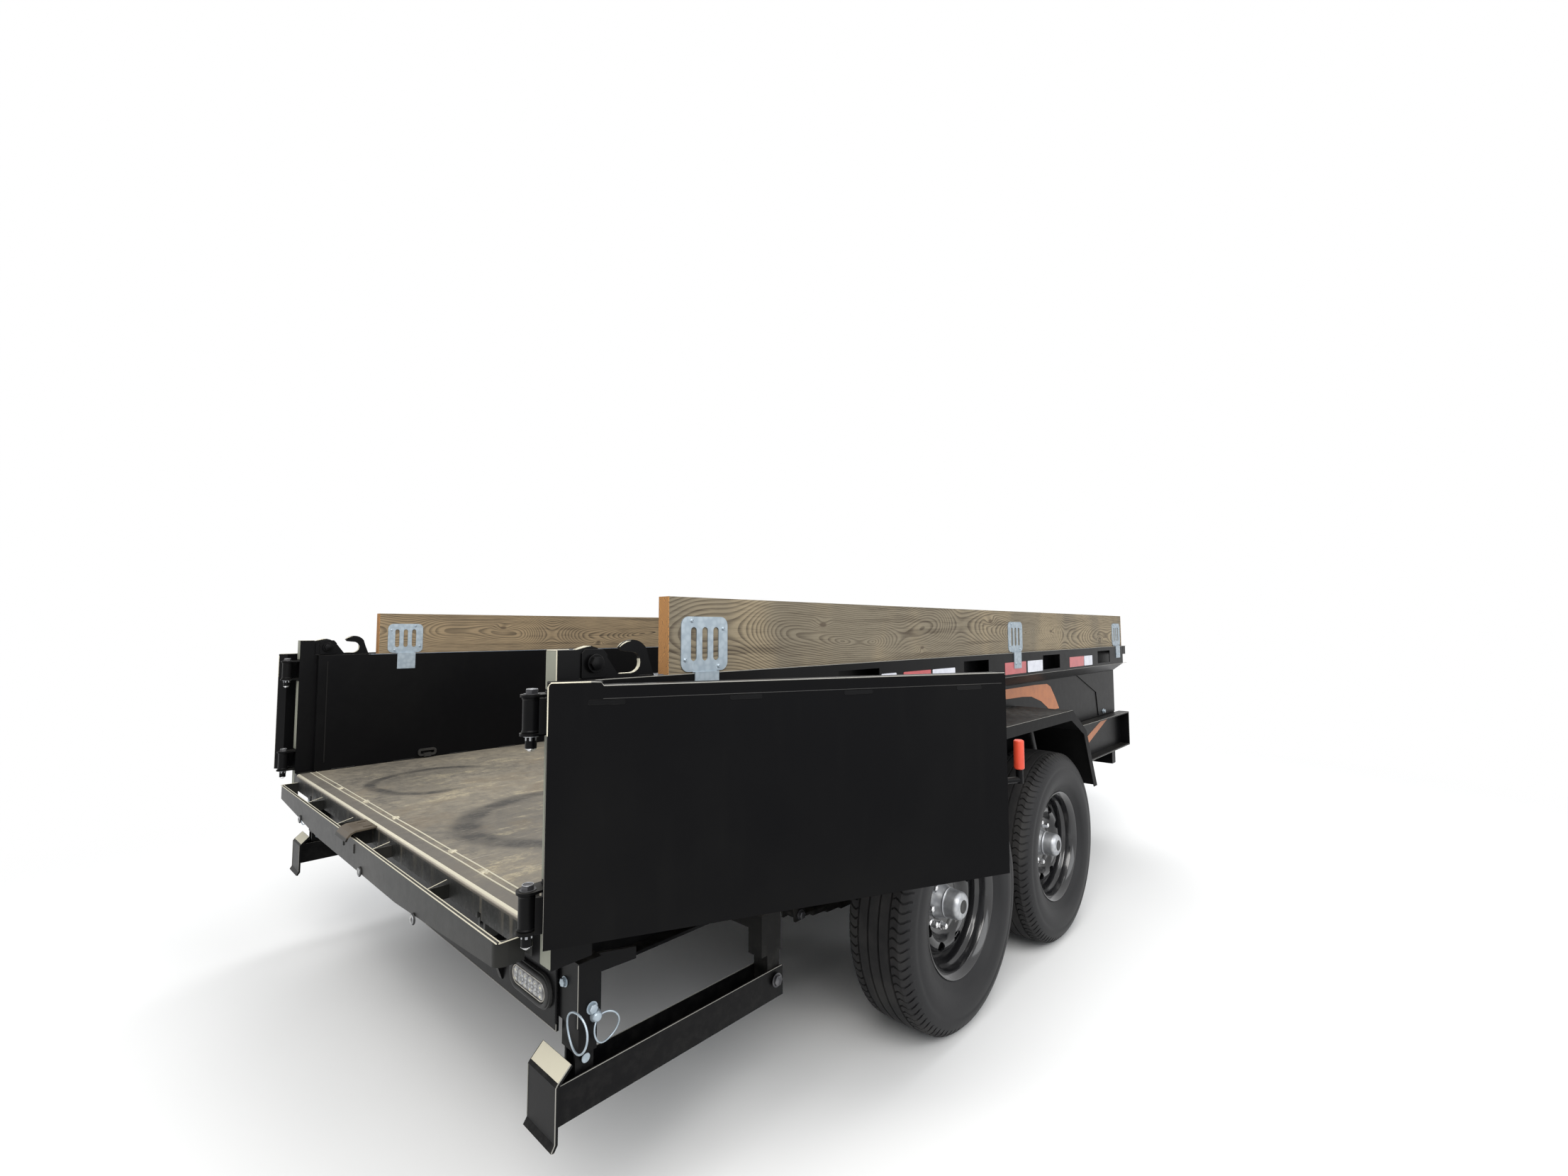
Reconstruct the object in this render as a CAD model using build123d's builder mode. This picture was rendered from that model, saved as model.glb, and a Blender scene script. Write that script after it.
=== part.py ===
"""Tandem axle dump trailer with barn doors, timber side boards and a hinged hoist.

Lengths are in millimetres. X runs forward to the coupler, Y to the left, Z up from the ground.
The origin is on the ground below the middle of the trailer's length and width.
"""
from build123d import *
from math import cos, hypot, radians, sin
import os

os.makedirs("parts", exist_ok=True)

# Reach of a cut past the face it opens, and of a joined solid into its neighbour
over = 1

# Driving dimensions of the wheels and axles
wheel_radius = 386
tyre_width = 235
rim_radius = 203
rear_axle_station = 1380
axle_spacing = 838
axle_radius = 38

# Driving dimensions of the bed
bed_length = 3760
bed_inner_half = 1035
wall_thickness = 4
floor_rise = 320
floor_thickness = 5
side_height = 490
rail_height = 105
rail_depth = 62
rail_wall = 4
post_width = 42
post_inset = 34
post_depth = 90
hook_rise = 64
board_thickness = 38
board_height = 184
board_start = 290
board_overhang = 10
board_inset = 9

# Driving dimensions of the barn doors
door_edge_gap = 8
door_meeting_gap = 11
door_height = 476
door_thickness = 50
door_skin = 4
door_open_angle = 244
door_axis_back = 38
door_axis_out = 19
barrel_radius = 22
barrel_height = 70
pin_radius = 11

# Driving dimensions of the chassis
frame_drop = 92
frame_rail_height = 152
frame_rail_flange = 50
frame_rail_web = 6
frame_inset = 170
hoist_bay_half = 140
frame_overhang = 70
tongue_length = 1570
tilt_pivot_station = 28
tilt_pivot_rise = 11
wheel_gap = 128
fender_cover = 132
fender_clearance = 174
fender_skin = 3
moving_gap = 6

# Driving dimensions of the stabilisers and the jack
stabiliser_hinge_station = 636
stabiliser_hinge_drop = 229
stabiliser_post_station = 60
jack_setback = 530
jack_radius = 38
foot_thickness = 8

# Places and heights that follow from the driving dimensions
floor_top = wheel_radius + floor_rise
floor_under = floor_top - floor_thickness
side_top = floor_top + side_height
wall_outer = bed_inner_half + wall_thickness
rail_outer = wall_outer + rail_depth
rail_bottom = side_top - rail_height
frame_top = floor_top - frame_drop
frame_bottom = frame_top - frame_rail_height
frame_half = bed_inner_half - frame_inset
front_of_frame = bed_length + frame_overhang
coupler_nose = front_of_frame + tongue_length
tilt_pivot_height = frame_top + tilt_pivot_rise
wheel_centre_half = bed_inner_half + wheel_gap
fender_half = wheel_centre_half + fender_cover
fender_top = 2 * wheel_radius + fender_clearance
post_inner = bed_inner_half + post_inset
door_axis_half = post_inner + door_axis_out
door_edge_half = post_inner - door_edge_gap
jack_station = coupler_nose - jack_setback

# Whole length, from the rearmost hinge barrel to the coupler's nose
rear_overhang = door_axis_back + barrel_radius
whole_length = rear_overhang + coupler_nose
floor_end = rear_overhang - whole_length / 2


def at(station):
    """Place in X of a station measured forward from the floor's rear edge."""
    return floor_end + station


def block(x, y, z, mode=Mode.ADD):
    """Add a block between the two ends given for each of X, Y and Z."""
    middle = ((x[0] + x[1]) / 2, (y[0] + y[1]) / 2, (z[0] + z[1]) / 2)
    with Locations(middle):
        Box(abs(x[1] - x[0]), abs(y[1] - y[0]), abs(z[1] - z[0]), mode=mode)


def rod(start, end, radius, mode=Mode.ADD):
    """Add a round bar from one point to another."""
    along = Vector(*end) - Vector(*start)
    middle = Vector(*start) + along * 0.5
    with Locations(Plane(origin=middle, z_dir=along)):
        Cylinder(radius, along.length, mode=mode)


def save(part, name):
    """Label a finished piece and write its file."""
    part.label = name
    export_step(part, f"parts/{name}.step")


sides = (("right", -1), ("left", 1))

# Pockets of the top rail, and the cheek that flares out at the front of each wall
rail_slope = 48
pocket_count = 5
pocket_first = 240
pocket_last_gap = 360
pocket_width = 215
pocket_height = 68
pocket_lift = 16
pocket_step = (bed_length - pocket_first - pocket_last_gap) / (pocket_count - 1)
pocket_stations = [pocket_first + pocket_step * n for n in range(pocket_count)]
pocket_low = rail_bottom + pocket_lift
cheek_reach = 638
cheek_kink_reach = 332
cheek_low_reach = 298
cheek_kink_drop = 264
cheek_rise = 88
cheek_thickness = 4
weld_lap = 2


def side_wall(side):
    """Bed wall of one side with its hollow top rail, pockets and front cheek."""
    outer = side * wall_outer
    rail_face = side * rail_outer
    rail_inside = side * (rail_outer - rail_wall)
    foot = rail_bottom - rail_slope
    with BuildPart() as wall:
        block((at(post_depth), at(bed_length)), (side * bed_inner_half, outer), (floor_under, side_top))
        with BuildSketch(Plane.YZ.offset(at(post_depth))):
            with BuildLine():
                Polyline((outer, side_top), (rail_face, side_top), (rail_face, rail_bottom), (outer, foot),
                         close=True)
            make_face()
            with BuildLine():
                Polyline(
                    (outer + side * rail_wall, side_top - rail_wall),
                    (rail_inside, side_top - rail_wall),
                    (rail_inside, rail_bottom + rail_wall / 2),
                    (outer + side * rail_wall, foot + rail_wall * 1.8),
                    close=True,
                )
            make_face(mode=Mode.SUBTRACT)
        extrude(amount=bed_length - post_depth)
        for centre in pocket_stations:
            block(
                (at(centre - pocket_width / 2), at(centre + pocket_width / 2)),
                (side * (rail_outer - rail_wall - over), side * (rail_outer + over)),
                (pocket_low, pocket_low + pocket_height),
                mode=Mode.SUBTRACT,
            )
        with BuildSketch(Plane.XZ.offset(-outer)):
            with BuildLine():
                Polyline(
                    (at(bed_length - cheek_reach), foot + weld_lap),
                    (at(bed_length - cheek_kink_reach), side_top - cheek_kink_drop),
                    (at(bed_length - cheek_low_reach), floor_top + cheek_rise),
                    (at(bed_length), floor_top + cheek_rise),
                    (at(bed_length), foot + weld_lap),
                    close=True,
                )
            make_face()
        extrude(amount=-side * cheek_thickness)
    return wall.part


for name, side in sides:
    save(side_wall(side), f"bed_side_{name}")

# Bed floor with its rear sill, crossmembers and hoist bay
cross_count = 9
cross_height = 74
cross_width = 40
cross_wall = 5
cross_first = 420
cross_last_gap = 100
cross_bottom = floor_under - cross_height
cross_step = (bed_length - cross_first - cross_last_gap) / (cross_count - 1)
cross_stations = [cross_first + cross_step * n for n in range(cross_count)]
cross_end = cross_stations[-1] + cross_width
sill_height = 62
sill_thickness = 6
lip_radius = 9
ear_inset = 85
ear_half = frame_half - ear_inset
ear_thickness = 16
ear_web = 120
ear_shoulder = 5
lug_thickness = 10
hinge_clear = 1
pivot_radius = 12
ear_radius = 22
notch_margin = 12
sill_bottom = floor_top - sill_height

# Upper eye of the hoist, and the bed ears that carry it
hoist_rod_setback = 560
hoist_rod_drop = 51
hoist_rod_station = bed_length - hoist_rod_setback
hoist_rod_height = floor_under - hoist_rod_drop
hoist_ear_half = 58
hoist_ear_reach = 45
hoist_ear_drop = 40
hoist_stub = 20
hoist_stub_radius = 14

with BuildPart() as floor:
    block((at(lip_radius), at(bed_length)), (-bed_inner_half, bed_inner_half), (floor_under, floor_top))
    rod((at(lip_radius), -bed_inner_half, floor_top - lip_radius),
        (at(lip_radius), bed_inner_half, floor_top - lip_radius), lip_radius)
    block((at(0), at(sill_thickness)), (-bed_inner_half, bed_inner_half),
          (sill_bottom, floor_top - lip_radius))
    for side in (-1, 1):
        for station in cross_stations:
            start = at(station)
            inner_end = side * hoist_bay_half
            outer_end = side * bed_inner_half
            block((start, start + cross_width), (inner_end, outer_end), (cross_bottom, floor_under))
            block((start + cross_wall, start + cross_width + over), (inner_end + side, outer_end + side),
                  (cross_bottom + cross_wall, floor_under - cross_wall), mode=Mode.SUBTRACT)
        block((at(cross_first), at(cross_end)), (side * (hoist_bay_half - cross_wall), side * hoist_bay_half),
              (cross_bottom, floor_under))
        for face in (-1, 1):
            inner = side * ear_half + face * (ear_thickness / 2 + hinge_clear)
            outer = inner + face * lug_thickness
            with BuildSketch(Plane.XZ.offset(-min(inner, outer))):
                with BuildLine():
                    Polyline(
                        (at(tilt_pivot_station - ear_radius), tilt_pivot_height),
                        (at(tilt_pivot_station - ear_radius), floor_under),
                        (at(tilt_pivot_station + ear_web), floor_under),
                        (at(tilt_pivot_station + ear_radius), tilt_pivot_height + ear_shoulder),
                        (at(tilt_pivot_station + ear_radius), tilt_pivot_height),
                        close=True,
                    )
                make_face()
                with Locations((at(tilt_pivot_station), tilt_pivot_height)):
                    Circle(ear_radius)
            extrude(amount=-lug_thickness)
        notch = ear_thickness / 2 + hinge_clear
        ear_inner = side * ear_half - notch - lug_thickness
        ear_outer = side * ear_half + notch + lug_thickness
        rod((at(tilt_pivot_station), ear_inner, tilt_pivot_height),
            (at(tilt_pivot_station), ear_outer, tilt_pivot_height), pivot_radius)
        block((at(-over), at(sill_thickness + over)), (side * ear_half - notch, side * ear_half + notch),
              (sill_bottom - over, tilt_pivot_height + ear_radius + notch_margin), mode=Mode.SUBTRACT)
        ear_face = side * hoist_ear_half
        block((at(hoist_rod_station - hoist_ear_reach), at(hoist_rod_station + hoist_ear_reach)),
              (ear_face, ear_face + side * lug_thickness), (hoist_rod_height - hoist_ear_drop, floor_under))
        rod((at(hoist_rod_station), ear_face - side * hoist_stub, hoist_rod_height),
            (at(hoist_rod_station), ear_face + side * lug_thickness, hoist_rod_height), hoist_stub_radius)
save(floor.part, "bed_floor")

# Tie down rings at the foot of each wall, like pieces in one node
ring_stations = (500, bed_length - 500)
ring_length = 80
ring_height = 34
ring_bar = 10
ring_stand = 5
strap_width = 30
strap_lap = 4
strap_low = floor_top + 6
with BuildPart() as rings:
    for side in (-1, 1):
        for station in ring_stations:
            near = side * (bed_inner_half - ring_stand)
            with BuildSketch(Plane.XZ.offset(-near)):
                with Locations((at(station), strap_low + strap_lap + ring_height / 2)):
                    RectangleRounded(ring_length, ring_height, ring_bar + strap_lap)
                    RectangleRounded(ring_length - 2 * ring_bar, ring_height - 2 * ring_bar, strap_lap,
                                     mode=Mode.SUBTRACT)
            extrude(amount=side * ring_bar)
            block((at(station - strap_width / 2), at(station + strap_width / 2)),
                  (near - side * (ring_bar + strap_lap), side * bed_inner_half),
                  (strap_low, strap_low + ring_bar + 2 * strap_lap))
save(rings.part, "tie_rings")

# Front bulkhead with its two rails and three outside ribs
bulkhead_rib = 50
rib_share = 0.7
with BuildPart() as bulkhead:
    face = at(bed_length + wall_thickness)
    front = at(bed_length + wall_thickness + bulkhead_rib)
    block((at(bed_length), face), (-wall_outer, wall_outer), (cross_bottom, side_top))
    block((face, front), (-rail_outer, rail_outer), (side_top - bulkhead_rib, side_top))
    block((face, front), (-wall_outer, wall_outer), (cross_bottom, cross_bottom + bulkhead_rib))
    for share in (-rib_share, 0, rib_share):
        middle = bed_inner_half * share
        block((face, front), (middle - bulkhead_rib / 2, middle + bulkhead_rib / 2), (cross_bottom, side_top))
save(bulkhead.part, "bed_bulkhead")

# Rear posts with the fixed half of each door hinge, and the chain hook on top
hinge_heights = (side_top - 61, floor_top + 54)
knuckle = barrel_height / 2
post_outer = post_inner + post_width
post_return = 30
post_foot_drop = 66
post_head_depth = 50
plate_ear = 5
pin_tail = 25
pin_head = 6
hook_thickness = 10
hook_inset = 28
hook_bolt = (99, 34)
hook_bolt_radius = 13
hook_bolt_head = 12
# Station and height above the rail, from the foot at the post over the ear and round the hook's mouth
hook_ear = ((48, 0), (48, 61), (82, 70), (94, 71), (108, 67), (128, 54), (160, 9), (195, 8))
hook_mouth = ((195, 8), (212.5, 15.5), (219.5, 32.5))
hook_lip = ((219.5, 32.5), (216, 46), (205, 55))
hook_tip = ((205, 55), (171, 59), (164, 67))
hook_crown = ((164, 67), (197, 83), (236, 62))
hook_back = ((236, 62), (243, 38), (257, 0), (48, 0))


def on_rail(points):
    """Places in the plane of a wall of stations and heights above the top rail."""
    return [(at(station), side_top + height) for station, height in points]


for name, side in sides:
    axis = (at(-door_axis_back), side * door_axis_half)
    with BuildPart() as post:
        block((at(0), at(post_depth)), (side * post_inner, side * post_outer),
              (floor_top - post_foot_drop, side_top))
        block((at(post_depth - post_return), at(post_depth)),
              (side * bed_inner_half, side * (post_inner + over)), (floor_top - post_foot_drop, side_top))
        block((at(0), at(post_depth)), (side * bed_inner_half, side * (post_inner + over)),
              (floor_top - post_foot_drop, floor_top))
        block((at(0), at(post_head_depth)), (side * post_inner, side * post_outer),
              (side_top - over, side_top + hook_rise))
        for height in hinge_heights:
            for low, high in ((height - knuckle - plate_ear, height - knuckle),
                              (height + knuckle, height + knuckle + plate_ear)):
                block((axis[0], at(0)), (axis[1] - barrel_radius, axis[1] + barrel_radius), (low, high))
                rod((axis[0], axis[1], low), (axis[0], axis[1], high), barrel_radius)
            rod((axis[0], axis[1], height - knuckle - plate_ear - pin_tail),
                (axis[0], axis[1], height + knuckle + plate_ear + pin_head), pin_radius)
        hook_outer = post_outer - hook_inset
        with BuildSketch(Plane.XZ.offset(-side * hook_outer)):
            with BuildLine():
                Polyline(*on_rail(hook_ear))
                ThreePointArc(*on_rail(hook_mouth))
                ThreePointArc(*on_rail(hook_lip))
                Polyline(*on_rail(hook_tip))
                ThreePointArc(*on_rail(hook_crown))
                Polyline(*on_rail(hook_back))
            make_face()
        extrude(amount=side * hook_thickness)
        bolt_x = at(hook_bolt[0])
        bolt_z = side_top + hook_bolt[1]
        rod((bolt_x, side * (hook_outer - hook_thickness - hook_bolt_head), bolt_z),
            (bolt_x, side * (hook_outer + hook_bolt_head), bolt_z), hook_bolt_radius)
    save(post.part, f"rear_post_{name}")

# Timber side boards
board_outer = rail_outer - board_inset
board_inner = board_outer - board_thickness
for name, side in sides:
    with BuildPart() as board:
        block((at(board_start), at(bed_length + board_overhang)), (side * board_inner, side * board_outer),
              (side_top, side_top + board_height))
    save(board.part, f"side_board_{name}")

# Slotted board brackets on both faces of each board, each with a tongue down over the wall
bracket_stations = (400, bed_length - 1550, bed_length - 100)
bracket_plate = 3
bracket_width = 148
bracket_height = 133
bracket_lift = 4
bracket_corner = 22
bracket_low = side_top + bracket_lift
slot_share = 0.24
slot_length = 82
slot_width = 18
tongue_width = 76
tongue_drop = 69
seat_gap = 0.3
seat_top = side_top + seat_gap + bracket_plate


def bracket(station, side, face, seat, outward):
    """Add one bracket: its plate on a board's face, a step, and a tongue down the wall's face."""
    with BuildSketch(Plane.XZ.offset(-side * face)) as plate:
        with Locations((at(station), bracket_low + bracket_height / 2)):
            RectangleRounded(bracket_width, bracket_height, bracket_corner)
            for slot in (-1, 0, 1):
                with Locations((slot * bracket_width * slot_share, 0)):
                    SlotOverall(slot_length, slot_width, rotation=90, mode=Mode.SUBTRACT)
    extrude(plate.sketch, amount=-side * outward * bracket_plate)
    along = (at(station - tongue_width / 2), at(station + tongue_width / 2))
    tongue_face = seat + outward * seat_gap
    block(along, (side * face, side * (tongue_face + outward * bracket_plate)),
          (side_top + seat_gap, seat_top))
    block(along, (side * face, side * (face + outward * bracket_plate)),
          (side_top + seat_gap, bracket_low + bracket_corner))
    block(along, (side * tongue_face, side * (tongue_face + outward * bracket_plate)),
          (side_top - tongue_drop, seat_top))


with BuildPart() as brackets:
    for name, side in sides:
        for station in bracket_stations:
            bracket(station, side, board_outer, rail_outer, 1)
            bracket(station, side, board_inner, bed_inner_half, -1)
save(brackets.part, "board_brackets")

# Ramp bar behind the sill, with its returns, gussets and the latch keeper
bar_back = 58
bar_thickness = 9
bar_drop = 29
bar_height = 82
bar_inset = 31
bar_bend = 24
bar_taper = 33
bar_taper_share = 0.4
gusset_thickness = 6
gusset_shares = (-0.58, -0.164, 0.193, 0.57)
keeper_middle = 24
keeper_width = 110
keeper_web = 8
keeper_slot = 31
keeper_slot_width = 8
keeper_slot_ends = (-31, -7)
keeper_web_drop = 5
bar_top = floor_top - bar_drop
bar_bottom = bar_top - bar_height
bar_half = bed_inner_half - bar_inset
# Station and height over the floor of the keeper's plate, level over the bar and then bent down
keeper_outline = ((0, -1), (-56, -3), (-70, -9), (-79, -20), (-83, -30), (-78, -32), (-74, -22),
                  (-66, -13), (-56, -8), (0, -6))
with BuildPart() as ramp_bar:
    with BuildSketch(Plane.XY.offset(bar_bottom)):
        with BuildLine():
            FilletPolyline(
                (at(0), -bar_half), (at(-bar_back), -bar_half), (at(-bar_back), bar_half), (at(0), bar_half),
                radius=bar_bend,
            )
            offset(amount=bar_thickness, side=Side.RIGHT)
        make_face()
    extrude(amount=bar_height)
    for side in (-1, 1):
        with BuildSketch(Plane.YZ.offset(at(-bar_back - over))):
            with BuildLine():
                Polyline(
                    (side * bar_half * bar_taper_share, bar_bottom),
                    (side * (bar_half + over), bar_bottom + bar_taper),
                    (side * (bar_half + over), bar_bottom - over),
                    (side * bar_half * bar_taper_share, bar_bottom - over),
                    close=True,
                )
            make_face()
        extrude(amount=bar_back + 2 * over, mode=Mode.SUBTRACT)
    for share in gusset_shares:
        place = bed_inner_half * share
        block((at(-bar_back), at(0)), (place - gusset_thickness / 2, place + gusset_thickness / 2),
              (sill_bottom, bar_top))
    block((at(-bar_back), at(0)), (keeper_middle - keeper_web / 2, keeper_middle + keeper_web / 2),
          (sill_bottom, floor_top - keeper_web_drop))
    with BuildSketch(Plane.XZ.offset(-keeper_middle - keeper_width / 2)):
        with BuildLine():
            Polyline(*[(at(x), floor_top + z) for x, z in keeper_outline], close=True)
        make_face()
    extrude(amount=keeper_width)
    for slot in (-keeper_slot, keeper_slot):
        middle = keeper_middle + slot
        block((at(keeper_slot_ends[0]), at(keeper_slot_ends[1])),
              (middle - keeper_slot_width / 2, middle + keeper_slot_width / 2),
              (floor_top - 2 * keeper_web_drop, floor_top + over), mode=Mode.SUBTRACT)
save(ramp_bar.part, "ramp_bar")

# Barn doors: a flat inner skin on a tube frame, with two hinge barrels
door_floor_gap = 12
door_tube = 46
door_cap_length = 100
door_cap_height = 8
leaf_near = 4
leaf_back = 24
leaf_thickness = 8
barrel_play = 1
pin_play = 0.4
door_inner = door_axis_back + door_thickness
door_start = door_axis_half - door_edge_half
door_end = door_axis_half - door_meeting_gap
door_bottom = floor_top + door_floor_gap
door_top = door_bottom + door_height
door_middle = (door_bottom + door_top) / 2


def in_door(along, across, height, side):
    """Place of a point of an open door: along from the hinge axis, across toward its inner face."""
    turn = radians(door_open_angle)
    forward = (-sin(turn), cos(turn))
    inward = (cos(turn), sin(turn))
    x = at(-door_axis_back) + along * forward[0] + across * inward[0]
    y = -door_axis_half + along * forward[1] + across * inward[1]
    return (x, -side * y, height)


def door_block(along, across, height, side, mode=Mode.ADD):
    """Add a block in an open door's own directions."""
    corners = [in_door(a, b, height[0], side) for a, b in
               ((along[0], across[0]), (along[1], across[0]), (along[1], across[1]), (along[0], across[1]))]
    with BuildSketch(Plane.XY.offset(height[0])) as outline:
        with BuildLine():
            Polyline(*[(p[0], p[1]) for p in corners], close=True)
        make_face()
    extrude(outline.sketch, amount=height[1] - height[0], mode=mode)


for name, side in sides:
    with BuildPart() as door:
        inner_face = door_inner - door_skin
        door_block((door_start, door_end), (inner_face, door_inner), (door_bottom, door_top), side)
        for low in (door_bottom, door_middle - door_tube / 2, door_top - door_tube):
            door_block((door_start, door_end), (door_axis_back, inner_face), (low, low + door_tube), side)
        for start in (door_start, (door_start + door_end - door_tube) / 2, door_end - door_tube):
            door_block((start, start + door_tube), (door_axis_back, inner_face), (door_bottom, door_top),
                       side)
        door_block((door_start, door_start + door_cap_length), (door_axis_back, door_inner),
                   (door_top - over, door_top + door_cap_height), side)
    save(door.part, f"door_{name}")
    with BuildPart() as knuckles:
        for height in hinge_heights:
            low = height - knuckle + barrel_play
            high = height + knuckle - barrel_play
            centre = in_door(0, 0, low, side)
            rod(centre, (centre[0], centre[1], high), barrel_radius)
            door_block((leaf_near, door_start + door_tube), (leaf_back, leaf_back + leaf_thickness),
                       (low, high), side)
            door_block((leaf_near, leaf_near + leaf_thickness), (0, leaf_back), (low, high), side)
            door_block((door_start + weld_lap, door_start + door_tube),
                       (leaf_back + leaf_thickness, door_axis_back), (low, high), side)
            rod((centre[0], centre[1], low - over), (centre[0], centre[1], high + over), pin_radius + pin_play,
                mode=Mode.SUBTRACT)
    save(knuckles.part, f"door_hinges_{name}")

# Latch lever on the free edge of the right door, with its round grip
lever_radius = 8
lever_reach = 98
lever_stand = 23
lever_root = 30
lever_drop = 279
lever_rise = 26
lever_pad = 20
grip_radius = 13
grip_length = 75
grip_round = 5
lever_along = door_end + lever_reach
lever_across = door_axis_back - lever_stand
lever_low = door_top - lever_drop
with BuildPart() as lever:
    start = in_door(door_end - lever_root, lever_across, lever_low, -1)
    bend = in_door(lever_along, lever_across, lever_low, -1)
    rod(start, bend, lever_radius)
    rod((bend[0], bend[1], lever_low - lever_radius - over), (bend[0], bend[1], lever_low + lever_rise),
        lever_radius + over)
    door_block((door_end - 3 * lever_pad, door_end - lever_pad),
               (lever_across - lever_radius - weld_lap, door_axis_back),
               (lever_low - lever_pad, lever_low + lever_pad), -1)
save(lever.part, "latch_lever")
with BuildPart() as grip:
    foot = in_door(lever_along, lever_across, lever_low + lever_rise, -1)
    rod(foot, (foot[0], foot[1], foot[2] + grip_length), grip_radius)
    fillet(grip.edges().filter_by(GeomType.CIRCLE), grip_round)
save(grip.part, "latch_grip")

# Chassis: two channel rails, crossmembers on either side and the two beams of the hoist bay
frame_start = 110
frame_flange_thickness = 8
frame_cross_count = 6
frame_cross_first = 760
frame_cross_last_gap = 150
frame_cross_width = 50
frame_cross_drop = 20
frame_cross_height = 76
frame_cross_step = (bed_length - frame_cross_first - frame_cross_last_gap) / (frame_cross_count - 1)
frame_cross_top = frame_top - frame_cross_drop
rail_web_outer = frame_half - frame_rail_flange
rail_seat = rail_web_outer + frame_rail_web
bay_beam = 6
hoist_base_station = 1550
hoist_base_rise = 30
hoist_base_height = frame_bottom + hoist_base_rise
hoist_base_reach = 60
hoist_base_ear = 35
hoist_base_plate = 12
hoist_pin = 14
with BuildPart() as rails:
    for side in (-1, 1):
        outer = side * frame_half
        block((at(frame_start), at(front_of_frame)), (side * rail_web_outer, outer),
              (frame_bottom, frame_top))
        block((at(frame_start - over), at(front_of_frame + over)), (side * rail_seat, outer + side),
              (frame_bottom + frame_flange_thickness, frame_top - frame_flange_thickness), mode=Mode.SUBTRACT)
save(rails.part, "chassis_rails")
with BuildPart() as crossmembers:
    for side in (-1, 1):
        for count in range(frame_cross_count):
            station = frame_cross_first + frame_cross_step * count
            block((at(station), at(station + frame_cross_width)),
                  (side * (hoist_bay_half + bay_beam), side * rail_web_outer),
                  (frame_cross_top - frame_cross_height, frame_cross_top))
save(crossmembers.part, "chassis_crossmembers")
with BuildPart() as hoist_beams:
    for side in (-1, 1):
        ear_face = side * hoist_ear_half
        block((at(frame_start), at(front_of_frame)),
              (side * hoist_bay_half, side * (hoist_bay_half + bay_beam)), (frame_bottom, frame_top))
        block((at(hoist_base_station - hoist_base_reach), at(hoist_base_station + hoist_base_reach)),
              (ear_face, side * hoist_bay_half), (frame_bottom, frame_bottom + hoist_base_plate))
        block((at(hoist_base_station - hoist_base_ear), at(hoist_base_station + hoist_base_ear)),
              (ear_face, ear_face + side * hoist_base_plate),
              (frame_bottom, hoist_base_height + hoist_base_ear))
    rod((at(hoist_base_station), -hoist_ear_half - hoist_base_plate, hoist_base_height),
        (at(hoist_base_station), hoist_ear_half + hoist_base_plate, hoist_base_height), hoist_pin)
save(hoist_beams.part, "hoist_beams")

# Rear lamp panel with the tilt hinge ears, the two stabiliser tubes and their gussets
panel_station = 55
panel_thickness = 6
panel_drop = 139
panel_rise = 2
panel_lap = 1
lamp_outset = 65
lamp_length = 165
lamp_height = 57
lamp_drop = 6
post_tube_width = 76
post_tube_depth = 52
tube_wall = 5
post_tube_rise = 18
post_tube_drop = 109
post_web = 8
hinge_ear_reach = 45
hinge_ear_foot = 20
gusset_front = 209
gusset_inset = 18
panel_bottom = frame_top - panel_drop
panel_top = frame_top + panel_rise
panel_half = bed_inner_half + panel_lap
lamp_half_place = frame_half + lamp_outset
lamp_middle = (panel_bottom + panel_top) / 2 - lamp_drop
stabiliser_half = post_outer + panel_lap
post_tube_top = frame_top + post_tube_rise
post_tube_low = frame_top - post_tube_drop
post_tube_front = stabiliser_post_station + post_tube_depth
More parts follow.
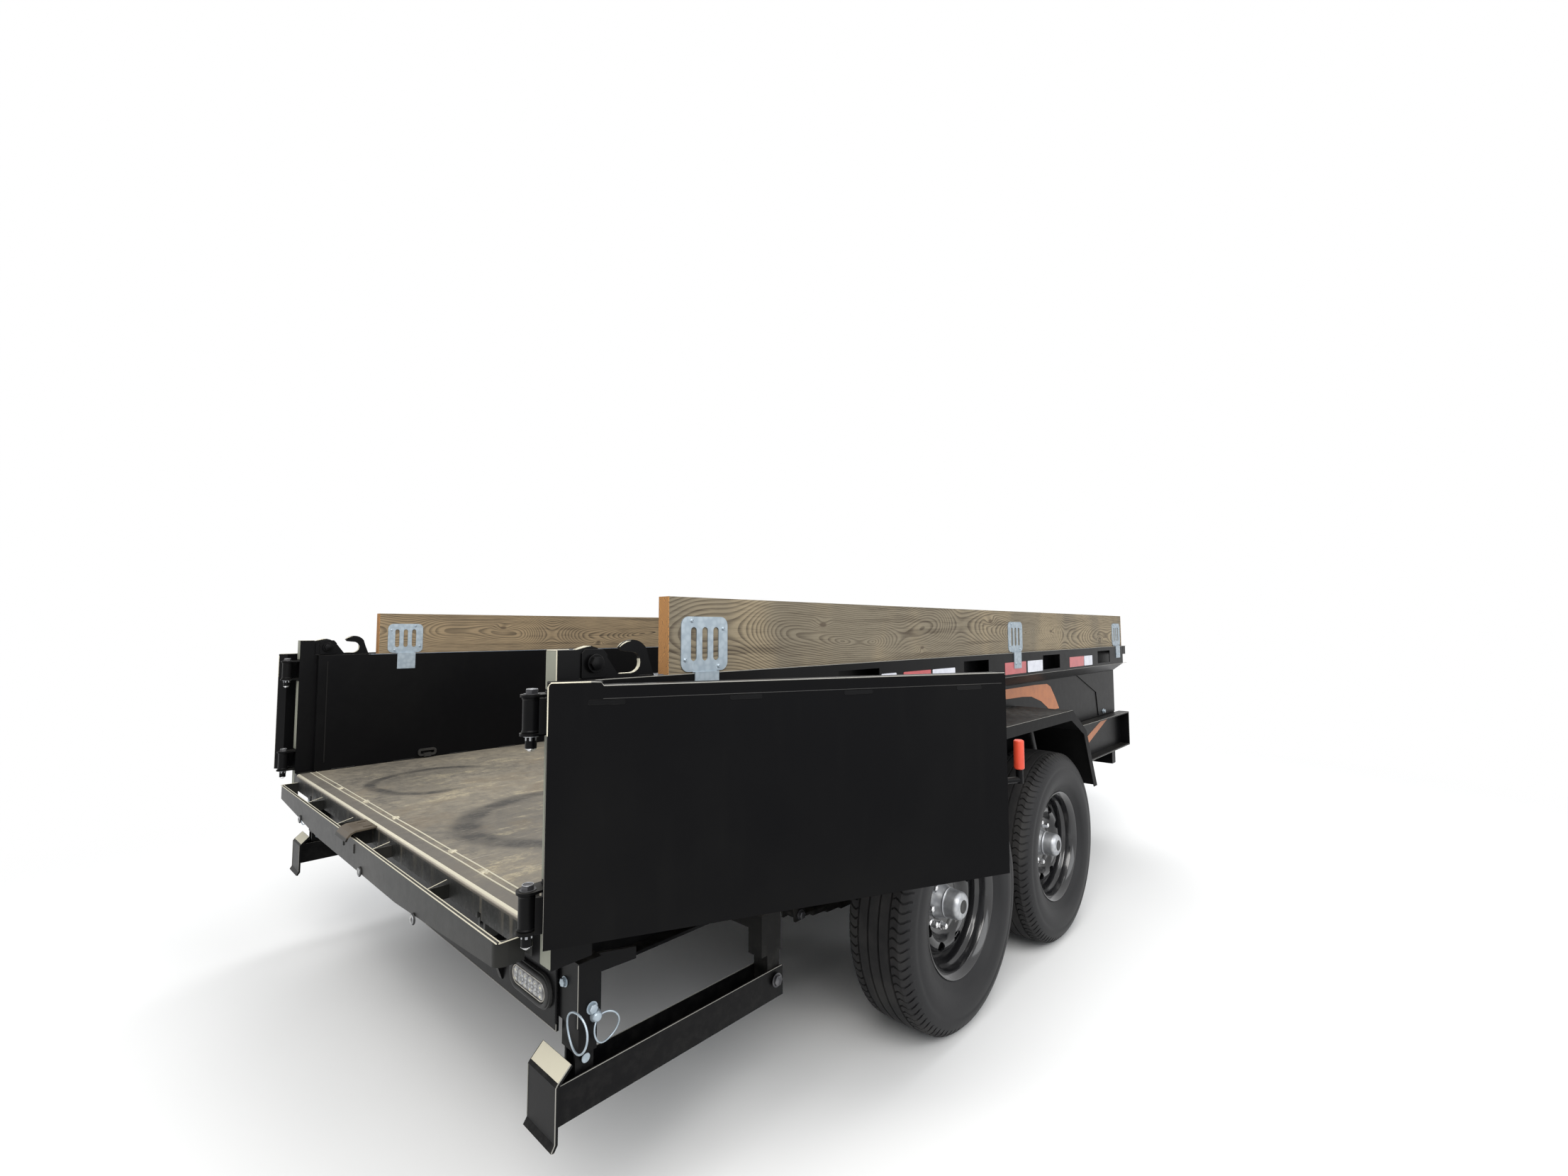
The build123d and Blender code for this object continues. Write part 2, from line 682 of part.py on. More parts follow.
# Station and height over the chassis of the gusset plate ahead of each stabiliser tube
post_gusset = ((post_tube_front - over, 16), (gusset_front, -3), (gusset_front, -28),
               (post_tube_front - over, -24))
with BuildPart() as rear_panel:
    block((at(panel_station), at(panel_station + panel_thickness)), (-panel_half, panel_half),
          (panel_bottom, panel_top))
    block((at(panel_station), at(frame_start)), (-panel_half, panel_half),
          (panel_top - panel_thickness, panel_top))
    for side in (-1, 1):
        with BuildSketch(Plane.XZ.offset(-side * ear_half - ear_thickness / 2)):
            with BuildLine():
                Polyline(
                    (at(tilt_pivot_station - ear_radius), tilt_pivot_height),
                    (at(tilt_pivot_station + ear_radius), tilt_pivot_height),
                    (at(panel_station + hinge_ear_reach), panel_top - 2 * over),
                    (at(panel_station + hinge_ear_reach), panel_bottom + hinge_ear_foot),
                    (at(panel_station - 2 * over), panel_bottom + hinge_ear_foot),
                    close=True,
                )
            make_face()
            with Locations((at(tilt_pivot_station), tilt_pivot_height)):
                Circle(ear_radius)
                Circle(pivot_radius + pin_play, mode=Mode.SUBTRACT)
        extrude(amount=ear_thickness)
        with BuildSketch(Plane.YZ.offset(at(panel_station - over))):
            with Locations((side * lamp_half_place, lamp_middle)):
                SlotOverall(lamp_length, lamp_height)
        extrude(amount=panel_thickness + 2 * over, mode=Mode.SUBTRACT)
        outer = side * stabiliser_half
        inner = side * (stabiliser_half - post_tube_width)
        block((at(stabiliser_post_station), at(post_tube_front)), (inner, outer),
              (post_tube_low, post_tube_top))
        block((at(stabiliser_post_station + tube_wall), at(post_tube_front - tube_wall)),
              (inner + side * tube_wall, outer - side * tube_wall),
              (post_tube_low - over, post_tube_top - tube_wall), mode=Mode.SUBTRACT)
        block((at(post_tube_front - post_web), at(post_tube_front)), (side * frame_half, inner),
              (post_tube_low, panel_top))
        block((at(frame_start - post_web), at(frame_start)),
              (side * rail_web_outer, side * panel_half), (panel_bottom, panel_top - panel_thickness / 2))
        with BuildSketch(Plane.XZ.offset(-side * (stabiliser_half - gusset_inset))):
            with BuildLine():
                Polyline(*[(at(x), frame_top + z) for x, z in post_gusset], close=True)
            make_face()
        extrude(amount=side * post_web)
save(rear_panel.part, "rear_panel")

# Tail lamps in rubber grommets, like pieces in one node
grommet_rim = 14
grommet_proud = 7
grommet_gap = 0.3
lamp_depth = 34
lamp_play = 1
with BuildPart() as lamps:
    for side in (-1, 1):
        with BuildSketch(Plane.YZ.offset(at(panel_station - grommet_proud))):
            with Locations((side * lamp_half_place, lamp_middle)):
                SlotOverall(lamp_length - lamp_play, lamp_height - lamp_play)
        extrude(amount=lamp_depth)
        with BuildSketch(Plane.YZ.offset(at(panel_station - grommet_proud))):
            with Locations((side * lamp_half_place, lamp_middle)):
                SlotOverall(lamp_length + grommet_rim, lamp_height + grommet_rim)
        extrude(amount=grommet_proud - grommet_gap)
save(lamps.part, "tail_lamps")

# Spring hangers, with the rocking equaliser between the two axles
spring_inset = 25
spring_width = 45
spring_leaf = 8
spring_leaves = 4
leaf_overlap = 0.5
leaf_share = 0.2
spring_reach = 380
eye_drop = 14
eye_radius = 17
spring_pin = 9
hanger_thickness = 8
hanger_top_half = 32
hanger_middle_half = 60
hanger_foot_half = 22
hanger_foot_drop = 20
side_play = 0.4
equaliser_half = 62
equaliser_end_low = 18
equaliser_end_high = 14
equaliser_middle = 26
equaliser_reach = 60
spring_half = frame_half - spring_inset
eye_height = wheel_radius - eye_drop
axle_under = wheel_radius - axle_radius
axle_stations = (rear_axle_station, rear_axle_station + axle_spacing)
between_axles = rear_axle_station + axle_spacing / 2
hanger_stations = (rear_axle_station - spring_reach, between_axles, axle_stations[1] + spring_reach)
with BuildPart() as hangers:
    for side in (-1, 1):
        for station in hanger_stations:
            wide = hanger_middle_half if station == between_axles else hanger_top_half
            for face in (-1, 1):
                near = side * spring_half + face * (spring_width / 2 + side_play)
                with BuildSketch(Plane.XZ.offset(-near)):
                    with BuildLine():
                        Polyline(
                            (at(station - wide), frame_bottom),
                            (at(station + wide), frame_bottom),
                            (at(station + hanger_foot_half), eye_height - hanger_foot_drop),
                            (at(station - hanger_foot_half), eye_height - hanger_foot_drop),
                            close=True,
                        )
                    make_face()
                extrude(amount=-face * hanger_thickness)
            reach = spring_width / 2 + hanger_thickness
            rod((at(station), side * spring_half - reach, eye_height),
                (at(station), side * spring_half + reach, eye_height), spring_pin)
save(hangers.part, "spring_hangers")
with BuildPart() as equalisers:
    for side in (-1, 1):
        with BuildSketch(Plane.XZ.offset(-side * spring_half + spring_width / 2 - 2)):
            with BuildLine():
                Polyline(
                    (at(between_axles - equaliser_half), eye_height - equaliser_end_low),
                    (at(between_axles), eye_height - equaliser_middle),
                    (at(between_axles + equaliser_half), eye_height - equaliser_end_low),
                    (at(between_axles + equaliser_half), eye_height + equaliser_end_high),
                    (at(between_axles), eye_height + equaliser_middle),
                    (at(between_axles - equaliser_half), eye_height + equaliser_end_high),
                    close=True,
                )
            make_face()
            with Locations((at(between_axles), eye_height)):
                Circle(spring_pin + side_play, mode=Mode.SUBTRACT)
        extrude(amount=-(spring_width - 4))
        for end in (-1, 1):
            slot_start = between_axles + end * (equaliser_half - equaliser_middle)
            slot_half = spring_width / 2 - 6
            block((at(slot_start), at(slot_start + end * equaliser_reach)),
                  (side * spring_half - slot_half, side * spring_half + slot_half),
                  (eye_height - 2 * equaliser_middle, eye_height + 2 * equaliser_middle), mode=Mode.SUBTRACT)
save(equalisers.part, "equalisers")


def leaf_spring(station, side, rear_reach, front_reach):
    """Arched stack of leaves under an axle with an eye at each end of the main leaf."""
    low_face = side * spring_half - spring_width / 2
    eye_inset = 8
    for leaf in range(spring_leaves):
        share = 1 - leaf_share * leaf
        rear = station - rear_reach * share
        front = station + front_reach * share
        under = axle_under - leaf_overlap - (leaf + 1) * spring_leaf
        rise = (eye_height - eye_radius - axle_under + spring_leaf) * share * share
        thickness = spring_leaf + leaf_overlap
        with BuildSketch(Plane.XZ.offset(-low_face - spring_width)) as outline:
            with BuildLine():
                Polyline((at(rear), under + rise), (at(rear), under + rise + thickness))
                ThreePointArc((at(rear), under + rise + thickness), (at(station), under + thickness),
                              (at(front), under + rise + thickness))
                Line((at(front), under + rise + thickness), (at(front), under + rise))
                ThreePointArc((at(front), under + rise), (at(station), under), (at(rear), under + rise))
            make_face()
        extrude(outline.sketch, amount=spring_width)
    for end in (station - rear_reach, station + front_reach):
        inset = eye_inset if end in (between_axles - equaliser_half, between_axles + equaliser_half) else 0
        rod((at(end), low_face + inset, eye_height), (at(end), low_face + spring_width - inset, eye_height),
            eye_radius)
        if inset:
            for edge in (low_face, low_face + spring_width):
                inward = inset if edge == low_face else -inset
                block((at(end - equaliser_reach), at(end + equaliser_reach)), (edge, edge + inward),
                      (axle_under, eye_height + equaliser_middle), mode=Mode.SUBTRACT)
        rod((at(end), low_face, eye_height), (at(end), low_face + spring_width, eye_height),
            spring_pin + side_play, mode=Mode.SUBTRACT)


spring_plate_reach = 60
spring_plate_half = 40
spring_plate = 10
with BuildPart() as springs:
    for side in (-1, 1):
        leaf_spring(axle_stations[0], side, spring_reach, axle_spacing / 2 - equaliser_half)
        leaf_spring(axle_stations[1], side, axle_spacing / 2 - equaliser_half, spring_reach)
        for station in axle_stations:
            plate_top = axle_under - spring_leaves * spring_leaf
            block((at(station - spring_plate_reach), at(station + spring_plate_reach)),
                  (side * spring_half - spring_plate_half, side * spring_half + spring_plate_half),
                  (plate_top - spring_plate, plate_top))
save(springs.part, "leaf_springs")

# Straight axle tubes with brake plates and spindles
axle_inset = 178
plate_radius = 160
plate_thickness = 10
spindle_radius = 22
spindle_reach = 60
axle_half = wheel_centre_half - axle_inset
with BuildPart() as axles:
    for station in axle_stations:
        rod((at(station), -axle_half, wheel_radius), (at(station), axle_half, wheel_radius), axle_radius)
        for side in (-1, 1):
            rod((at(station), side * axle_half, wheel_radius),
                (at(station), side * (axle_half + plate_thickness), wheel_radius), plate_radius)
            rod((at(station), side * axle_half, wheel_radius),
                (at(station), side * (wheel_centre_half + spindle_reach), wheel_radius), spindle_radius)
save(axles.part, "axles")

# Wheels: tyre, pressed rim with round hand holes, and hub with its drum and cap
bead_gap = 0.3
flange_half = 88
flange_rise = 18
bead_inset = 8
sidewall_rise = 17
shoulder_inset = 18
shoulder_drop = 22
tread_inset = 34
tread_drop = 4
rim_gauge = 5
flange_gauge = 7
spindle_play = 0.4
drum_radius = 165
drum_gap = 6
drum_wall = 8
cap_reach = 92
cap_radius = 34
hand_holes = 8
hand_hole_radius = 17
hand_hole_circle = 136
hand_hole_start = 10
hand_hole_depth = 70
half_tyre = tyre_width / 2
bead = rim_radius + bead_gap
flange_radius = rim_radius + flange_rise
drum_start = axle_half + plate_thickness + drum_gap
# Distance outboard of the wheel's middle and radius, round the rim's drop well and round its dished disc
rim_well = ((-flange_half, flange_radius), (-flange_half, rim_radius - rim_gauge),
            (-45, rim_radius - rim_gauge), (-35, rim_radius - 24),
            (25, rim_radius - 24), (35, rim_radius - rim_gauge),
            (flange_half, rim_radius - rim_gauge), (flange_half, flange_radius),
            (flange_half - flange_gauge, flange_radius), (flange_half - flange_gauge, rim_radius),
            (32, rim_radius), (22, rim_radius - 19), (-32, rim_radius - 19), (-42, rim_radius),
            (flange_gauge - flange_half, rim_radius), (flange_gauge - flange_half, flange_radius))
rim_disc = ((0, 62), (0, 104), (34, 122), (34, 148), (10, rim_radius - 22), (20, rim_radius - 22), (42, 152),
            (42, 118), (8, 100), (8, 62))


def wheel(name, station, side):
    """Write the three nodes of one wheel."""
    spin = Axis((at(station), 0, wheel_radius), (0, 1, 0))
    profile = Plane(origin=(at(station), 0, wheel_radius), x_dir=(0, side, 0), z_dir=(side, 0, 0))
    middle = wheel_centre_half
    bead_half = flange_half - bead_inset
    belly = (bead + wheel_radius) / 2
    shoulder = half_tyre - shoulder_inset
    tread = half_tyre - tread_inset
    with BuildPart() as tyre:
        with BuildSketch(profile):
            with BuildLine():
                Polyline((middle - bead_half, bead), (middle + bead_half, bead),
                         (middle + bead_half, bead + sidewall_rise))
                ThreePointArc((middle + bead_half, bead + sidewall_rise), (middle + half_tyre, belly),
                              (middle + shoulder, wheel_radius - shoulder_drop))
                Polyline((middle + shoulder, wheel_radius - shoulder_drop),
                         (middle + tread, wheel_radius - tread_drop), (middle, wheel_radius),
                         (middle - tread, wheel_radius - tread_drop),
                         (middle - shoulder, wheel_radius - shoulder_drop))
                ThreePointArc((middle - shoulder, wheel_radius - shoulder_drop), (middle - half_tyre, belly),
                              (middle - bead_half, bead + sidewall_rise))
                Line((middle - bead_half, bead + sidewall_rise), (middle - bead_half, bead))
            make_face()
        revolve(axis=spin)
    save(tyre.part, f"tyre_{name}")
    with BuildPart() as rim:
        with BuildSketch(profile):
            for outline in (rim_well, rim_disc):
                with BuildLine():
                    Polyline(*[(middle + across, radius) for across, radius in outline], close=True)
                make_face()
        revolve(axis=spin)
        hole_plane = Plane(origin=(at(station), side * (middle - hand_hole_start), wheel_radius),
                           x_dir=(1, 0, 0), z_dir=(0, side, 0))
        with BuildSketch(hole_plane):
            with PolarLocations(hand_hole_circle, hand_holes):
                Circle(hand_hole_radius)
        extrude(amount=hand_hole_depth, mode=Mode.SUBTRACT)
    save(rim.part, f"rim_{name}")
    hub_bore = spindle_radius + spindle_play
    with BuildPart() as hub:
        with BuildSketch(profile):
            with BuildLine():
                Polyline(
                    (drum_start, hub_bore),
                    (middle + spindle_reach + 2, hub_bore),
                    (middle + spindle_reach + 2, 0.01),
                    (middle + cap_reach, 0.01),
                    (middle + cap_reach, cap_radius),
                    (middle + cap_reach - drum_wall, cap_radius + drum_wall),
                    (middle + 30, cap_radius + 12),
                    (middle - bead_gap, 58),
                    (middle - bead_gap, drum_radius - 30),
                    (middle - 30, drum_radius),
                    (drum_start, drum_radius),
                    (drum_start, drum_radius - drum_wall),
                    (middle - 30, drum_radius - 2 * drum_wall),
                    (middle - 14, 70),
                    (middle - 40, 52),
                    (drum_start, 46),
                    close=True,
                )
            make_face()
        revolve(axis=spin)
    save(hub.part, f"hub_{name}")


for name, side in sides:
    wheel(f"rear_{name}", axle_stations[0], side)
    wheel(f"front_{name}", axle_stations[1], side)

# Fenders over both wheels of a side, each with its turned down lip and a stay at each foot
fender_inner = wall_outer + moving_gap
fender_flat_reach = 106
fender_knee_reach = 271
fender_end_reach = 391
fender_knee_drop = 106
fender_end_drop = 369
lip_drop = 42
stay_depth = 32
stay_reach = 90
fender_flat_half = axle_spacing / 2 + fender_flat_reach
fender_knee = (axle_spacing / 2 + fender_knee_reach, fender_top - fender_knee_drop)
fender_end = (axle_spacing / 2 + fender_end_reach, fender_top - fender_end_drop)


def fender_outline(inset):
    """Outer line of a fender from its rear foot over the top to its front foot."""
    flat = fender_flat_half - inset * 0.45
    knee_x = fender_knee[0] - inset * 0.8
    end_x = fender_end[0] - inset
    points = [(-end_x, fender_end[1]), (-knee_x, fender_knee[1] - inset * 0.3), (-flat, fender_top - inset),
              (flat, fender_top - inset), (knee_x, fender_knee[1] - inset * 0.3), (end_x, fender_end[1])]
    return [(at(between_axles + x), z) for x, z in points]


for name, side in sides:
    with BuildPart() as fender:
        for near, far, depth in ((fender_inner, fender_half, fender_skin),
                                 (fender_half - fender_skin, fender_half, lip_drop)):
            with BuildSketch(Plane.XZ.offset(-side * near)):
                with BuildLine():
                    Polyline(*fender_outline(0), *reversed(fender_outline(depth)), close=True)
                make_face()
            extrude(amount=-side * (far - near))
        for end in (-1, 1):
            foot = between_axles + end * fender_end[0]
            block((at(foot - end * fender_skin), at(foot + end * stay_depth)),
                  (side * rail_seat, side * (fender_inner + stay_reach)),
                  (fender_end[1] - stay_depth, fender_end[1] + stay_depth / 4))
    save(fender.part, f"fender_{name}")

# Side channels ahead of the fenders, each on two brackets from the chassis rail
side_channel_height = 203
side_channel_rise = 82
side_channel_depth = 57
side_channel_gap = 51
side_channel_overlap = 10
channel_wall = 8
channel_bracket = 60
channel_bracket_rise = 20
channel_bracket_inset = 100
side_channel_top = floor_top + side_channel_rise
side_channel_low = side_channel_top - side_channel_height
side_channel_start = between_axles + fender_end[0] + side_channel_gap
side_channel_end = front_of_frame + side_channel_overlap
side_channel_outer = fender_inner + side_channel_depth
for name, side in sides:
    with BuildPart() as channel:
        block((at(side_channel_start), at(side_channel_end)),
              (side * fender_inner, side * side_channel_outer), (side_channel_low, side_channel_top))
        block((at(side_channel_start - over), at(side_channel_end - channel_wall)),
              (side * (fender_inner + channel_wall), side * (side_channel_outer + over)),
              (side_channel_low + channel_wall, side_channel_top - channel_wall), mode=Mode.SUBTRACT)
        for station in (side_channel_start + channel_bracket_inset,
                        side_channel_end - channel_bracket_inset - channel_bracket):
            block((at(station), at(station + channel_bracket)), (side * rail_seat, side * fender_inner),
                  (frame_bottom + channel_bracket_rise, frame_top - frame_flange_thickness))
    save(channel.part, f"side_channel_{name}")

# A frame tongue with its cross beam, jack plate and drilled front plate
tongue_drop_below = 54
tongue_height = 127
tongue_setback = 220
tongue_back_inset = 305
tongue_beam = 75
tongue_nose_half = 68
tongue_nose_inner = 8
tongue_nose_length = 90
cross_beam = 60
jack_plate_half = 200
jack_plate_reach = 60
jack_plate_thickness = 8
front_plate = 12
front_plate_half = 60
front_plate_rise = 50
front_plate_drop = 60
front_plate_hole = 10
tongue_top = frame_top - tongue_drop_below
tongue_bottom = tongue_top - tongue_height
tongue_back_half = frame_half - tongue_back_inset
tongue_front = coupler_nose - tongue_setback
with BuildPart() as tongue:
    back = front_of_frame + cross_beam
    for side in (-1, 1):
        with BuildSketch(Plane.XY.offset(tongue_bottom)):
            with BuildLine():
                Polyline(
                    (at(back), side * tongue_back_half),
                    (at(back), side * (tongue_back_half - tongue_beam)),
                    (at(tongue_front), side * tongue_nose_inner),
                    (at(tongue_front), side * tongue_nose_half),
                    close=True,
                )
            make_face()
        extrude(amount=tongue_height)
    block((at(tongue_front - tongue_nose_length), at(tongue_front)), (-tongue_nose_half, tongue_nose_half),
          (tongue_bottom, tongue_top))
    block((at(front_of_frame), at(back)), (-frame_half, frame_half), (frame_bottom, frame_top))
    block((at(jack_station - jack_plate_reach), at(jack_station + jack_plate_reach)),
          (-jack_plate_half, jack_plate_half), (tongue_top - jack_plate_thickness, tongue_top))
    rod((at(jack_station), 0, tongue_top - jack_plate_thickness - over), (at(jack_station), 0, tongue_top + over),
        jack_radius + bead_gap, mode=Mode.SUBTRACT)
    block((at(tongue_front - over), at(tongue_front + front_plate)), (-front_plate_half, front_plate_half),
          (tongue_bottom - front_plate_drop, tongue_top + front_plate_rise))
    for across in (-front_plate_half / 2, front_plate_half / 2):
        for height in (tongue_bottom - front_plate_drop / 2, tongue_top + front_plate_rise / 2):
            rod((at(tongue_front - over), across, height), (at(tongue_front + front_plate + over), across, height),
                front_plate_hole, mode=Mode.SUBTRACT)
save(tongue.part, "tongue")

# Ball coupler with its seat plate, socket and latch handle
coupler_lift = 10
coupler_height = 96
coupler_half = 45
coupler_radius = 48
coupler_seat = 10
coupler_seat_half = 58
ball_radius = 30
socket_depth = 62
handle_height = 30
handle_half = 10
handle_ends = (190, 100)
coupler_low = tongue_bottom + coupler_lift
coupler_start = tongue_front + front_plate
socket_station = coupler_nose - coupler_radius
with BuildPart() as coupler:
    block((at(coupler_start), at(coupler_start + coupler_seat)), (-coupler_seat_half, coupler_seat_half),
          (coupler_low, coupler_low + coupler_height))
    block((at(coupler_start), at(socket_station - coupler_half + weld_lap)), (-coupler_half, coupler_half),
          (coupler_low, coupler_low + coupler_height))
    with BuildSketch(Plane.XY.offset(coupler_low)):
        with Locations((at(socket_station), 0)):
            Circle(coupler_radius)
        with BuildLine():
            Polyline((at(socket_station - coupler_half), -coupler_half),
                     (at(socket_station), -coupler_radius), (at(socket_station), coupler_radius),
                     (at(socket_station - coupler_half), coupler_half), close=True)
        make_face()
    extrude(amount=coupler_height)
    with BuildSketch(Plane.XY.offset(coupler_low - over)):
        with Locations((at(socket_station), 0)):
            Circle(ball_radius)
    extrude(amount=socket_depth + over, mode=Mode.SUBTRACT)
    block((at(coupler_nose - handle_ends[0]), at(coupler_nose - handle_ends[1])), (-handle_half, handle_half),
          (coupler_low + coupler_height - over, coupler_low + coupler_height + handle_height))
save(coupler.part, "coupler")

# Drop leg jack between the tongue beams
jack_leg_radius = 31
jack_rise = 300
jack_drop = 160
jack_flange = 70
jack_flange_thickness = 10
jack_head_reach = 45
jack_head_half = 38
jack_head_height = 60
jack_cap = 6
crank_radius = 9
crank_reach = 120
crank_arm = 130
crank_grip_radius = 14
crank_grip_length = 87
leg_overlap = 100
foot_half = 75
jack_top = tongue_top + jack_rise
jack_tube_low = tongue_top - jack_drop
crank_height = jack_top + jack_head_height / 2
with BuildPart() as jack_tube:
    rod((at(jack_station), 0, jack_tube_low), (at(jack_station), 0, jack_top), jack_radius)
    block((at(jack_station - jack_flange), at(jack_station + jack_flange)), (-jack_flange, jack_flange),
          (tongue_top, tongue_top + jack_flange_thickness))
    rod((at(jack_station), 0, jack_tube_low - over), (at(jack_station), 0, jack_top - jack_cap),
        jack_leg_radius + leaf_overlap, mode=Mode.SUBTRACT)
    block((at(jack_station - jack_head_reach), at(jack_station + jack_head_reach)),
          (-jack_head_half, jack_head_half), (jack_top, jack_top + jack_head_height))
    rod((at(jack_station), jack_head_half, crank_height), (at(jack_station), crank_reach, crank_height),
        crank_radius)
    rod((at(jack_station), crank_reach - crank_radius, crank_height),
        (at(jack_station + crank_arm), crank_reach - crank_radius, crank_height), crank_radius - over)
    rod((at(jack_station + crank_arm), crank_reach - 2 * crank_radius, crank_height),
        (at(jack_station + crank_arm), crank_reach - 2 * crank_radius + crank_grip_length, crank_height),
        crank_grip_radius)
save(jack_tube.part, "jack_tube")
with BuildPart() as jack_leg:
    rod((at(jack_station), 0, foot_thickness), (at(jack_station), 0, jack_tube_low + leg_overlap),
        jack_leg_radius)
    block((at(jack_station - foot_half), at(jack_station + foot_half)), (-foot_half, foot_half),
          (0, foot_thickness))
save(jack_leg.part, "jack_leg")

# Tool box on the tongue, with a lid on a piano hinge along its edge next to the bed
box_setback = 70
box_length = 560
box_half = 520
box_nose_half = 260
box_height = 450
box_wall = 4
lid_height = 40
lid_gap = 0.5
lid_lap = 12
lid_thick = 3
lid_tube = 6
lid_tube_count = 5
lid_tube_length = 160
lid_tube_gap = 1
lid_pin = 3
lid_tube_back = 7
lid_tube_drop = 7
box_start = front_of_frame + box_setback
box_end = box_start + box_length
box_top = tongue_top + box_height
lid_axis = (at(box_start - lid_tube_back), box_top - lid_tube_drop)


def box_prism(low, high, grow, mode=Mode.ADD):
    """Add the tool box's outline, grown by a distance, between two heights."""
    with BuildSketch(Plane.XY.offset(low)) as outline:
        with BuildLine():
            Polyline((at(box_start), -box_half), (at(box_end), -box_nose_half), (at(box_end), box_nose_half),
                     (at(box_start), box_half), close=True)
        make_face()
        if grow:
            offset(amount=grow, kind=Kind.INTERSECTION)
    extrude(outline.sketch, amount=high - low, mode=mode)


def hinge_tube(number, web_x, web_z):
    """Add one length of the lid's hinge tube and the web that carries it."""
    middle = (number - (lid_tube_count - 1) / 2) * lid_tube_length
    half = lid_tube_length / 2 - lid_tube_gap
    rod((lid_axis[0], middle - half, lid_axis[1]), (lid_axis[0], middle + half, lid_axis[1]), lid_tube)
    block(web_x, (middle - half, middle + half), web_z)


with BuildPart() as tool_box:
    box_prism(tongue_top, box_top, 0)
    box_prism(tongue_top + box_wall, box_top + over, -box_wall, Mode.SUBTRACT)
    for number in range(1, lid_tube_count, 2):
        hinge_tube(number, (lid_axis[0], at(box_start + over)),
                   (lid_axis[1] - lid_tube / 2, lid_axis[1] + lid_tube / 2))
    reach = lid_tube_count * lid_tube_length / 2 - lid_tube
    rod((lid_axis[0], -reach, lid_axis[1]), (lid_axis[0], reach, lid_axis[1]), lid_pin)
save(tool_box.part, "tool_box")
with BuildPart() as lid:
    box_prism(box_top - lid_height, box_top + lid_gap + lid_thick, lid_lap)
    box_prism(box_top - lid_height - over, box_top + lid_gap, lid_lap - lid_thick, Mode.SUBTRACT)
    block((at(box_start - 2 * lid_lap), at(box_start + over)), (-2 * box_half, 2 * box_half),
          (box_top - lid_height - over, box_top + lid_gap), mode=Mode.SUBTRACT)
    for number in range(0, lid_tube_count, 2):
        hinge_tube(number, (lid_axis[0] - lid_tube / 2, lid_axis[0] + lid_tube / 2),
                   (lid_axis[1], box_top + lid_gap + over))
    rod((lid_axis[0], -box_half, lid_axis[1]), (lid_axis[0], box_half, lid_axis[1]), lid_pin + pin_play,
        mode=Mode.SUBTRACT)
save(lid.part, "tool_box_lid")

# Stabiliser arms with their end plates, hung from the chassis inside the channel's front end
arm_width = 64
arm_height = 75
arm_wall = 5
arm_back = 616
arm_front = 29
arm_rise = 48
arm_bolt = 10
lug_half = 22
lug_play = 2
lug_gap = 38
hanger_back = 43
hanger_drop = 60
hanger_depth = 40
end_plate_inner = 74
end_plate_outer = 41
# Distance behind the arm's end and height over its underside of the end plate, kicked foot to turned top
end_plate_outline = ((0, -25), (-8, -37), (-14, -35), (-6, -23), (-6, 81), (-2, 86), (26, 112), (30, 107),
                     (2, 82), (0, 77))
stabiliser_hinge_height = frame_top - stabiliser_hinge_drop
arm_low = stabiliser_hinge_height - arm_rise
arm_high = arm_low + arm_height
arm_middle = stabiliser_half - post_tube_width / 2
with BuildPart() as arm_brackets:
    for side in (-1, 1):
        middle = side * arm_middle
        inside = arm_width / 2 - arm_wall - lug_play
        hanger = (at(stabiliser_hinge_station - hanger_back), at(stabiliser_hinge_station + arm_front))
        hanger_top = frame_top - hanger_drop
        block(hanger, (side * rail_seat, middle + side * inside), (hanger_top - hanger_depth, hanger_top))
        block((at(stabiliser_hinge_station - lug_half), at(stabiliser_hinge_station + lug_half)),
              (middle - inside, middle + inside), (stabiliser_hinge_height, hanger_top - over))
        block(hanger, (middle - inside, middle + inside), (arm_high + lug_gap, hanger_top))
        rod((at(stabiliser_hinge_station), middle - inside, stabiliser_hinge_height),
            (at(stabiliser_hinge_station), middle + inside, stabiliser_hinge_height), lug_half - 0.5)
        reach = arm_width / 2 + arm_wall
        rod((at(stabiliser_hinge_station), middle - reach, stabiliser_hinge_height),
            (at(stabiliser_hinge_station), middle + reach, stabiliser_hinge_height), arm_bolt)
save(arm_brackets.part, "arm_brackets")
for name, side in sides:
    middle = side * arm_middle
    arm_start = stabiliser_hinge_station - arm_back
    with BuildPart() as arm:
        block((at(arm_start), at(stabiliser_hinge_station + arm_front)),
              (middle - arm_width / 2, middle + arm_width / 2), (arm_low, arm_high))
        block((at(arm_start - over), at(stabiliser_hinge_station + arm_front + over)),
              (middle - arm_width / 2 + arm_wall, middle + arm_width / 2 - arm_wall),
              (arm_low + arm_wall, arm_high + over), mode=Mode.SUBTRACT)
        with BuildSketch(Plane.XZ.offset(-middle + side * end_plate_inner)):
            with BuildLine():
                Polyline(*[(at(arm_start + x), arm_low + z) for x, z in end_plate_outline], close=True)
            make_face()
        extrude(amount=-side * (end_plate_inner + end_plate_outer))
        rod((at(stabiliser_hinge_station), middle - arm_width / 2 - over, stabiliser_hinge_height),
            (at(stabiliser_hinge_station), middle + arm_width / 2 + over, stabiliser_hinge_height),
            arm_bolt + pin_play, mode=Mode.SUBTRACT)
    save(arm.part, f"stabiliser_arm_{name}")

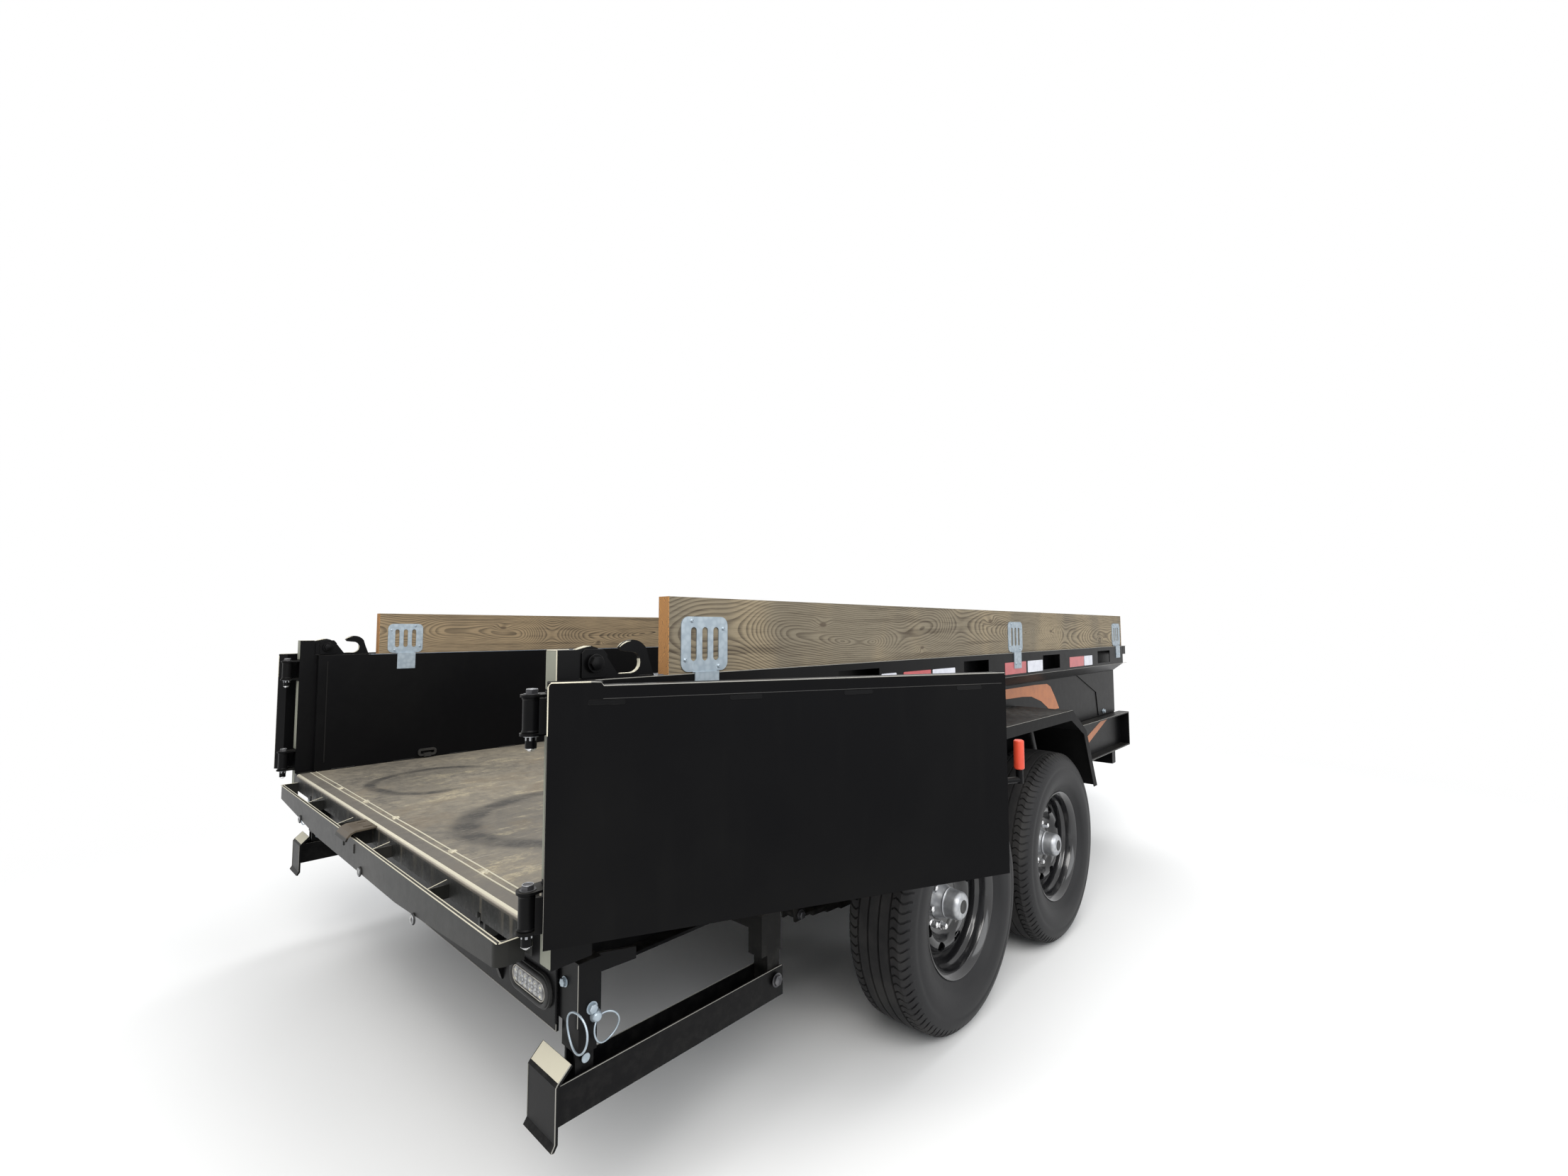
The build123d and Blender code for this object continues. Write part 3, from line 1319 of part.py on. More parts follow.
# Stabiliser legs: a slide in each post tube over two pinned plates that stand in the arm
leg_plate_half = 21
leg_plate = 6
leg_floor_gap = 10
leg_pin = 8
leg_pin_rise = 85
leg_pin_head = 4
slide_play = 0.4
slide_drop = 55
slide_top_gap = 9
for name, side in sides:
    middle = side * arm_middle
    centre = stabiliser_post_station + post_tube_depth / 2
    leg_half = post_tube_width / 2 - tube_wall - slide_play
    leg_deep = post_tube_depth / 2 - tube_wall - slide_play
    leg_low = arm_low + arm_wall + leg_floor_gap
    with BuildPart() as leg:
        for face in (-1, 1):
            block((at(centre - leg_deep), at(centre + leg_deep)),
                  (middle + face * leg_plate_half, middle + face * (leg_plate_half - leg_plate)),
                  (leg_low, post_tube_low - 2 * over))
        reach = leg_plate_half + leg_pin_head
        rod((at(centre), middle - reach, leg_low + leg_pin_rise),
            (at(centre), middle + reach, leg_low + leg_pin_rise), leg_pin)
        block((at(centre - leg_deep), at(centre + leg_deep)), (middle - leg_half, middle + leg_half),
              (post_tube_low - slide_drop, post_tube_top - tube_wall - slide_top_gap))
    save(leg.part, f"stabiliser_leg_{name}")

# Hoist cylinder: barrel on the chassis and rod to the bed
barrel_outer = 42
barrel_bore = 32.5
barrel_eye = 28
barrel_eye_half = 40
barrel_front_gap = 110
rod_radius = 32
rod_eye = 30
rod_eye_half = 28
rod_start = 90
hoist_run = (hoist_rod_station - hoist_base_station, hoist_rod_height - hoist_base_height)
hoist_length = hypot(*hoist_run)
hoist_way = (hoist_run[0] / hoist_length, hoist_run[1] / hoist_length)


def on_hoist(distance):
    """Point on the hoist's centre line at a distance from its lower pin."""
    return (at(hoist_base_station + hoist_way[0] * distance), 0, hoist_base_height + hoist_way[1] * distance)


with BuildPart() as hoist_barrel:
    rod((at(hoist_base_station), -barrel_eye_half, hoist_base_height),
        (at(hoist_base_station), barrel_eye_half, hoist_base_height), barrel_eye)
    rod(on_hoist(barrel_eye - 8), on_hoist(hoist_length - barrel_front_gap), barrel_outer)
    rod(on_hoist(rod_start - 30), on_hoist(hoist_length - barrel_front_gap + 10), barrel_bore,
        mode=Mode.SUBTRACT)
    rod((at(hoist_base_station), -barrel_eye_half - over, hoist_base_height),
        (at(hoist_base_station), barrel_eye_half + over, hoist_base_height), hoist_pin + pin_play,
        mode=Mode.SUBTRACT)
save(hoist_barrel.part, "hoist_barrel")
with BuildPart() as hoist_rod:
    rod(on_hoist(rod_start), on_hoist(hoist_length - 20), rod_radius)
    rod((at(hoist_rod_station), -rod_eye_half, hoist_rod_height),
        (at(hoist_rod_station), rod_eye_half, hoist_rod_height), rod_eye)
save(hoist_rod.part, "hoist_rod")
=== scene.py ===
"""Looks of a tandem axle dump trailer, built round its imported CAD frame.

Lengths are in metres. X runs forward to the coupler, Y to the left and Z up from the ground.
Stations are measured forward from the rear edge of the bed floor.
"""
from __future__ import annotations

import logging
import math
from dataclasses import dataclass, field
from enum import Enum
from typing import Callable, Sequence, Union

import bmesh
import bpy
from mathutils import Matrix, Vector


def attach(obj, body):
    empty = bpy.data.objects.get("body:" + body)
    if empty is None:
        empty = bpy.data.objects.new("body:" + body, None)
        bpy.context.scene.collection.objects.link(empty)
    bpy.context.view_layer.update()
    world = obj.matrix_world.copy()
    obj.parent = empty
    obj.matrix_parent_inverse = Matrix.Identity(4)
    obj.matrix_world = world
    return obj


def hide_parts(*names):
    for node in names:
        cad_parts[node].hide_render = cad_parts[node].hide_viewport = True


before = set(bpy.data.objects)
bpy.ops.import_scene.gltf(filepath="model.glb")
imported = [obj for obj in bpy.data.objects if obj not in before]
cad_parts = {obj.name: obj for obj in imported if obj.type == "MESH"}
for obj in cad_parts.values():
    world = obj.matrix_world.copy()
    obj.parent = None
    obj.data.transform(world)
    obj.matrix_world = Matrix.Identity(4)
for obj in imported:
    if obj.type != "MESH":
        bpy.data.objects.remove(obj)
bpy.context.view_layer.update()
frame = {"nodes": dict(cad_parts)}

LOG = logging.getLogger("dump_trailer")
FLOOR_REAR = -2.670
RAIL_TOP = 1.196
WHEEL_RADIUS = 0.386
AXLE_STATIONS = {"rear": 1.38, "front": 2.218}
LAMP_HALF_Y = 0.930
LAMP_HEIGHT = 0.5395
Point = tuple[float, float, float]
Flat = tuple[float, float]
Colour = tuple[float, float, float]


def at(station: float) -> float:
    """X of a station measured forward from the rear edge of the bed floor."""
    return FLOOR_REAR + station


class Side(Enum):
    """The two sides of the trailer, with the sign of their Y."""

    RIGHT = -1
    LEFT = 1

    @property
    def label(self) -> str:
        """The side's name as the CAD nodes spell it."""
        return self.name.lower()

    def spot(self, station: float, reach: float, high: float) -> Point:
        """Point of the trailer at a distance out to this side."""
        return (at(station), self.value * reach, high)

    def out(self, way: int = 1) -> Point:
        """Direction out to this side, or in where way is minus one."""
        return (0, self.value * way, 0)


class Slot(str, Enum):
    """The record's material slots, named in the calls that make pieces."""

    RUBBER = "tyre_rubber"
    WHEEL = "wheel_paint"
    HUB = "hub_casting"
    ZINC = "zinc_plate"
    FLOOR = "worn_floor_steel"
    LAMP = "lamp_lens"
    CHROME = "chromed_rod"
    PAINT = "satin_black_paint"


class Value:
    """A number that varies over a surface: a node socket with Python's operators."""

    def __init__(self, nodes: Nodes, socket: bpy.types.NodeSocket) -> None:
        """Wrap a socket of a node tree.

        Args:
            nodes: The tree that owns the socket.
            socket: The output socket that carries the number.
        """
        self.nodes = nodes
        self.socket = socket

    def _join(self, operation: str, first: Number, second: Number) -> Value:
        """Add a Math node.

        Args:
            operation: Blender's name of the operation.
            first: The left operand.
            second: The right operand.

        Returns:
            The node's result.
        """
        node = self.nodes.make("ShaderNodeMath", {"operation": operation}, {0: first, 1: second})
        return Value(self.nodes, node.outputs[0])

    def __add__(self, other: Number) -> Value:
        """Sum."""
        return self._join("ADD", self, other)

    __radd__ = __add__

    def __sub__(self, other: Number) -> Value:
        """Difference."""
        return self._join("SUBTRACT", self, other)

    def __rsub__(self, other: Number) -> Value:
        """Difference from a plain number."""
        return self._join("SUBTRACT", other, self)

    def __mul__(self, other: Number) -> Value:
        """Product."""
        return self._join("MULTIPLY", self, other)

    __rmul__ = __mul__

    def __truediv__(self, other: Number) -> Value:
        """Quotient."""
        return self._join("DIVIDE", self, other)

    def __abs__(self) -> Value:
        """Size without sign."""
        return self._join("ABSOLUTE", self, 0.0)

    def least(self, other: Number) -> Value:
        """The smaller of two numbers."""
        return self._join("MINIMUM", self, other)

    def greatest(self, other: Number) -> Value:
        """The larger of two numbers."""
        return self._join("MAXIMUM", self, other)

    def root(self) -> Value:
        """Square root."""
        return self._join("SQRT", self, 0.0)

    def sine(self) -> Value:
        """Sine of an angle in radians."""
        return self._join("SINE", self, 0.0)

    def wrap(self, span: float) -> Value:
        """Distance into the repeat of a length that recurs."""
        return self._join("FLOORED_MODULO", self, span)

    def rise(self, low: float, high: float) -> Value:
        """Smooth step.

        Args:
            low: Where the step starts, at 0.
            high: Where the step ends, at 1. It may be below low.

        Returns:
            A number from 0 to 1.
        """
        node = self.nodes.make(
            "ShaderNodeMapRange",
            {"interpolation_type": "SMOOTHSTEP"},
            {"Value": self, "From Min": low, "From Max": high, "To Min": 0.0, "To Max": 1.0},
        )
        return Value(self.nodes, node.outputs[0])

    def band(self, low: float, high: float, soft: float) -> Value:
        """One between two limits and nought outside, with soft edges."""
        return self.rise(low - soft, low + soft) * self.rise(high + soft, high - soft)


Number = Union[Value, float]
Feed = Union[Value, bpy.types.NodeSocket, float, Sequence[float]]


class Nodes:
    """A node tree, all of whose nodes come from one method."""

    def __init__(self, tree: bpy.types.NodeTree) -> None:
        """Start an empty tree.

        Args:
            tree: The tree of a material or a world.
        """
        self.tree = tree
        tree.nodes.clear()

    def make(
        self,
        kind: str,
        settings: dict[str, object] | None = None,
        sockets: dict[Union[str, int], Feed] | None = None,
    ) -> bpy.types.Node:
        """Add a node.

        Args:
            kind: Blender's type of the node.
            settings: The node's own settings, set first.
            sockets: Values or links of its input sockets, by name or index.

        Returns:
            The new node.
        """
        node = self.tree.nodes.new(kind)
        for key, setting in (settings or {}).items():
            setattr(node, key, setting)
        for key, feed in (sockets or {}).items():
            self.feed(node.inputs[key], feed)
        return node

    def feed(self, socket: bpy.types.NodeSocket, feed: Feed) -> None:
        """Link or set one input socket.

        Args:
            socket: The input socket.
            feed: A varying value, an output socket, or a constant.
        """
        if isinstance(feed, Value):
            self.tree.links.new(feed.socket, socket)
        elif isinstance(feed, bpy.types.NodeSocket):
            self.tree.links.new(feed, socket)
        elif isinstance(feed, (int, float)):
            socket.default_value = feed
        else:
            wanted = len(socket.default_value)
            socket.default_value = tuple(feed) + (1.0,) * (wanted - len(feed))

    def seen(self) -> Value:
        """One where the camera or a mirror sees a surface, and nought where it only gives light."""
        path = self.make("ShaderNodeLightPath")
        rays = (f"Is {ray} Ray" for ray in ("Camera", "Glossy", "Transmission"))
        camera, glossy, through = (Value(self, path.outputs[ray]) for ray in rays)
        return camera.greatest(glossy).greatest(through)


class Shader(Nodes):
    """The node tree of one material, with a Principled surface."""

    def __init__(self, name: str) -> None:
        """Start a material.

        Args:
            name: The material's name.
        """
        self.material = bpy.data.materials.new(name)
        self.material.use_nodes = True
        super().__init__(self.material.node_tree)
        self.surface = self.make("ShaderNodeBsdfPrincipled")
        self.output = self.make(
            "ShaderNodeOutputMaterial", {}, {"Surface": self.surface.outputs[0]}
        )
        self.coordinates = self.make("ShaderNodeTexCoord")

    def paint(self, **sockets: Feed) -> None:
        """Feed the Principled surface. A name's underscores stand for spaces.

        Args:
            **sockets: Values or links by socket name, such as base_color or roughness.
        """
        for key, feed in sockets.items():
            name = " ".join(
                word.upper() if word == "ior" else word.capitalize() for word in key.split("_")
            )
            self.feed(self.surface.inputs[name], feed)

    def axes(self, kind: str = "Object") -> tuple[Value, Value, Value]:
        """X, Y and Z of the surface in metres in the trailer's frame, or of its normal."""
        node = self.make("ShaderNodeSeparateXYZ", {}, {0: self.coordinates.outputs[kind]})
        return tuple(Value(self, node.outputs[i]) for i in range(3))

    def facing_up(self) -> Value:
        """One on surfaces that face up and minus one on those that face down."""
        return self.axes("Normal")[2]

    def stretched(self, scale: Point) -> bpy.types.NodeSocket:
        """Object coordinates scaled along each axis."""
        places = self.coordinates.outputs["Object"]
        return self.make("ShaderNodeMapping", {}, {"Vector": places, "Scale": scale}).outputs[0]

    def noise(
        self,
        scale: float,
        detail: float = 2.0,
        stretch: Point = (1.0, 1.0, 1.0),
        rough: float = 0.5,
        twist: float = 0.0,
    ) -> Value:
        """Noise from 0 to 1.

        Args:
            scale: Features in a metre.
            detail: Number of finer layers.
            stretch: Scale along each axis.
            rough: Strength of the finer layers.
            twist: Distortion.

        Returns:
            The noise.
        """
        node = self.make(
            "ShaderNodeTexNoise",
            {},
            {
                "Vector": self.stretched(stretch),
                "Scale": scale,
                "Detail": detail,
                "Roughness": rough,
                "Distortion": twist,
            },
        )
        return Value(self, node.outputs["Fac"])

    def cells(self, scale: float, feature: str = "F1") -> Value:
        """Distance in a field of cells."""
        places = self.stretched((1.0, 1.0, 1.0))
        node = self.make(
            "ShaderNodeTexVoronoi", {"feature": feature}, {"Vector": places, "Scale": scale}
        )
        return Value(self, node.outputs["Distance"])

    def mix(self, first: Feed, second: Feed, share: Number) -> bpy.types.NodeSocket:
        """Colour between two colours."""
        node = self.make("ShaderNodeMix", {"data_type": "RGBA"}, {0: share, 6: first, 7: second})
        return node.outputs[2]

    def bump(self, height: Value, strength: float, depth: float = 0.001) -> bpy.types.NodeSocket:
        """Normal of a surface that a height disturbs.

        Args:
            height: The height.
            strength: Share of the effect.
            depth: Height in metres that a value of 1 stands for.

        Returns:
            The normal.
        """
        node = self.make(
            "ShaderNodeBump", {}, {"Strength": strength, "Distance": depth, "Height": height}
        )
        return node.outputs[0]


@dataclass(frozen=True)
class BlackPaint:
    """Black paint on steel, with its orange peel, a veil of dust, runs and caked mud.

    The mud starts at the height caked, and splashes from the road at the lower edge.
    """

    name: str
    colour: Colour = (0.0024, 0.0024, 0.0028)
    worn: Colour = (0.0055, 0.0054, 0.0053)
    dust: Colour = (0.135, 0.128, 0.115)
    roughness: float = 0.3
    dusty: float = 0.3
    peel: float = 0.12
    splash: float = 0.06
    gloss: float = 0.09
    cake: Colour = (0.115, 0.092, 0.066)
    caked: float = 9.0

    def material(self) -> bpy.types.Material:
        """Build the material."""
        shader = Shader(self.name)
        _, _, high = shader.axes()
        cloud = shader.noise(2.2, 4.0)
        fine = shader.noise(38.0, 5.0, rough=0.65)
        grit = shader.noise(420.0, 2.0)
        settled = shader.facing_up().rise(0.35, 0.95) * (0.35 + cloud.rise(0.35, 0.7) * 0.65)
        low = high.rise(0.62, 0.18) * self.splash
        veil = (
            settled * self.dusty * fine.rise(0.25, 0.75) + low * fine.rise(0.4, 0.7)
        ).least(0.85)
        runs = shader.noise(9.0, 4.0, (2.2, 2.2, 0.35)).rise(0.55, 0.8) * 0.5
        body = shader.mix(
            self.colour, self.worn, (cloud.rise(0.4, 0.75) * 0.6 + runs * 0.4).least(1.0)
        )
        cake = high.rise(self.caked, self.caked + 0.006) * (0.45 + fine * 0.4)
        shader.paint(
            base_color=shader.mix(shader.mix(body, self.dust, veil), self.cake, cake),
            roughness=(self.roughness + fine * 0.12 + runs * 0.06 + veil * 0.45).least(0.95),
            normal=shader.bump(grit * 0.4 + shader.noise(150.0, 2.0) * 0.6, self.peel, 0.0006),
            specular_ior_level=self.gloss,
        )
        return shader.material


@dataclass(frozen=True)
class WornFloor:
    """Bed floor steel under dried dust, with curved tyre scuffs, scratches and a painted highlight
    along the rear nose.
    """

    name: str
    steel: Colour = (0.092, 0.084, 0.073)
    dust: Colour = (0.215, 0.187, 0.138)
    dark: Colour = (0.024, 0.022, 0.02)
    paint: Colour = (0.012, 0.0125, 0.0115)
    # Pale colour of the floor's rounded rear nose: a painted highlight.
    nose: Colour = (0.52, 0.47, 0.39)
    nose_end: float = 0.003
    sand: Colour = (0.36, 0.31, 0.205)
    brown: Colour = (0.125, 0.098, 0.066)
    dull_end: float = 0.043
    paint_top: float = 0.694
    # Each scuff's centre as station and Y, its radius and width, and the way its arc bulges
    scuffs: tuple[tuple[float, float, float, float, float], ...] = (
        (0.47, -0.33, 0.325, 0.05, 155.0),
        (0.38, 0.49, 0.235, 0.028, 150.0),
        (1.32, -0.42, 0.36, 0.03, 200.0),
        (2.5, 0.1, 0.42, 0.035, 120.0),
    )

    def material(self) -> bpy.types.Material:
        """Build the material."""
        shader = Shader(self.name)
        ahead, across, high = shader.axes()
        cloud = shader.noise(1.7, 5.0, rough=0.6)
        fine = shader.noise(24.0, 6.0, rough=0.7)
        back = ahead - FLOOR_REAR
        # A strip along the rear edge, up to the seam, is mixed back to the darker steel colour.
        darker_rear_strip = back.rise(self.dull_end + 0.012, self.dull_end - 0.006)
        nosing_highlight = back.rise(self.nose_end + 0.003, self.nose_end - 0.002) * high.rise(0.697, 0.7035)
        apron = high.rise(self.paint_top + 0.0015, self.paint_top - 0.0015)
        drips = shader.noise(26.0, 5.0, (0.3, 1.0, 0.06), 0.75).rise(0.5, 0.72)
        streak = shader.noise(14.0, 4.0, (0.5, 3.0, 1.0), 0.6)
        grit = shader.noise(300.0, 3.0)
        speckle = shader.noise(75.0, 6.0, (0.6, 1.4, 1.0), 0.82)
        dusty = (
            cloud.rise(0.34, 0.62) * 0.45
            + fine.rise(0.36, 0.64) * 0.35
            + speckle.rise(0.38, 0.62) * 0.3
            + streak.rise(0.5, 0.8) * 0.2
        ).least(1.0)
        body = shader.mix(self.steel, self.dust, dusty)
        body = shader.mix(
            body,
            self.brown,
            shader.noise(3.4, 5.0, rough=0.68).rise(0.5, 0.68) * (0.35 + speckle * 0.6),
        )
        body = shader.mix(
            body,
            self.sand,
            shader.noise(
                6.5, 5.0, (0.7, 1.3, 1.0), 0.72
            ).rise(0.54, 0.66) * speckle.rise(0.36, 0.6) * 0.8,
        )
        mark = None
        for station, side, radius, width, turn in self.scuffs:
            along, aside = ahead - at(station), across - side
            away = (along * along + aside * aside).root()
            uneven = (shader.noise(2.4, 3.0) - 0.5) * 0.16
            gap = away + uneven - radius
            ring = abs(gap).rise(width * 1.2, width * 0.3) + gap.band(-radius, 0.0, width) * 0.34
            toward = along * math.cos(math.radians(turn)) + aside * math.sin(math.radians(turn))
            ring = ring * (toward / away.greatest(0.01)).rise(-0.75, -0.1)
            mark = ring if mark is None else mark.greatest(ring)
        treads = ((across * 46.0 + ahead * 20.0).sine() * 0.5 + 0.5) * 0.3 + 0.7
        mark = mark * (0.45 + fine.rise(0.3, 0.62) * 0.55) * treads
        scratch = shader.noise(60.0, 2.0, (0.12, 1.6, 1.0), 0.8, 0.6).rise(0.62, 0.72)
        hair = shader.noise(150.0, 2.0, (1.7, 0.1, 1.0), 0.8, 0.5).rise(0.63, 0.7)
        marked = shader.mix(body, self.dark, (mark * 0.9).least(0.92))
        marked = shader.mix(marked, (0.36, 0.32, 0.26), scratch * 0.3)
        marked = shader.mix(marked, self.dark, hair * 0.3)
        marked = shader.mix(marked, self.steel, darker_rear_strip * (0.55 + fine * 0.3))
        # Paint the rear nose pale as a highlight.
        marked = shader.mix(marked, self.nose, nosing_highlight * (0.7 + fine * 0.3))
        painted = shader.mix(self.paint, self.dust, drips * 0.42 * high.rise(0.62, 0.69))
        shader.paint(
            base_color=shader.mix(marked, painted, apron),
            roughness=(0.52 + dusty * 0.3 - scratch * 0.15 - apron * 0.2),
            metallic=((0.35 - dusty * 0.3).greatest(0.0) * (1.0 - apron)),
            normal=shader.bump(grit * 0.3 + fine * 0.7, 0.35, 0.0012),
        )
        return shader.material


@dataclass(frozen=True)
class TreatedPine:
    """Pressure treated pine: growth bands, knots, streaks, a warm inner face and orange ends."""

    name: str
    heart: Flat = (1.012, 1.288)
    pale: Colour = (0.265, 0.213, 0.135)
    grey: Colour = (0.175, 0.148, 0.103)
    warm: Colour = (0.3, 0.2, 0.1)
    late: Colour = (0.045, 0.031, 0.017)
    knot: Colour = (0.045, 0.027, 0.015)
    end: Colour = (0.42, 0.2, 0.06)
    # Each knot's station, height and radius
    knots: tuple[tuple[float, float, float], ...] = (
        (0.86, 1.315, 0.008),
        (1.42, 1.235, 0.006),
        (1.97, 1.335, 0.009),
        (2.63, 1.29, 0.007),
        (3.37, 1.245, 0.008),
    )

    def material(self) -> bpy.types.Material:
        """Build the material."""
        shader = Shader(self.name)
        ahead, across, high = shader.axes()
        lean = (shader.noise(1.7, 1.0, (1.0, 1.0, 0.2)) - 0.5) * 0.34
        side = abs(across) - self.heart[0] + lean
        up = high - self.heart[1] + (shader.noise(1.1, 1.0, (1.2, 0.6, 0.2)) - 0.5) * 0.16
        pull = None
        spot = None
        for station, height, size in self.knots:
            along = (ahead - at(station)) * 0.42
            away = (along * along + (high - height) * (high - height)).root()
            near = away.rise(size * 3.6, size * 0.2)
            core = away.rise(size * 1.2, size * 0.5)
            pull = near if pull is None else pull + near
            spot = core if spot is None else spot.greatest(core)
        rings = ((side * side + up * up).root() + pull * 0.012) * 165.0
        wobble = shader.noise(9.0, 3.0, (0.25, 1.0, 1.0)) * 1.5
        band = (rings + wobble).wrap(1.0)
        latewood = band.rise(0.3, 0.88) * band.rise(1.0, 0.92)
        latewood = latewood * (0.45 + shader.noise(5.0, 2.0, (0.2, 1.0, 1.0)) * 0.75)
        streak = shader.noise(34.0, 3.0, (0.035, 1.0, 1.0), 0.6).rise(0.53, 0.66)
        fibre = shader.noise(230.0, 4.0, (0.035, 1.0, 1.0), 0.75)
        cloud = shader.noise(4.2, 4.0, (1.0, 1.0, 0.5))
        body = shader.mix(self.pale, self.grey, cloud.rise(0.34, 0.64))
        inner_left = across.rise(1.06, 1.05) * across.rise(0.9, 1.0)
        body = shader.mix(body, self.warm, inner_left * 0.7)
        body = shader.mix(
            body,
            self.late,
            (latewood * 0.8 + fibre.rise(0.42, 0.78) * 0.46 + streak * 0.34).least(1.0),
        )
        body = shader.mix(body, self.knot, spot * 0.7)
        ends = (abs(ahead - at(2.03)).rise(1.7375, 1.7385))
        curl = (rings * 1.6 + shader.noise(60.0, 3.0) * 5.0).wrap(1.0)
        body = shader.mix(body, shader.mix(self.end, self.late, curl.rise(0.45, 0.9) * 0.75), ends)
        shader.paint(
            base_color=body,
            roughness=0.74 + fibre * 0.16 - latewood * 0.1,
            normal=shader.bump(fibre * 0.6 + latewood * 0.5 - spot * 0.4, 0.4, 0.0008),
        )
        return shader.material


@dataclass(frozen=True)
class TyreRubber:
    """Tyre rubber: dull black tread with dust in it, and smoother sidewalls."""

    name: str
    colour: Colour = (0.0062, 0.0062, 0.0072)
    dust: Colour = (0.06, 0.057, 0.053)

    def material(self) -> bpy.types.Material:
        """Build the material."""
        shader = Shader(self.name)
        ahead, _, high = shader.axes()
        reach = None
        for station in AXLE_STATIONS.values():
            along, up = ahead - at(station), high - WHEEL_RADIUS
            away = (along * along + up * up).root()
            reach = away if reach is None else reach.least(away)
        tread = reach.rise(WHEEL_RADIUS - 0.03, WHEEL_RADIUS - 0.008)
        patches = shader.noise(9.0, 4.0).rise(0.38, 0.7)
        fine = shader.noise(160.0, 3.0, rough=0.7)
        veil = (tread * (0.1 + patches * 0.2) + patches * fine * 0.06).least(0.5)
        shader.paint(
            base_color=shader.mix(self.colour, self.dust, veil),
            roughness=(0.5 + tread * 0.28 + fine * 0.08).least(0.95),
            normal=shader.bump(fine, 0.15, 0.0005),
            specular_ior_level=0.28,
        )
        return shader.material


@dataclass(frozen=True)
class GlossBlack:
    """Gloss black powder coat of the wheels."""

    name: str
    colour: Colour = (0.0075, 0.0075, 0.0085)

    def material(self) -> bpy.types.Material:
        """Build the material."""
        shader = Shader(self.name)
        cloud = shader.noise(14.0, 4.0)
        specks = shader.noise(260.0, 3.0, rough=0.8).rise(0.66, 0.74)
        shader.paint(
            base_color=shader.mix(
                self.colour, (0.1, 0.088, 0.072), specks * 0.4 + cloud.rise(0.5, 0.9) * 0.05
            ),
            roughness=0.13 + cloud * 0.09 + specks * 0.3,
            normal=shader.bump(shader.noise(120.0, 2.0), 0.06, 0.0004),
            coat_weight=0.35 + cloud * 0.1,
            coat_roughness=0.06,
        )
        return shader.material


@dataclass(frozen=True)
class Metal:
    """Bare, plated or cast metal with brushing, spangle and dirt."""

    name: str
    colour: Colour = (0.56, 0.57, 0.58)
    other: Colour = (0.43, 0.45, 0.47)
    dirt: Colour = (0.12, 0.1, 0.08)
    roughness: float = 0.34
    metallic: float = 0.9
    spangle: float = 60.0
    dirty: float = 0.2

    def material(self) -> bpy.types.Material:
        """Build the material."""
        shader = Shader(self.name)
        flakes = shader.cells(self.spangle)
        cloud = shader.noise(12.0, 4.0)
        fine = shader.noise(330.0, 3.0)
        grime = cloud.rise(0.52, 0.82) * self.dirty
        shader.paint(
            base_color=shader.mix(
                shader.mix(self.colour, self.other, flakes.rise(0.2, 0.75)), self.dirt, grime
            ),
            roughness=(self.roughness + flakes * 0.1 + fine * 0.08 + grime * 0.4).least(0.95),
            metallic=self.metallic - grime * 0.6,
            normal=shader.bump(fine * 0.5 + flakes * 0.5, 0.1, 0.0005),
        )
        return shader.material


@dataclass(frozen=True)
class Plastic:
    """Vinyl, rubber or moulded plastic with a slight grain."""

    name: str
    colour: Colour
    shade: Colour
    roughness: float = 0.35
    grain: float = 0.1
    grain_scale: float = 220.0

    def material(self) -> bpy.types.Material:
        """Build the material."""
        shader = Shader(self.name)
        cloud = shader.noise(26.0, 4.0)
        fine = shader.noise(self.grain_scale, 3.0)
        shader.paint(
            base_color=shader.mix(self.colour, self.shade, cloud.rise(0.35, 0.75)),
            roughness=self.roughness + fine * 0.12,
            normal=shader.bump(fine, self.grain, 0.0005),
        )
        return shader.material


@dataclass(frozen=True)
class ReflectiveTape:
    """Conspicuity tape: sealed cells of retroreflective film under a clear face."""

    name: str
    colour: Colour
    shade: Colour

    def material(self) -> bpy.types.Material:
        """Build the material."""
        shader = Shader(self.name)
        walls = shader.cells(210.0, "DISTANCE_TO_EDGE").rise(0.10, 0.03)
        cloud = shader.noise(30.0, 3.0)
        shader.paint(
            base_color=shader.mix(
                shader.mix(self.colour, self.shade, cloud.rise(0.3, 0.8)), self.shade, walls * 0.7
            ),
            roughness=0.24 + cloud * 0.14,
            normal=shader.bump(walls, 0.15, 0.0003),
            coat_weight=0.4 + cloud * 0.1,
        )
        return shader.material


@dataclass(frozen=True)
class LampLens:
    """Clear lens over rows of diode pockets, which read as a silvery grid."""

    name: str
    pitch: float = 0.0225
    squeeze: float = 0.8

    def material(self) -> bpy.types.Material:
        """Build the material."""
        shader = Shader(self.name)
        _, across, high = shader.axes()
        row = self.pitch * self.squeeze
        along = (abs(across) - LAMP_HALF_Y).wrap(self.pitch) / self.pitch - 0.5
        up = (high - LAMP_HEIGHT).wrap(row) / row - 0.5
        away = (along * along + up * up).root()
        pocket = away.rise(0.46, 0.3)
        diode = away.rise(0.17, 0.1)
        silver = shader.mix((0.03, 0.03, 0.032), (0.3, 0.3, 0.29), pocket * (0.25 + away * 1.4))
        shader.paint(
            base_color=shader.mix(silver, (0.6, 0.55, 0.34), diode),
            roughness=0.1 + pocket * 0.12,
            normal=shader.bump(away, 0.9, 0.004),
            coat_weight=0.8 + pocket * 0.1,
            coat_roughness=0.03,
        )
        return shader.material


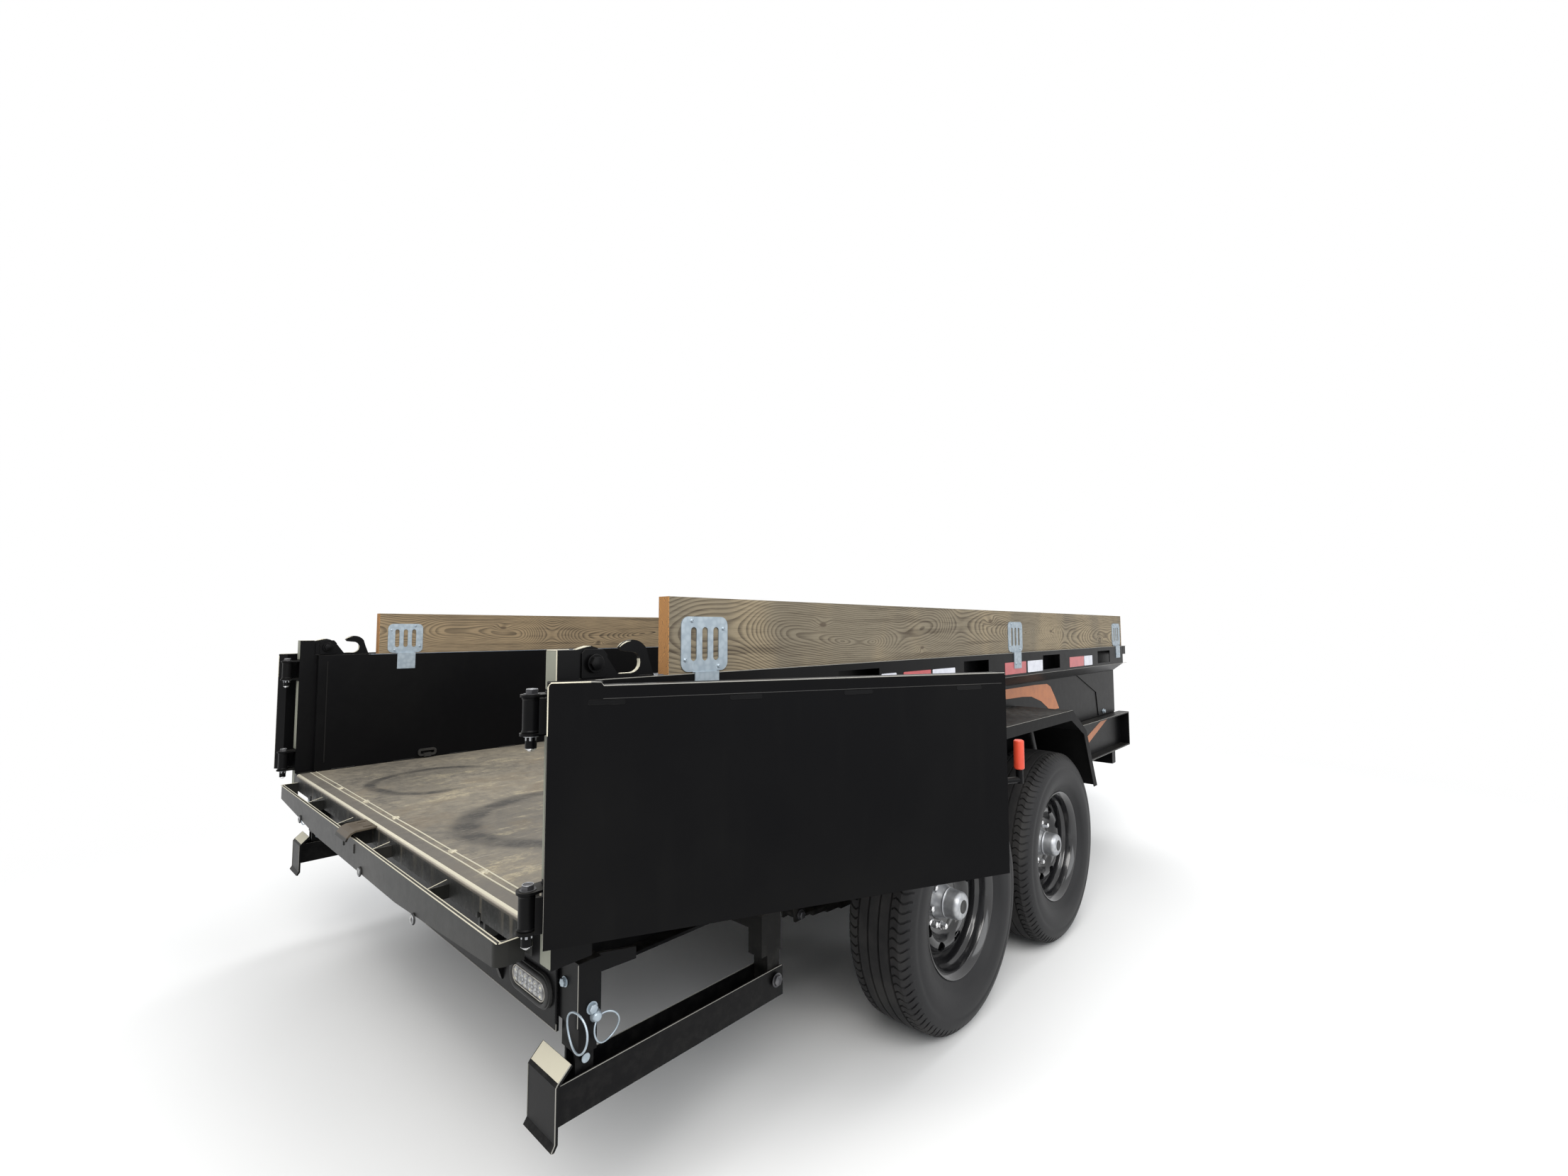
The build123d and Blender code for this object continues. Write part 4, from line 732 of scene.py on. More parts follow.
class Look(Enum):
    """The finishes on the trailer."""

    PAINT = BlackPaint("satin_black_paint")
    DOOR_PAINT = BlackPaint(
        "door_black_paint", roughness=0.42, dusty=0.2, peel=0.08, splash=0.0, gloss=0.05
    )
    GEAR_PAINT = BlackPaint(
        "running_gear_paint",
        colour=(0.009, 0.0088, 0.0085),
        roughness=0.55,
        dusty=0.55,
        peel=0.3,
        splash=0.22,
    )
    SILL_PAINT = BlackPaint(
        "scuffed_sill_paint", colour=(0.0085, 0.0088, 0.008), worn=(0.03, 0.028, 0.024),
        roughness=0.3, dusty=0.4, peel=0.2, splash=0.0, gloss=0.16, caked=0.682,
    )
    FENDER_PAINT = BlackPaint(
        "dusty_fender_paint", colour=(0.006, 0.006, 0.0062), dust=(0.11, 0.107, 0.1), roughness=0.5,
        dusty=0.62, peel=0.6, splash=0.1,
    )
    # Painted sunlit highlight: black paint made pale grey, with dust, for the posts' rear faces.
    SUNNED = BlackPaint(
        "sunlit_dusty_paint", colour=(0.2, 0.205, 0.165), worn=(0.29, 0.29, 0.23),
        dust=(0.4, 0.38, 0.3), roughness=0.5, dusty=0.3, peel=0.3, gloss=0.3,
    )
    # Cream lines: worn bare metal in the hook mouths and the floor seam's lines, and painted
    # highlights on the floor lip, door cap, ramp bar, stabiliser flanges and hook ear plates.
    CREAM = BlackPaint(
        "cream_worn_line", colour=(0.5, 0.47, 0.37), worn=(0.62, 0.58, 0.46),
        dust=(0.4, 0.36, 0.27), roughness=0.42, dusty=0.3, peel=0.2, gloss=0.35,
    )
    # Lighter, glossier paint for rounded edges and fine edge lines: worn paint and a painted
    # highlight.
    EDGE = BlackPaint(
        "rubbed_paint_edge", colour=(0.02, 0.0195, 0.019), worn=(0.045, 0.042, 0.038),
        roughness=0.24, dusty=0.2, peel=0.05, gloss=0.5,
    )
    FLOOR = WornFloor("worn_floor_steel")
    PINE = TreatedPine("treated_pine")
    TYRE = TyreRubber("tyre_rubber")
    WHEEL = GlossBlack("wheel_gloss_black")
    HUB = Metal(
        "cast_hub", (0.1, 0.1, 0.098), (0.07, 0.068, 0.066), roughness=0.5, metallic=0.6, dirty=0.5
    )
    CAP = Metal("hub_cap_steel", (0.46, 0.47, 0.48), (0.36, 0.37, 0.39), roughness=0.38, dirty=0.3)
    CHROME = Metal(
        "chrome", (0.72, 0.72, 0.73), (0.66, 0.66, 0.67), roughness=0.1, metallic=1.0, dirty=0.12
    )
    ZINC = Metal(
        "zinc_plate",
        (0.37, 0.43, 0.475),
        (0.3, 0.355, 0.4),
        roughness=0.36,
        metallic=0.7,
        dirty=0.1,
    )
    # Pale edge lines: worn paint on the edges, and painted highlights along them.
    PALE_EDGE = BlackPaint(
        "pale_rubbed_edge", colour=(0.2, 0.195, 0.175), worn=(0.3, 0.285, 0.25),
        dust=(0.3, 0.28, 0.24), roughness=0.35, dusty=0.3, peel=0.1, gloss=0.4,
    )
    DARK_STEEL = Metal(
        "oiled_steel", (0.12, 0.12, 0.125), (0.06, 0.06, 0.065), roughness=0.36, metallic=0.8
    )
    BARE = Metal(
        "bare_edge_steel", (0.5, 0.48, 0.44), (0.38, 0.36, 0.32), roughness=0.4, dirty=0.25
    )
    BEAD = Metal(
        "weld_bead", (0.5, 0.46, 0.35), (0.36, 0.33, 0.25), roughness=0.5, metallic=0.3, dirty=0.3
    )
    # Bluish colour for the rails' inner top edges: a painted reflection of the sky.
    SKY_EDGE = BlackPaint(
        "glossy_rail_edge", colour=(0.12, 0.145, 0.18), worn=(0.2, 0.22, 0.25),
        dust=(0.2, 0.2, 0.2), roughness=0.2, dusty=0.2, peel=0.05, gloss=0.5,
    )
    GRIP = Plastic("orange_red_grip", (0.56, 0.055, 0.022), (0.46, 0.04, 0.018), 0.34)
    STRIPE = Plastic("orange_stripe_film", (0.37, 0.115, 0.026), (0.31, 0.09, 0.02), 0.32, 0.04)
    RED_TAPE = ReflectiveTape("red_tape", (0.42, 0.045, 0.05), (0.3, 0.03, 0.035))
    WHITE_TAPE = ReflectiveTape("white_tape", (0.62, 0.63, 0.68), (0.46, 0.47, 0.53))
    GASKET = Plastic("black_rubber", (0.012, 0.012, 0.012), (0.02, 0.02, 0.02), 0.55, 0.2)
    LENS = LampLens("lamp_lens")


class Paintbox:
    """The trailer's materials, each made once."""

    def __init__(self) -> None:
        """Start with no materials made."""
        self._made: dict[Look, bpy.types.Material] = {}

    def get(self, look: Look) -> bpy.types.Material:
        """The material of a finish, made when it is first asked for."""
        if look not in self._made:
            self._made[look] = look.value.material()
        return self._made[look]

    def coat(self, thing: bpy.types.Object, look: Look) -> None:
        """Give an object one finish all over."""
        thing.data.materials.clear()
        thing.data.materials.append(self.get(look))


PAINTBOX = Paintbox()


def tilted(origin: Point, up: Point, ahead: Point = (1.0, 0.0, 0.0)) -> Matrix:
    """Matrix of a place whose local Z is up and whose local X is as near ahead as it can be.

    Args:
        origin: The place.
        up: Direction of the local Z.
        ahead: Wanted direction of the local X.

    Returns:
        The matrix from the local to the trailer's frame.
    """
    z = Vector(up).normalized()
    x = Vector(ahead) - z * Vector(ahead).dot(z)
    if x.length < 1e-6:
        x = z.orthogonal()
    x.normalize()
    y = z.cross(x)
    turn = Matrix((x, y, z)).transposed().to_4x4()
    return Matrix.Translation(origin) @ turn


class Form:
    """A mesh that is put together from solids in the trailer's frame."""

    def __init__(self) -> None:
        """Start with an empty mesh."""
        self.shape = bmesh.new()

    def prism(
        self,
        outline: Sequence[Flat],
        place: Matrix,
        depth: float,
        holes: Sequence[Sequence[Flat]] = (),
    ) -> None:
        """Add a flat outline with a thickness.

        Args:
            outline: Points of the outer line in the place's own X and Y.
            place: Matrix of the outline's plane.
            depth: Thickness along the place's Z.
            holes: Points of the lines of holes through it.
        """
        fresh = bmesh.new()
        for line in (outline, *holes):
            ring = [fresh.verts.new((x, y, 0.0)) for x, y in line]
            for first, second in zip(ring, ring[1:] + ring[:1]):
                fresh.edges.new((first, second))
        bmesh.ops.triangle_fill(
            fresh, use_beauty=True, use_dissolve=not holes, edges=fresh.edges[:]
        )
        grown = bmesh.ops.extrude_face_region(fresh, geom=fresh.faces[:])
        moved = [part for part in grown["geom"] if isinstance(part, bmesh.types.BMVert)]
        bmesh.ops.translate(fresh, verts=moved, vec=(0.0, 0.0, depth))
        bmesh.ops.recalc_face_normals(fresh, faces=fresh.faces[:])
        bmesh.ops.dissolve_limit(
            fresh, angle_limit=0.002, verts=fresh.verts[:], edges=fresh.edges[:]
        )
        self.take(fresh, place)

    def take(self, fresh: bmesh.types.BMesh, place: Matrix | None = None) -> None:
        """Add another mesh, moved to its place, and free it."""
        if place is not None:
            bmesh.ops.transform(fresh, matrix=place, verts=fresh.verts[:])
            if place.determinant() < 0:
                bmesh.ops.reverse_faces(fresh, faces=fresh.faces[:])
        holder = bpy.data.meshes.new("part_of_form")
        fresh.to_mesh(holder)
        fresh.free()
        self.shape.from_mesh(holder)
        bpy.data.meshes.remove(holder)

    def lathe(
        self, profile: Sequence[Flat], place: Matrix, steps: int, closed: bool = True
    ) -> None:
        """Add a turned solid round the place's Z.

        Args:
            profile: Points as radius and height.
            place: Matrix of the solid.
            steps: Number of segments round it.
            closed: Whether the profile's last point joins the first.
        """
        fresh = bmesh.new()
        rings = []
        for radius, height in profile:
            if radius < 1e-6:
                rings.append([fresh.verts.new((0.0, 0.0, height))] * steps)
            else:
                rings.append(
                    [fresh.verts.new((x, y, height)) for x, y in ring_of(steps, (radius,) * 2)]
                )
        pairs = list(zip(rings, rings[1:])) + ([(rings[-1], rings[0])] if closed else [])
        for first, second in pairs:
            for i in range(steps):
                j = (i + 1) % steps
                corners = list(dict.fromkeys((first[i], first[j], second[j], second[i])))
                if len(corners) > 2:
                    fresh.faces.new(corners)
        bmesh.ops.recalc_face_normals(fresh, faces=fresh.faces[:])
        self.take(fresh, place)

    def loft(self, rings: Sequence[Sequence[Point]], place: Matrix | None = None) -> None:
        """Add a solid through rings of equally many points, capped at both ends."""
        fresh = bmesh.new()
        made = [[fresh.verts.new(point) for point in ring] for ring in rings]
        for first, second in zip(made, made[1:]):
            for i in range(len(first)):
                j = (i + 1) % len(first)
                fresh.faces.new((first[i], first[j], second[j], second[i]))
        fresh.faces.new(made[0][::-1])
        fresh.faces.new(made[-1])
        bmesh.ops.recalc_face_normals(fresh, faces=fresh.faces[:])
        self.take(fresh, place)

    def sweep(
        self,
        points: Sequence[Point],
        radius: Union[float, Callable[[float], float]],
        sides: int = 10,
        closed: bool = False,
    ) -> None:
        """Add a round bar along a line of points.

        Args:
            points: The centre line.
            radius: The bar's radius, or a function of the share of its length.
            sides: Number of faces round it.
            closed: Whether the line is a loop.
        """
        line = [Vector(point) for point in points]
        count = len(line)
        fresh = bmesh.new()
        rings = []
        normal = None
        for i, point in enumerate(line):
            before = line[i - 1] if i > 0 or closed else point
            after = line[(i + 1) % count] if i < count - 1 or closed else point
            along = (after - before).normalized()
            normal = along.orthogonal() if normal is None else normal - along * normal.dot(along)
            normal.normalize()
            side = along.cross(normal)
            size = radius(i / max(1, count - 1)) if callable(radius) else radius
            rings.append(
                [
                    fresh.verts.new(
                        point
                        + normal * math.cos(2 * math.pi * k / sides) * size
                        + side * math.sin(2 * math.pi * k / sides) * size
                    )
                    for k in range(sides)
                ]
            )
        pairs = list(zip(rings, rings[1:])) + ([(rings[-1], rings[0])] if closed else [])
        for first, second in pairs:
            for k in range(sides):
                j = (k + 1) % sides
                fresh.faces.new((first[k], first[j], second[j], second[k]))
        if not closed:
            fresh.faces.new(rings[0][::-1])
            fresh.faces.new(rings[-1])
        bmesh.ops.recalc_face_normals(fresh, faces=fresh.faces[:])
        self.take(fresh)

    def bolt(
        self,
        place: Point,
        out: Point,
        across: float = 0.019,
        head: float = 0.009,
        washer: float = 0.002,
    ) -> None:
        """Add a hexagon head with its washer and a turned crown.

        Args:
            place: Centre of the washer's under side.
            out: Direction in which the head stands out.
            across: Width of the hexagon over its flats.
            head: Height of the head.
            washer: Thickness of the washer.
        """
        spot = tilted(place, out)
        if washer > 0:
            self.lathe(
                [
                    (0, 0),
                    (across * 0.72, 0),
                    (across * 0.74, washer * 0.5),
                    (across * 0.72, washer),
                    (0, washer),
                ],
                spot,
                20,
                closed=False,
            )
        corner = across / math.sqrt(3)
        for low, high, share, crown in (
            (washer, washer + head * 0.85, 1.0, 1.0),
            (washer + head * 0.85, washer + head, 1.0, 0.84),
        ):
            fresh = bmesh.new()
            rings = [
                [fresh.verts.new((x, y, height)) for x, y in ring_of(6, (corner * size,) * 2)]
                for height, size in ((low, share), (high, crown))
            ]
            for k in range(6):
                j = (k + 1) % 6
                fresh.faces.new((rings[0][k], rings[0][j], rings[1][j], rings[1][k]))
            fresh.faces.new(rings[1])
            self.take(fresh, spot)

    def bead(self, start: Point, end: Point, size: float = 0.004, pitch: float = 0.006) -> None:
        """Add a rippled weld bead along a straight line.

        Args:
            start: One end.
            end: The other end.
            size: Radius of the bead.
            pitch: Distance between ripples.
        """
        first, last = Vector(start), Vector(end)
        count = max(4, int((last - first).length / pitch) * 2)
        points = [tuple(first.lerp(last, i / count)) for i in range(count + 1)]
        self.sweep(
            points,
            lambda share: size * (
                1.0 if round(share * count) % 2 else 0.8
            ) * (0.55 if share in (0.0, 1.0) else 1.0),
            6,
        )

    def done(
        self, name: str, look: Look, body: str, entry: Slot, bevel: float = 0.0,
        smooth: float = 40.0,
    ) -> bpy.types.Object:
        """Turn the form into a piece of the trailer.

        Args:
            name: The piece's name.
            look: Its finish.
            body: The CAD body that it rides on.
            entry: The record's material slot; not used.
            bevel: Width of its rounded edges, or nought for none.
            smooth: Edges under this angle in degrees are smooth.

        Returns:
            The piece.
        """
        mesh = bpy.data.meshes.new(name)
        self.shape.to_mesh(mesh)
        self.shape.free()
        piece = bpy.data.objects.new(name, mesh)
        bpy.context.scene.collection.objects.link(piece)
        PAINTBOX.coat(piece, look)
        soften(piece, bevel, smooth)
        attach(piece, body)
        LOG.info("piece %s on %s: %d faces", name, body, len(mesh.polygons))
        return piece


def soften(
    thing: bpy.types.Object, bevel: float, smooth: float = 40.0, edge: Look | None = None
) -> None:
    """Round the sharp edges of an object and smooth what lies between them.

    Args:
        thing: The object.
        bevel: Width of the rounding, or nought for none.
        smooth: Edges under this angle in degrees are smooth.
        edge: Finish of the rounded edges, where it isn't the object's own.
    """
    mesh = thing.data
    mesh.shade_smooth()
    mesh.set_sharp_from_angle(angle=math.radians(smooth))
    if bevel > 0:
        rounding = thing.modifiers.new("rounded_edges", "BEVEL")
        rounding.width = bevel
        rounding.segments = 2
        rounding.limit_method = "ANGLE"
        rounding.angle_limit = math.radians(35)
        rounding.harden_normals = True
        rounding.use_clamp_overlap = True
        if edge is not None:
            mesh.materials.append(PAINTBOX.get(edge))
            rounding.material = 1


def ring_of(count: int, radius: Flat, centre: Flat = (0.0, 0.0)) -> list[Flat]:
    """Points round an ellipse.

    Args:
        count: Number of points.
        radius: Half widths along X and Y.
        centre: Centre.

    Returns:
        The points.
    """
    angles = (2 * math.pi * i / count for i in range(count))
    return [
        (centre[0] + radius[0] * math.cos(angle), centre[1] + radius[1] * math.sin(angle))
        for angle in angles
    ]


def slot_of(length: float, height: float, steps: int = 16) -> list[Flat]:
    """Points round a slot with half round ends, its length along X."""
    radius = height / 2
    reach = length / 2 - radius
    right = [
        (reach + radius * math.cos(a), radius * math.sin(a))
        for a in (math.pi * (i / steps - 0.5) for i in range(steps + 1))
    ]
    left = [(-x, -y) for x, y in right]
    return right + left


@dataclass
class Frame:
    """The carried over CAD nodes with their finishes and rounded edges."""

    looks: dict[str, Look] = field(
        default_factory=lambda: {
            "tyre": Look.TYRE,
            "rim": Look.WHEEL,
            "hub": Look.HUB,
            "side_board": Look.PINE,
            "board_brackets": Look.ZINC,
            "bed_floor": Look.FLOOR,
            "tail_lamps": Look.GASKET,
            "latch_grip": Look.GRIP,
            "latch_lever": Look.PAINT,
            "hoist_rod": Look.CHROME,
            "axles": Look.GEAR_PAINT,
            "leaf_springs": Look.GEAR_PAINT,
            "equalisers": Look.GEAR_PAINT,
            "spring_hangers": Look.GEAR_PAINT,
            "jack_leg": Look.ZINC,
            "ramp_bar": Look.SILL_PAINT,
            "door": Look.DOOR_PAINT,
            "arm_brackets": Look.GEAR_PAINT,
            "tie_rings": Look.EDGE,
            "fender": Look.FENDER_PAINT,
        }
    )
    bevels: dict[str, float] = field(
        default_factory=lambda: {
            "tyre": 0.0, "rim": 0.0, "hub": 0.0, "bed_side": 0.0012, "bed_floor": 0.0012,
            "board_brackets": 0.0008, "fender": 0.0012, "leaf_springs": 0.0, "axles": 0.001,
            "hoist": 0.0015, "tail_lamps": 0.0025, "side_board": 0.003, "tongue": 0.005,
            "rear_post": 0.0025, "door": 0.002, "ramp_bar": 0.002, "latch_grip": 0.0,
            "tool_box": 0.0012, "coupler": 0.004,
        }
    )
    # Rounded edges of these nodes take the lighter edge paint: worn paint and a painted highlight.
    edges: dict[str, Look] = field(
        default_factory=lambda: {
            "bed_side": Look.EDGE, "rear_post": Look.EDGE, "door_right": Look.EDGE,
            "door_left": Look.EDGE, "door_hinges": Look.EDGE, "rear_panel": Look.EDGE,
            "fender": Look.EDGE, "side_channel": Look.EDGE, "stabiliser": Look.EDGE,
            "ramp_bar": Look.EDGE, "tongue": Look.EDGE, "coupler": Look.EDGE,
            "bed_bulkhead": Look.EDGE, "latch_lever": Look.EDGE, "tool_box": Look.EDGE,
        }
    )

    def dress(self, nodes: dict[str, bpy.types.Object]) -> None:
        """Coat every node and round its edges.

        Args:
            nodes: The CAD nodes by name.
        """
        for name, node in sorted(nodes.items()):
            look = self._longest(self.looks, name, Look.PAINT)
            PAINTBOX.coat(node, look)
            soften(
                node,
                self._longest(self.bevels, name, 0.0015),
                35.0,
                edge=self._longest(self.edges, name, None),
            )
            LOG.info("node %s in %s", name, look.name)

    @staticmethod
    def _longest(table: dict, name: str, otherwise: object) -> object:
        """Entry of a table whose key is the longest one that a name starts with."""
        keys = [key for key in table if name.startswith(key)]
        return table[max(keys, key=len)] if keys else otherwise


@dataclass
class Wheel:
    """Detailed tyre, rim, nuts and hub cap of every wheel, sharing their meshes."""

    centre_half: float = 1.163
    half_width: float = 0.1175
    bead: float = 0.2033
    groove_places: tuple[float, ...] = (-0.0545, -0.0185, 0.0185, 0.0545)
    groove_half: float = 0.0036
    groove_depth: float = 0.0085
    pitches: int = 88
    tread_half: float = 0.0835
    nuts: int = 8
    nut_circle: float = 0.0825
    hand_holes: int = 8

    def _tread_radius(self, across: float) -> float:
        """Outer radius of the tread at a distance across from its middle."""
        return WHEEL_RADIUS - 0.0006 - 0.0036 * (across / self.tread_half) ** 2

    def _lines(self) -> list[tuple[float, float, float]]:
        """Lines round the tyre as across, radius and how deep a shoulder slot may go there."""
        half = self.half_width
        wall = [
            (-0.0795, self.bead + 0.0006),
            (-0.0805, self.bead + 0.014),
            (-0.0845, self.bead + 0.0185),
            (-0.0885, self.bead + 0.0195),
            (-0.0935, self.bead + 0.026),
            (-0.1035, self.bead + 0.045),
            (-0.1062, self.bead + 0.048),
            (-0.1112, self.bead + 0.062),
            (-half + 0.0008, self.bead + 0.082),
            (-half, self.bead + 0.097),
            (-half + 0.0012, self.bead + 0.112),
            (-half + 0.003, self.bead + 0.120),
            (-half + 0.0022, self.bead + 0.1225),
            (-half + 0.0035, self.bead + 0.134),
            (-half + 0.0085, self.bead + 0.150),
        ]
        lines = [(across, reach, 0.0) for across, reach in wall]
        lines += [
            (-0.1035, self.bead + 0.1585, 0.004),
            (-0.0965, self.bead + 0.1665, 0.006),
            (-0.0885, self.bead + 0.1745, 0.0065),
        ]
        lines.append((-self.tread_half, self._tread_radius(self.tread_half), 0.0065))
        inner: list[tuple[float, float, float]] = []
        for place in self.groove_places:
            low, high = place - self.groove_half, place + self.groove_half
            shoulder = abs(place) > 0.04
            outer_depth = 0.0065 if shoulder and place < 0 else 0.0
            inner_depth = 0.0065 if shoulder and place > 0 else 0.0
            inner.append((low, self._tread_radius(low), outer_depth))
            inner.append((low + 0.0012, self._tread_radius(low) - self.groove_depth, 0.0))
            inner.append((high - 0.0012, self._tread_radius(high) - self.groove_depth, 0.0))
            inner.append((high, self._tread_radius(high), inner_depth))
        spread = [-0.075, -0.0665, 0.0665, 0.075, -0.0365, 0.0365, 0.0]
        inner += [(y, self._tread_radius(y), 0.0065 if abs(y) > 0.06 else 0.0) for y in spread]
        lines += sorted(inner)
        lines += [(-across, reach, depth) for across, reach, depth in reversed(lines[:19])]
        return lines

    def _shift(self, across: float) -> float:
        """Turn of a shoulder slot along the tread, in pitches, which makes it a wave."""
        away = abs(across)
        if away < 0.0581:
            return 0.0
        share = (away - 0.0581) / (0.1035 - 0.0581)
        return (0.22 * math.sin(share * 2.2 * math.pi)) * (1 if across > 0 else -1)

    def tyre_mesh(self) -> bpy.types.Mesh:
        """Mesh of one tyre round the Y axis at the origin."""
        shape = bmesh.new()
        lines = self._lines()
        fractions = (0.0, 0.30, 0.36, 0.50, 0.56, 0.78)
        slots = (0, 0, 1, 1, 0, 0)
        rings = []
        for across, reach, depth in lines:
            ring = []
            for pitch in range(self.pitches):
                for fraction, cut in zip(fractions, slots):
                    angle = 2 * math.pi * (pitch + fraction + self._shift(across)) / self.pitches
                    radius = reach - (depth if cut else 0.0)
                    ring.append(
                        shape.verts.new(
                            (radius * math.cos(angle), across, radius * math.sin(angle))
                        )
                    )
            rings.append(ring)
        for first, second in list(zip(rings, rings[1:])) + [(rings[-1], rings[0])]:
            count = len(first)
            for i in range(count):
                j = (i + 1) % count
                shape.faces.new((first[i], first[j], second[j], second[i]))
        bmesh.ops.recalc_face_normals(shape, faces=shape.faces[:])
        mesh = bpy.data.meshes.new("tyre_with_tread")
        shape.to_mesh(mesh)
        shape.free()
        return mesh

    def rim_form(self) -> Form:
        """One pressed steel rim round the Z axis, its outer face up."""
        form = Form()
        barrel = [
            (0.2215, 0.0865), (0.2222, 0.0895), (0.2205, 0.0915), (0.2165, 0.0905), (0.2085, 0.083),
            (0.2035, 0.0795), (0.1995, 0.072), (0.1985, 0.052), (0.1965, 0.046), (0.1905, 0.041),
            (0.1885, 0.036), (0.1878, 0.02), (0.1862, 0.014), (0.1815, 0.009), (0.1795, 0.003),
            (0.1795, -0.03), (0.187, -0.04), (0.1985, -0.046), (0.1985, -0.078), (0.206, -0.083),
            (0.2165, -0.0875), (0.2215, -0.0885), (0.2215, -0.0835), (0.2045, -0.079),
            (0.2028, -0.072), (0.2028, -0.043), (0.189, -0.034), (0.1838, -0.028), (0.1838, 0.0),
            (0.1868, 0.006), (0.1905, 0.012), (0.1925, 0.018), (0.1925, 0.034), (0.195, 0.0385),
            (0.2, 0.042), (0.2028, 0.05), (0.2028, 0.072), (0.2045, 0.078), (0.2105, 0.081),
            (0.2175, 0.0865),
        ]
        form.lathe(barrel, Matrix.Identity(4), 96)
        dish = [
            (0.062, -0.0015), (0.062, 0.006), (0.0665, 0.0072), (0.098, 0.0072), (0.1035, 0.0085),
            (0.109, 0.0135), (0.1145, 0.0235), (0.1195, 0.0325), (0.1255, 0.0385), (0.1345, 0.0405),
            (0.1455, 0.0385), (0.1545, 0.0325), (0.1605, 0.0225), (0.1655, 0.0125),
            (0.1705, 0.0065), (0.1775, 0.0035), (0.1835, 0.0035), (0.1835, -0.0025),
            (0.1755, -0.0025), (0.1675, 0.0005), (0.1615, 0.0065), (0.1565, 0.0165),
            (0.1515, 0.0265), (0.1435, 0.0325), (0.1345, 0.034), (0.1275, 0.0325), (0.1235, 0.0275),
            (0.1185, 0.0175), (0.1125, 0.0065), (0.1065, 0.0005), (0.099, -0.0015),
        ]
        solid = Form()
        solid.lathe(dish, Matrix.Identity(4), 144)
        cutter = Form()
        for k in range(self.hand_holes):
            angle = 2 * math.pi * (k + 0.5) / self.hand_holes
            spot = Matrix.Rotation(angle, 4, "Z")
            cutter.prism(
                ring_of(28, (0.0145, 0.0215), (0.1375, 0.0)),
                spot @ Matrix.Translation((0, 0, -0.02)),
                0.09,
            )
        form.take(self._cut(solid, cutter))
        return form

    @staticmethod
    def _cut(solid: Form, cutter: Form) -> bmesh.types.BMesh:
        """Mesh of a form with another form taken out of it."""
        holders = []
        for name, part in (("solid", solid), ("cutter", cutter)):
            mesh = bpy.data.meshes.new(name)
            part.shape.to_mesh(mesh)
            part.shape.free()
            holder = bpy.data.objects.new(name, mesh)
            bpy.context.scene.collection.objects.link(holder)
            holders.append(holder)
        step = holders[0].modifiers.new("cut", "BOOLEAN")
        step.operation = "DIFFERENCE"
        step.solver = "EXACT"
        step.object = holders[1]
        bpy.context.view_layer.update()
        shown = holders[0].evaluated_get(bpy.context.evaluated_depsgraph_get())
        result = bmesh.new()
        result.from_mesh(shown.to_mesh())
        shown.to_mesh_clear()
        for holder in holders:
            mesh = holder.data
            bpy.data.objects.remove(holder)
            bpy.data.meshes.remove(mesh)
        return result

    def nut_form(self) -> Form:
        """Eight chromed nuts on their studs, round the Z axis."""
        form = Form()
        for k in range(self.nuts):
            angle = 2 * math.pi * k / self.nuts
            place = (self.nut_circle * math.cos(angle), self.nut_circle * math.sin(angle), 0.0068)
            spot = Matrix.Translation(place) @ Matrix.Rotation(angle, 4, "Z")
            form.lathe(
                [(0, 0), (0.0145, 0), (0.0145, 0.002), (0.0125, 0.0045), (0, 0.0045)],
                spot,
                18,
                False,
            )
            fresh = bmesh.new()
            steps = ((0.0030, 1.0), (0.0185, 1.0), (0.0225, 0.86), (0.0252, 0.55), (0.0262, 0.12))
            rings = [
                [fresh.verts.new((x, y, height)) for x, y in ring_of(6, (0.0122 * size,) * 2)]
                for height, size in steps
            ]
            for first, second in zip(rings, rings[1:]):
                for n in range(6):
                    j = (n + 1) % 6
                    fresh.faces.new((first[n], first[j], second[j], second[n]))
            fresh.faces.new(rings[-1])
            form.take(fresh, spot)
        return form

    def cap_form(self) -> Form:
        """Pressed hub cap round the Z axis, with its rolled foot."""
        form = Form()
        form.lathe(
            [
                (0.0595, 0.003), (0.0605, 0.0065), (0.0575, 0.0115), (0.0485, 0.034),
                (0.0478, 0.0365), (0.0492, 0.0385), (0.0492, 0.0415), (0.0472, 0.0435),
                (0.0462, 0.0475), (0.0458, 0.0755), (0.0442, 0.0838), (0.0398, 0.0895),
                (0.0335, 0.0925), (0.0215, 0.0928), (0.0205, 0.0915), (0.0, 0.0915),
            ],
            Matrix.Identity(4),
            56,
            False,
        )
        return form

    def plug_form(self) -> Form:
        """Rubber plug in the middle of the cap."""
        form = Form()
        form.lathe(
            [
                (0.0212, 0.0913),
                (0.0212, 0.0932),
                (0.0198, 0.0942),
                (0.0125, 0.0942),
                (0.0112, 0.0932),
                (0.0, 0.0932),
            ],
            Matrix.Identity(4),
            32,
            False,
        )
        return form

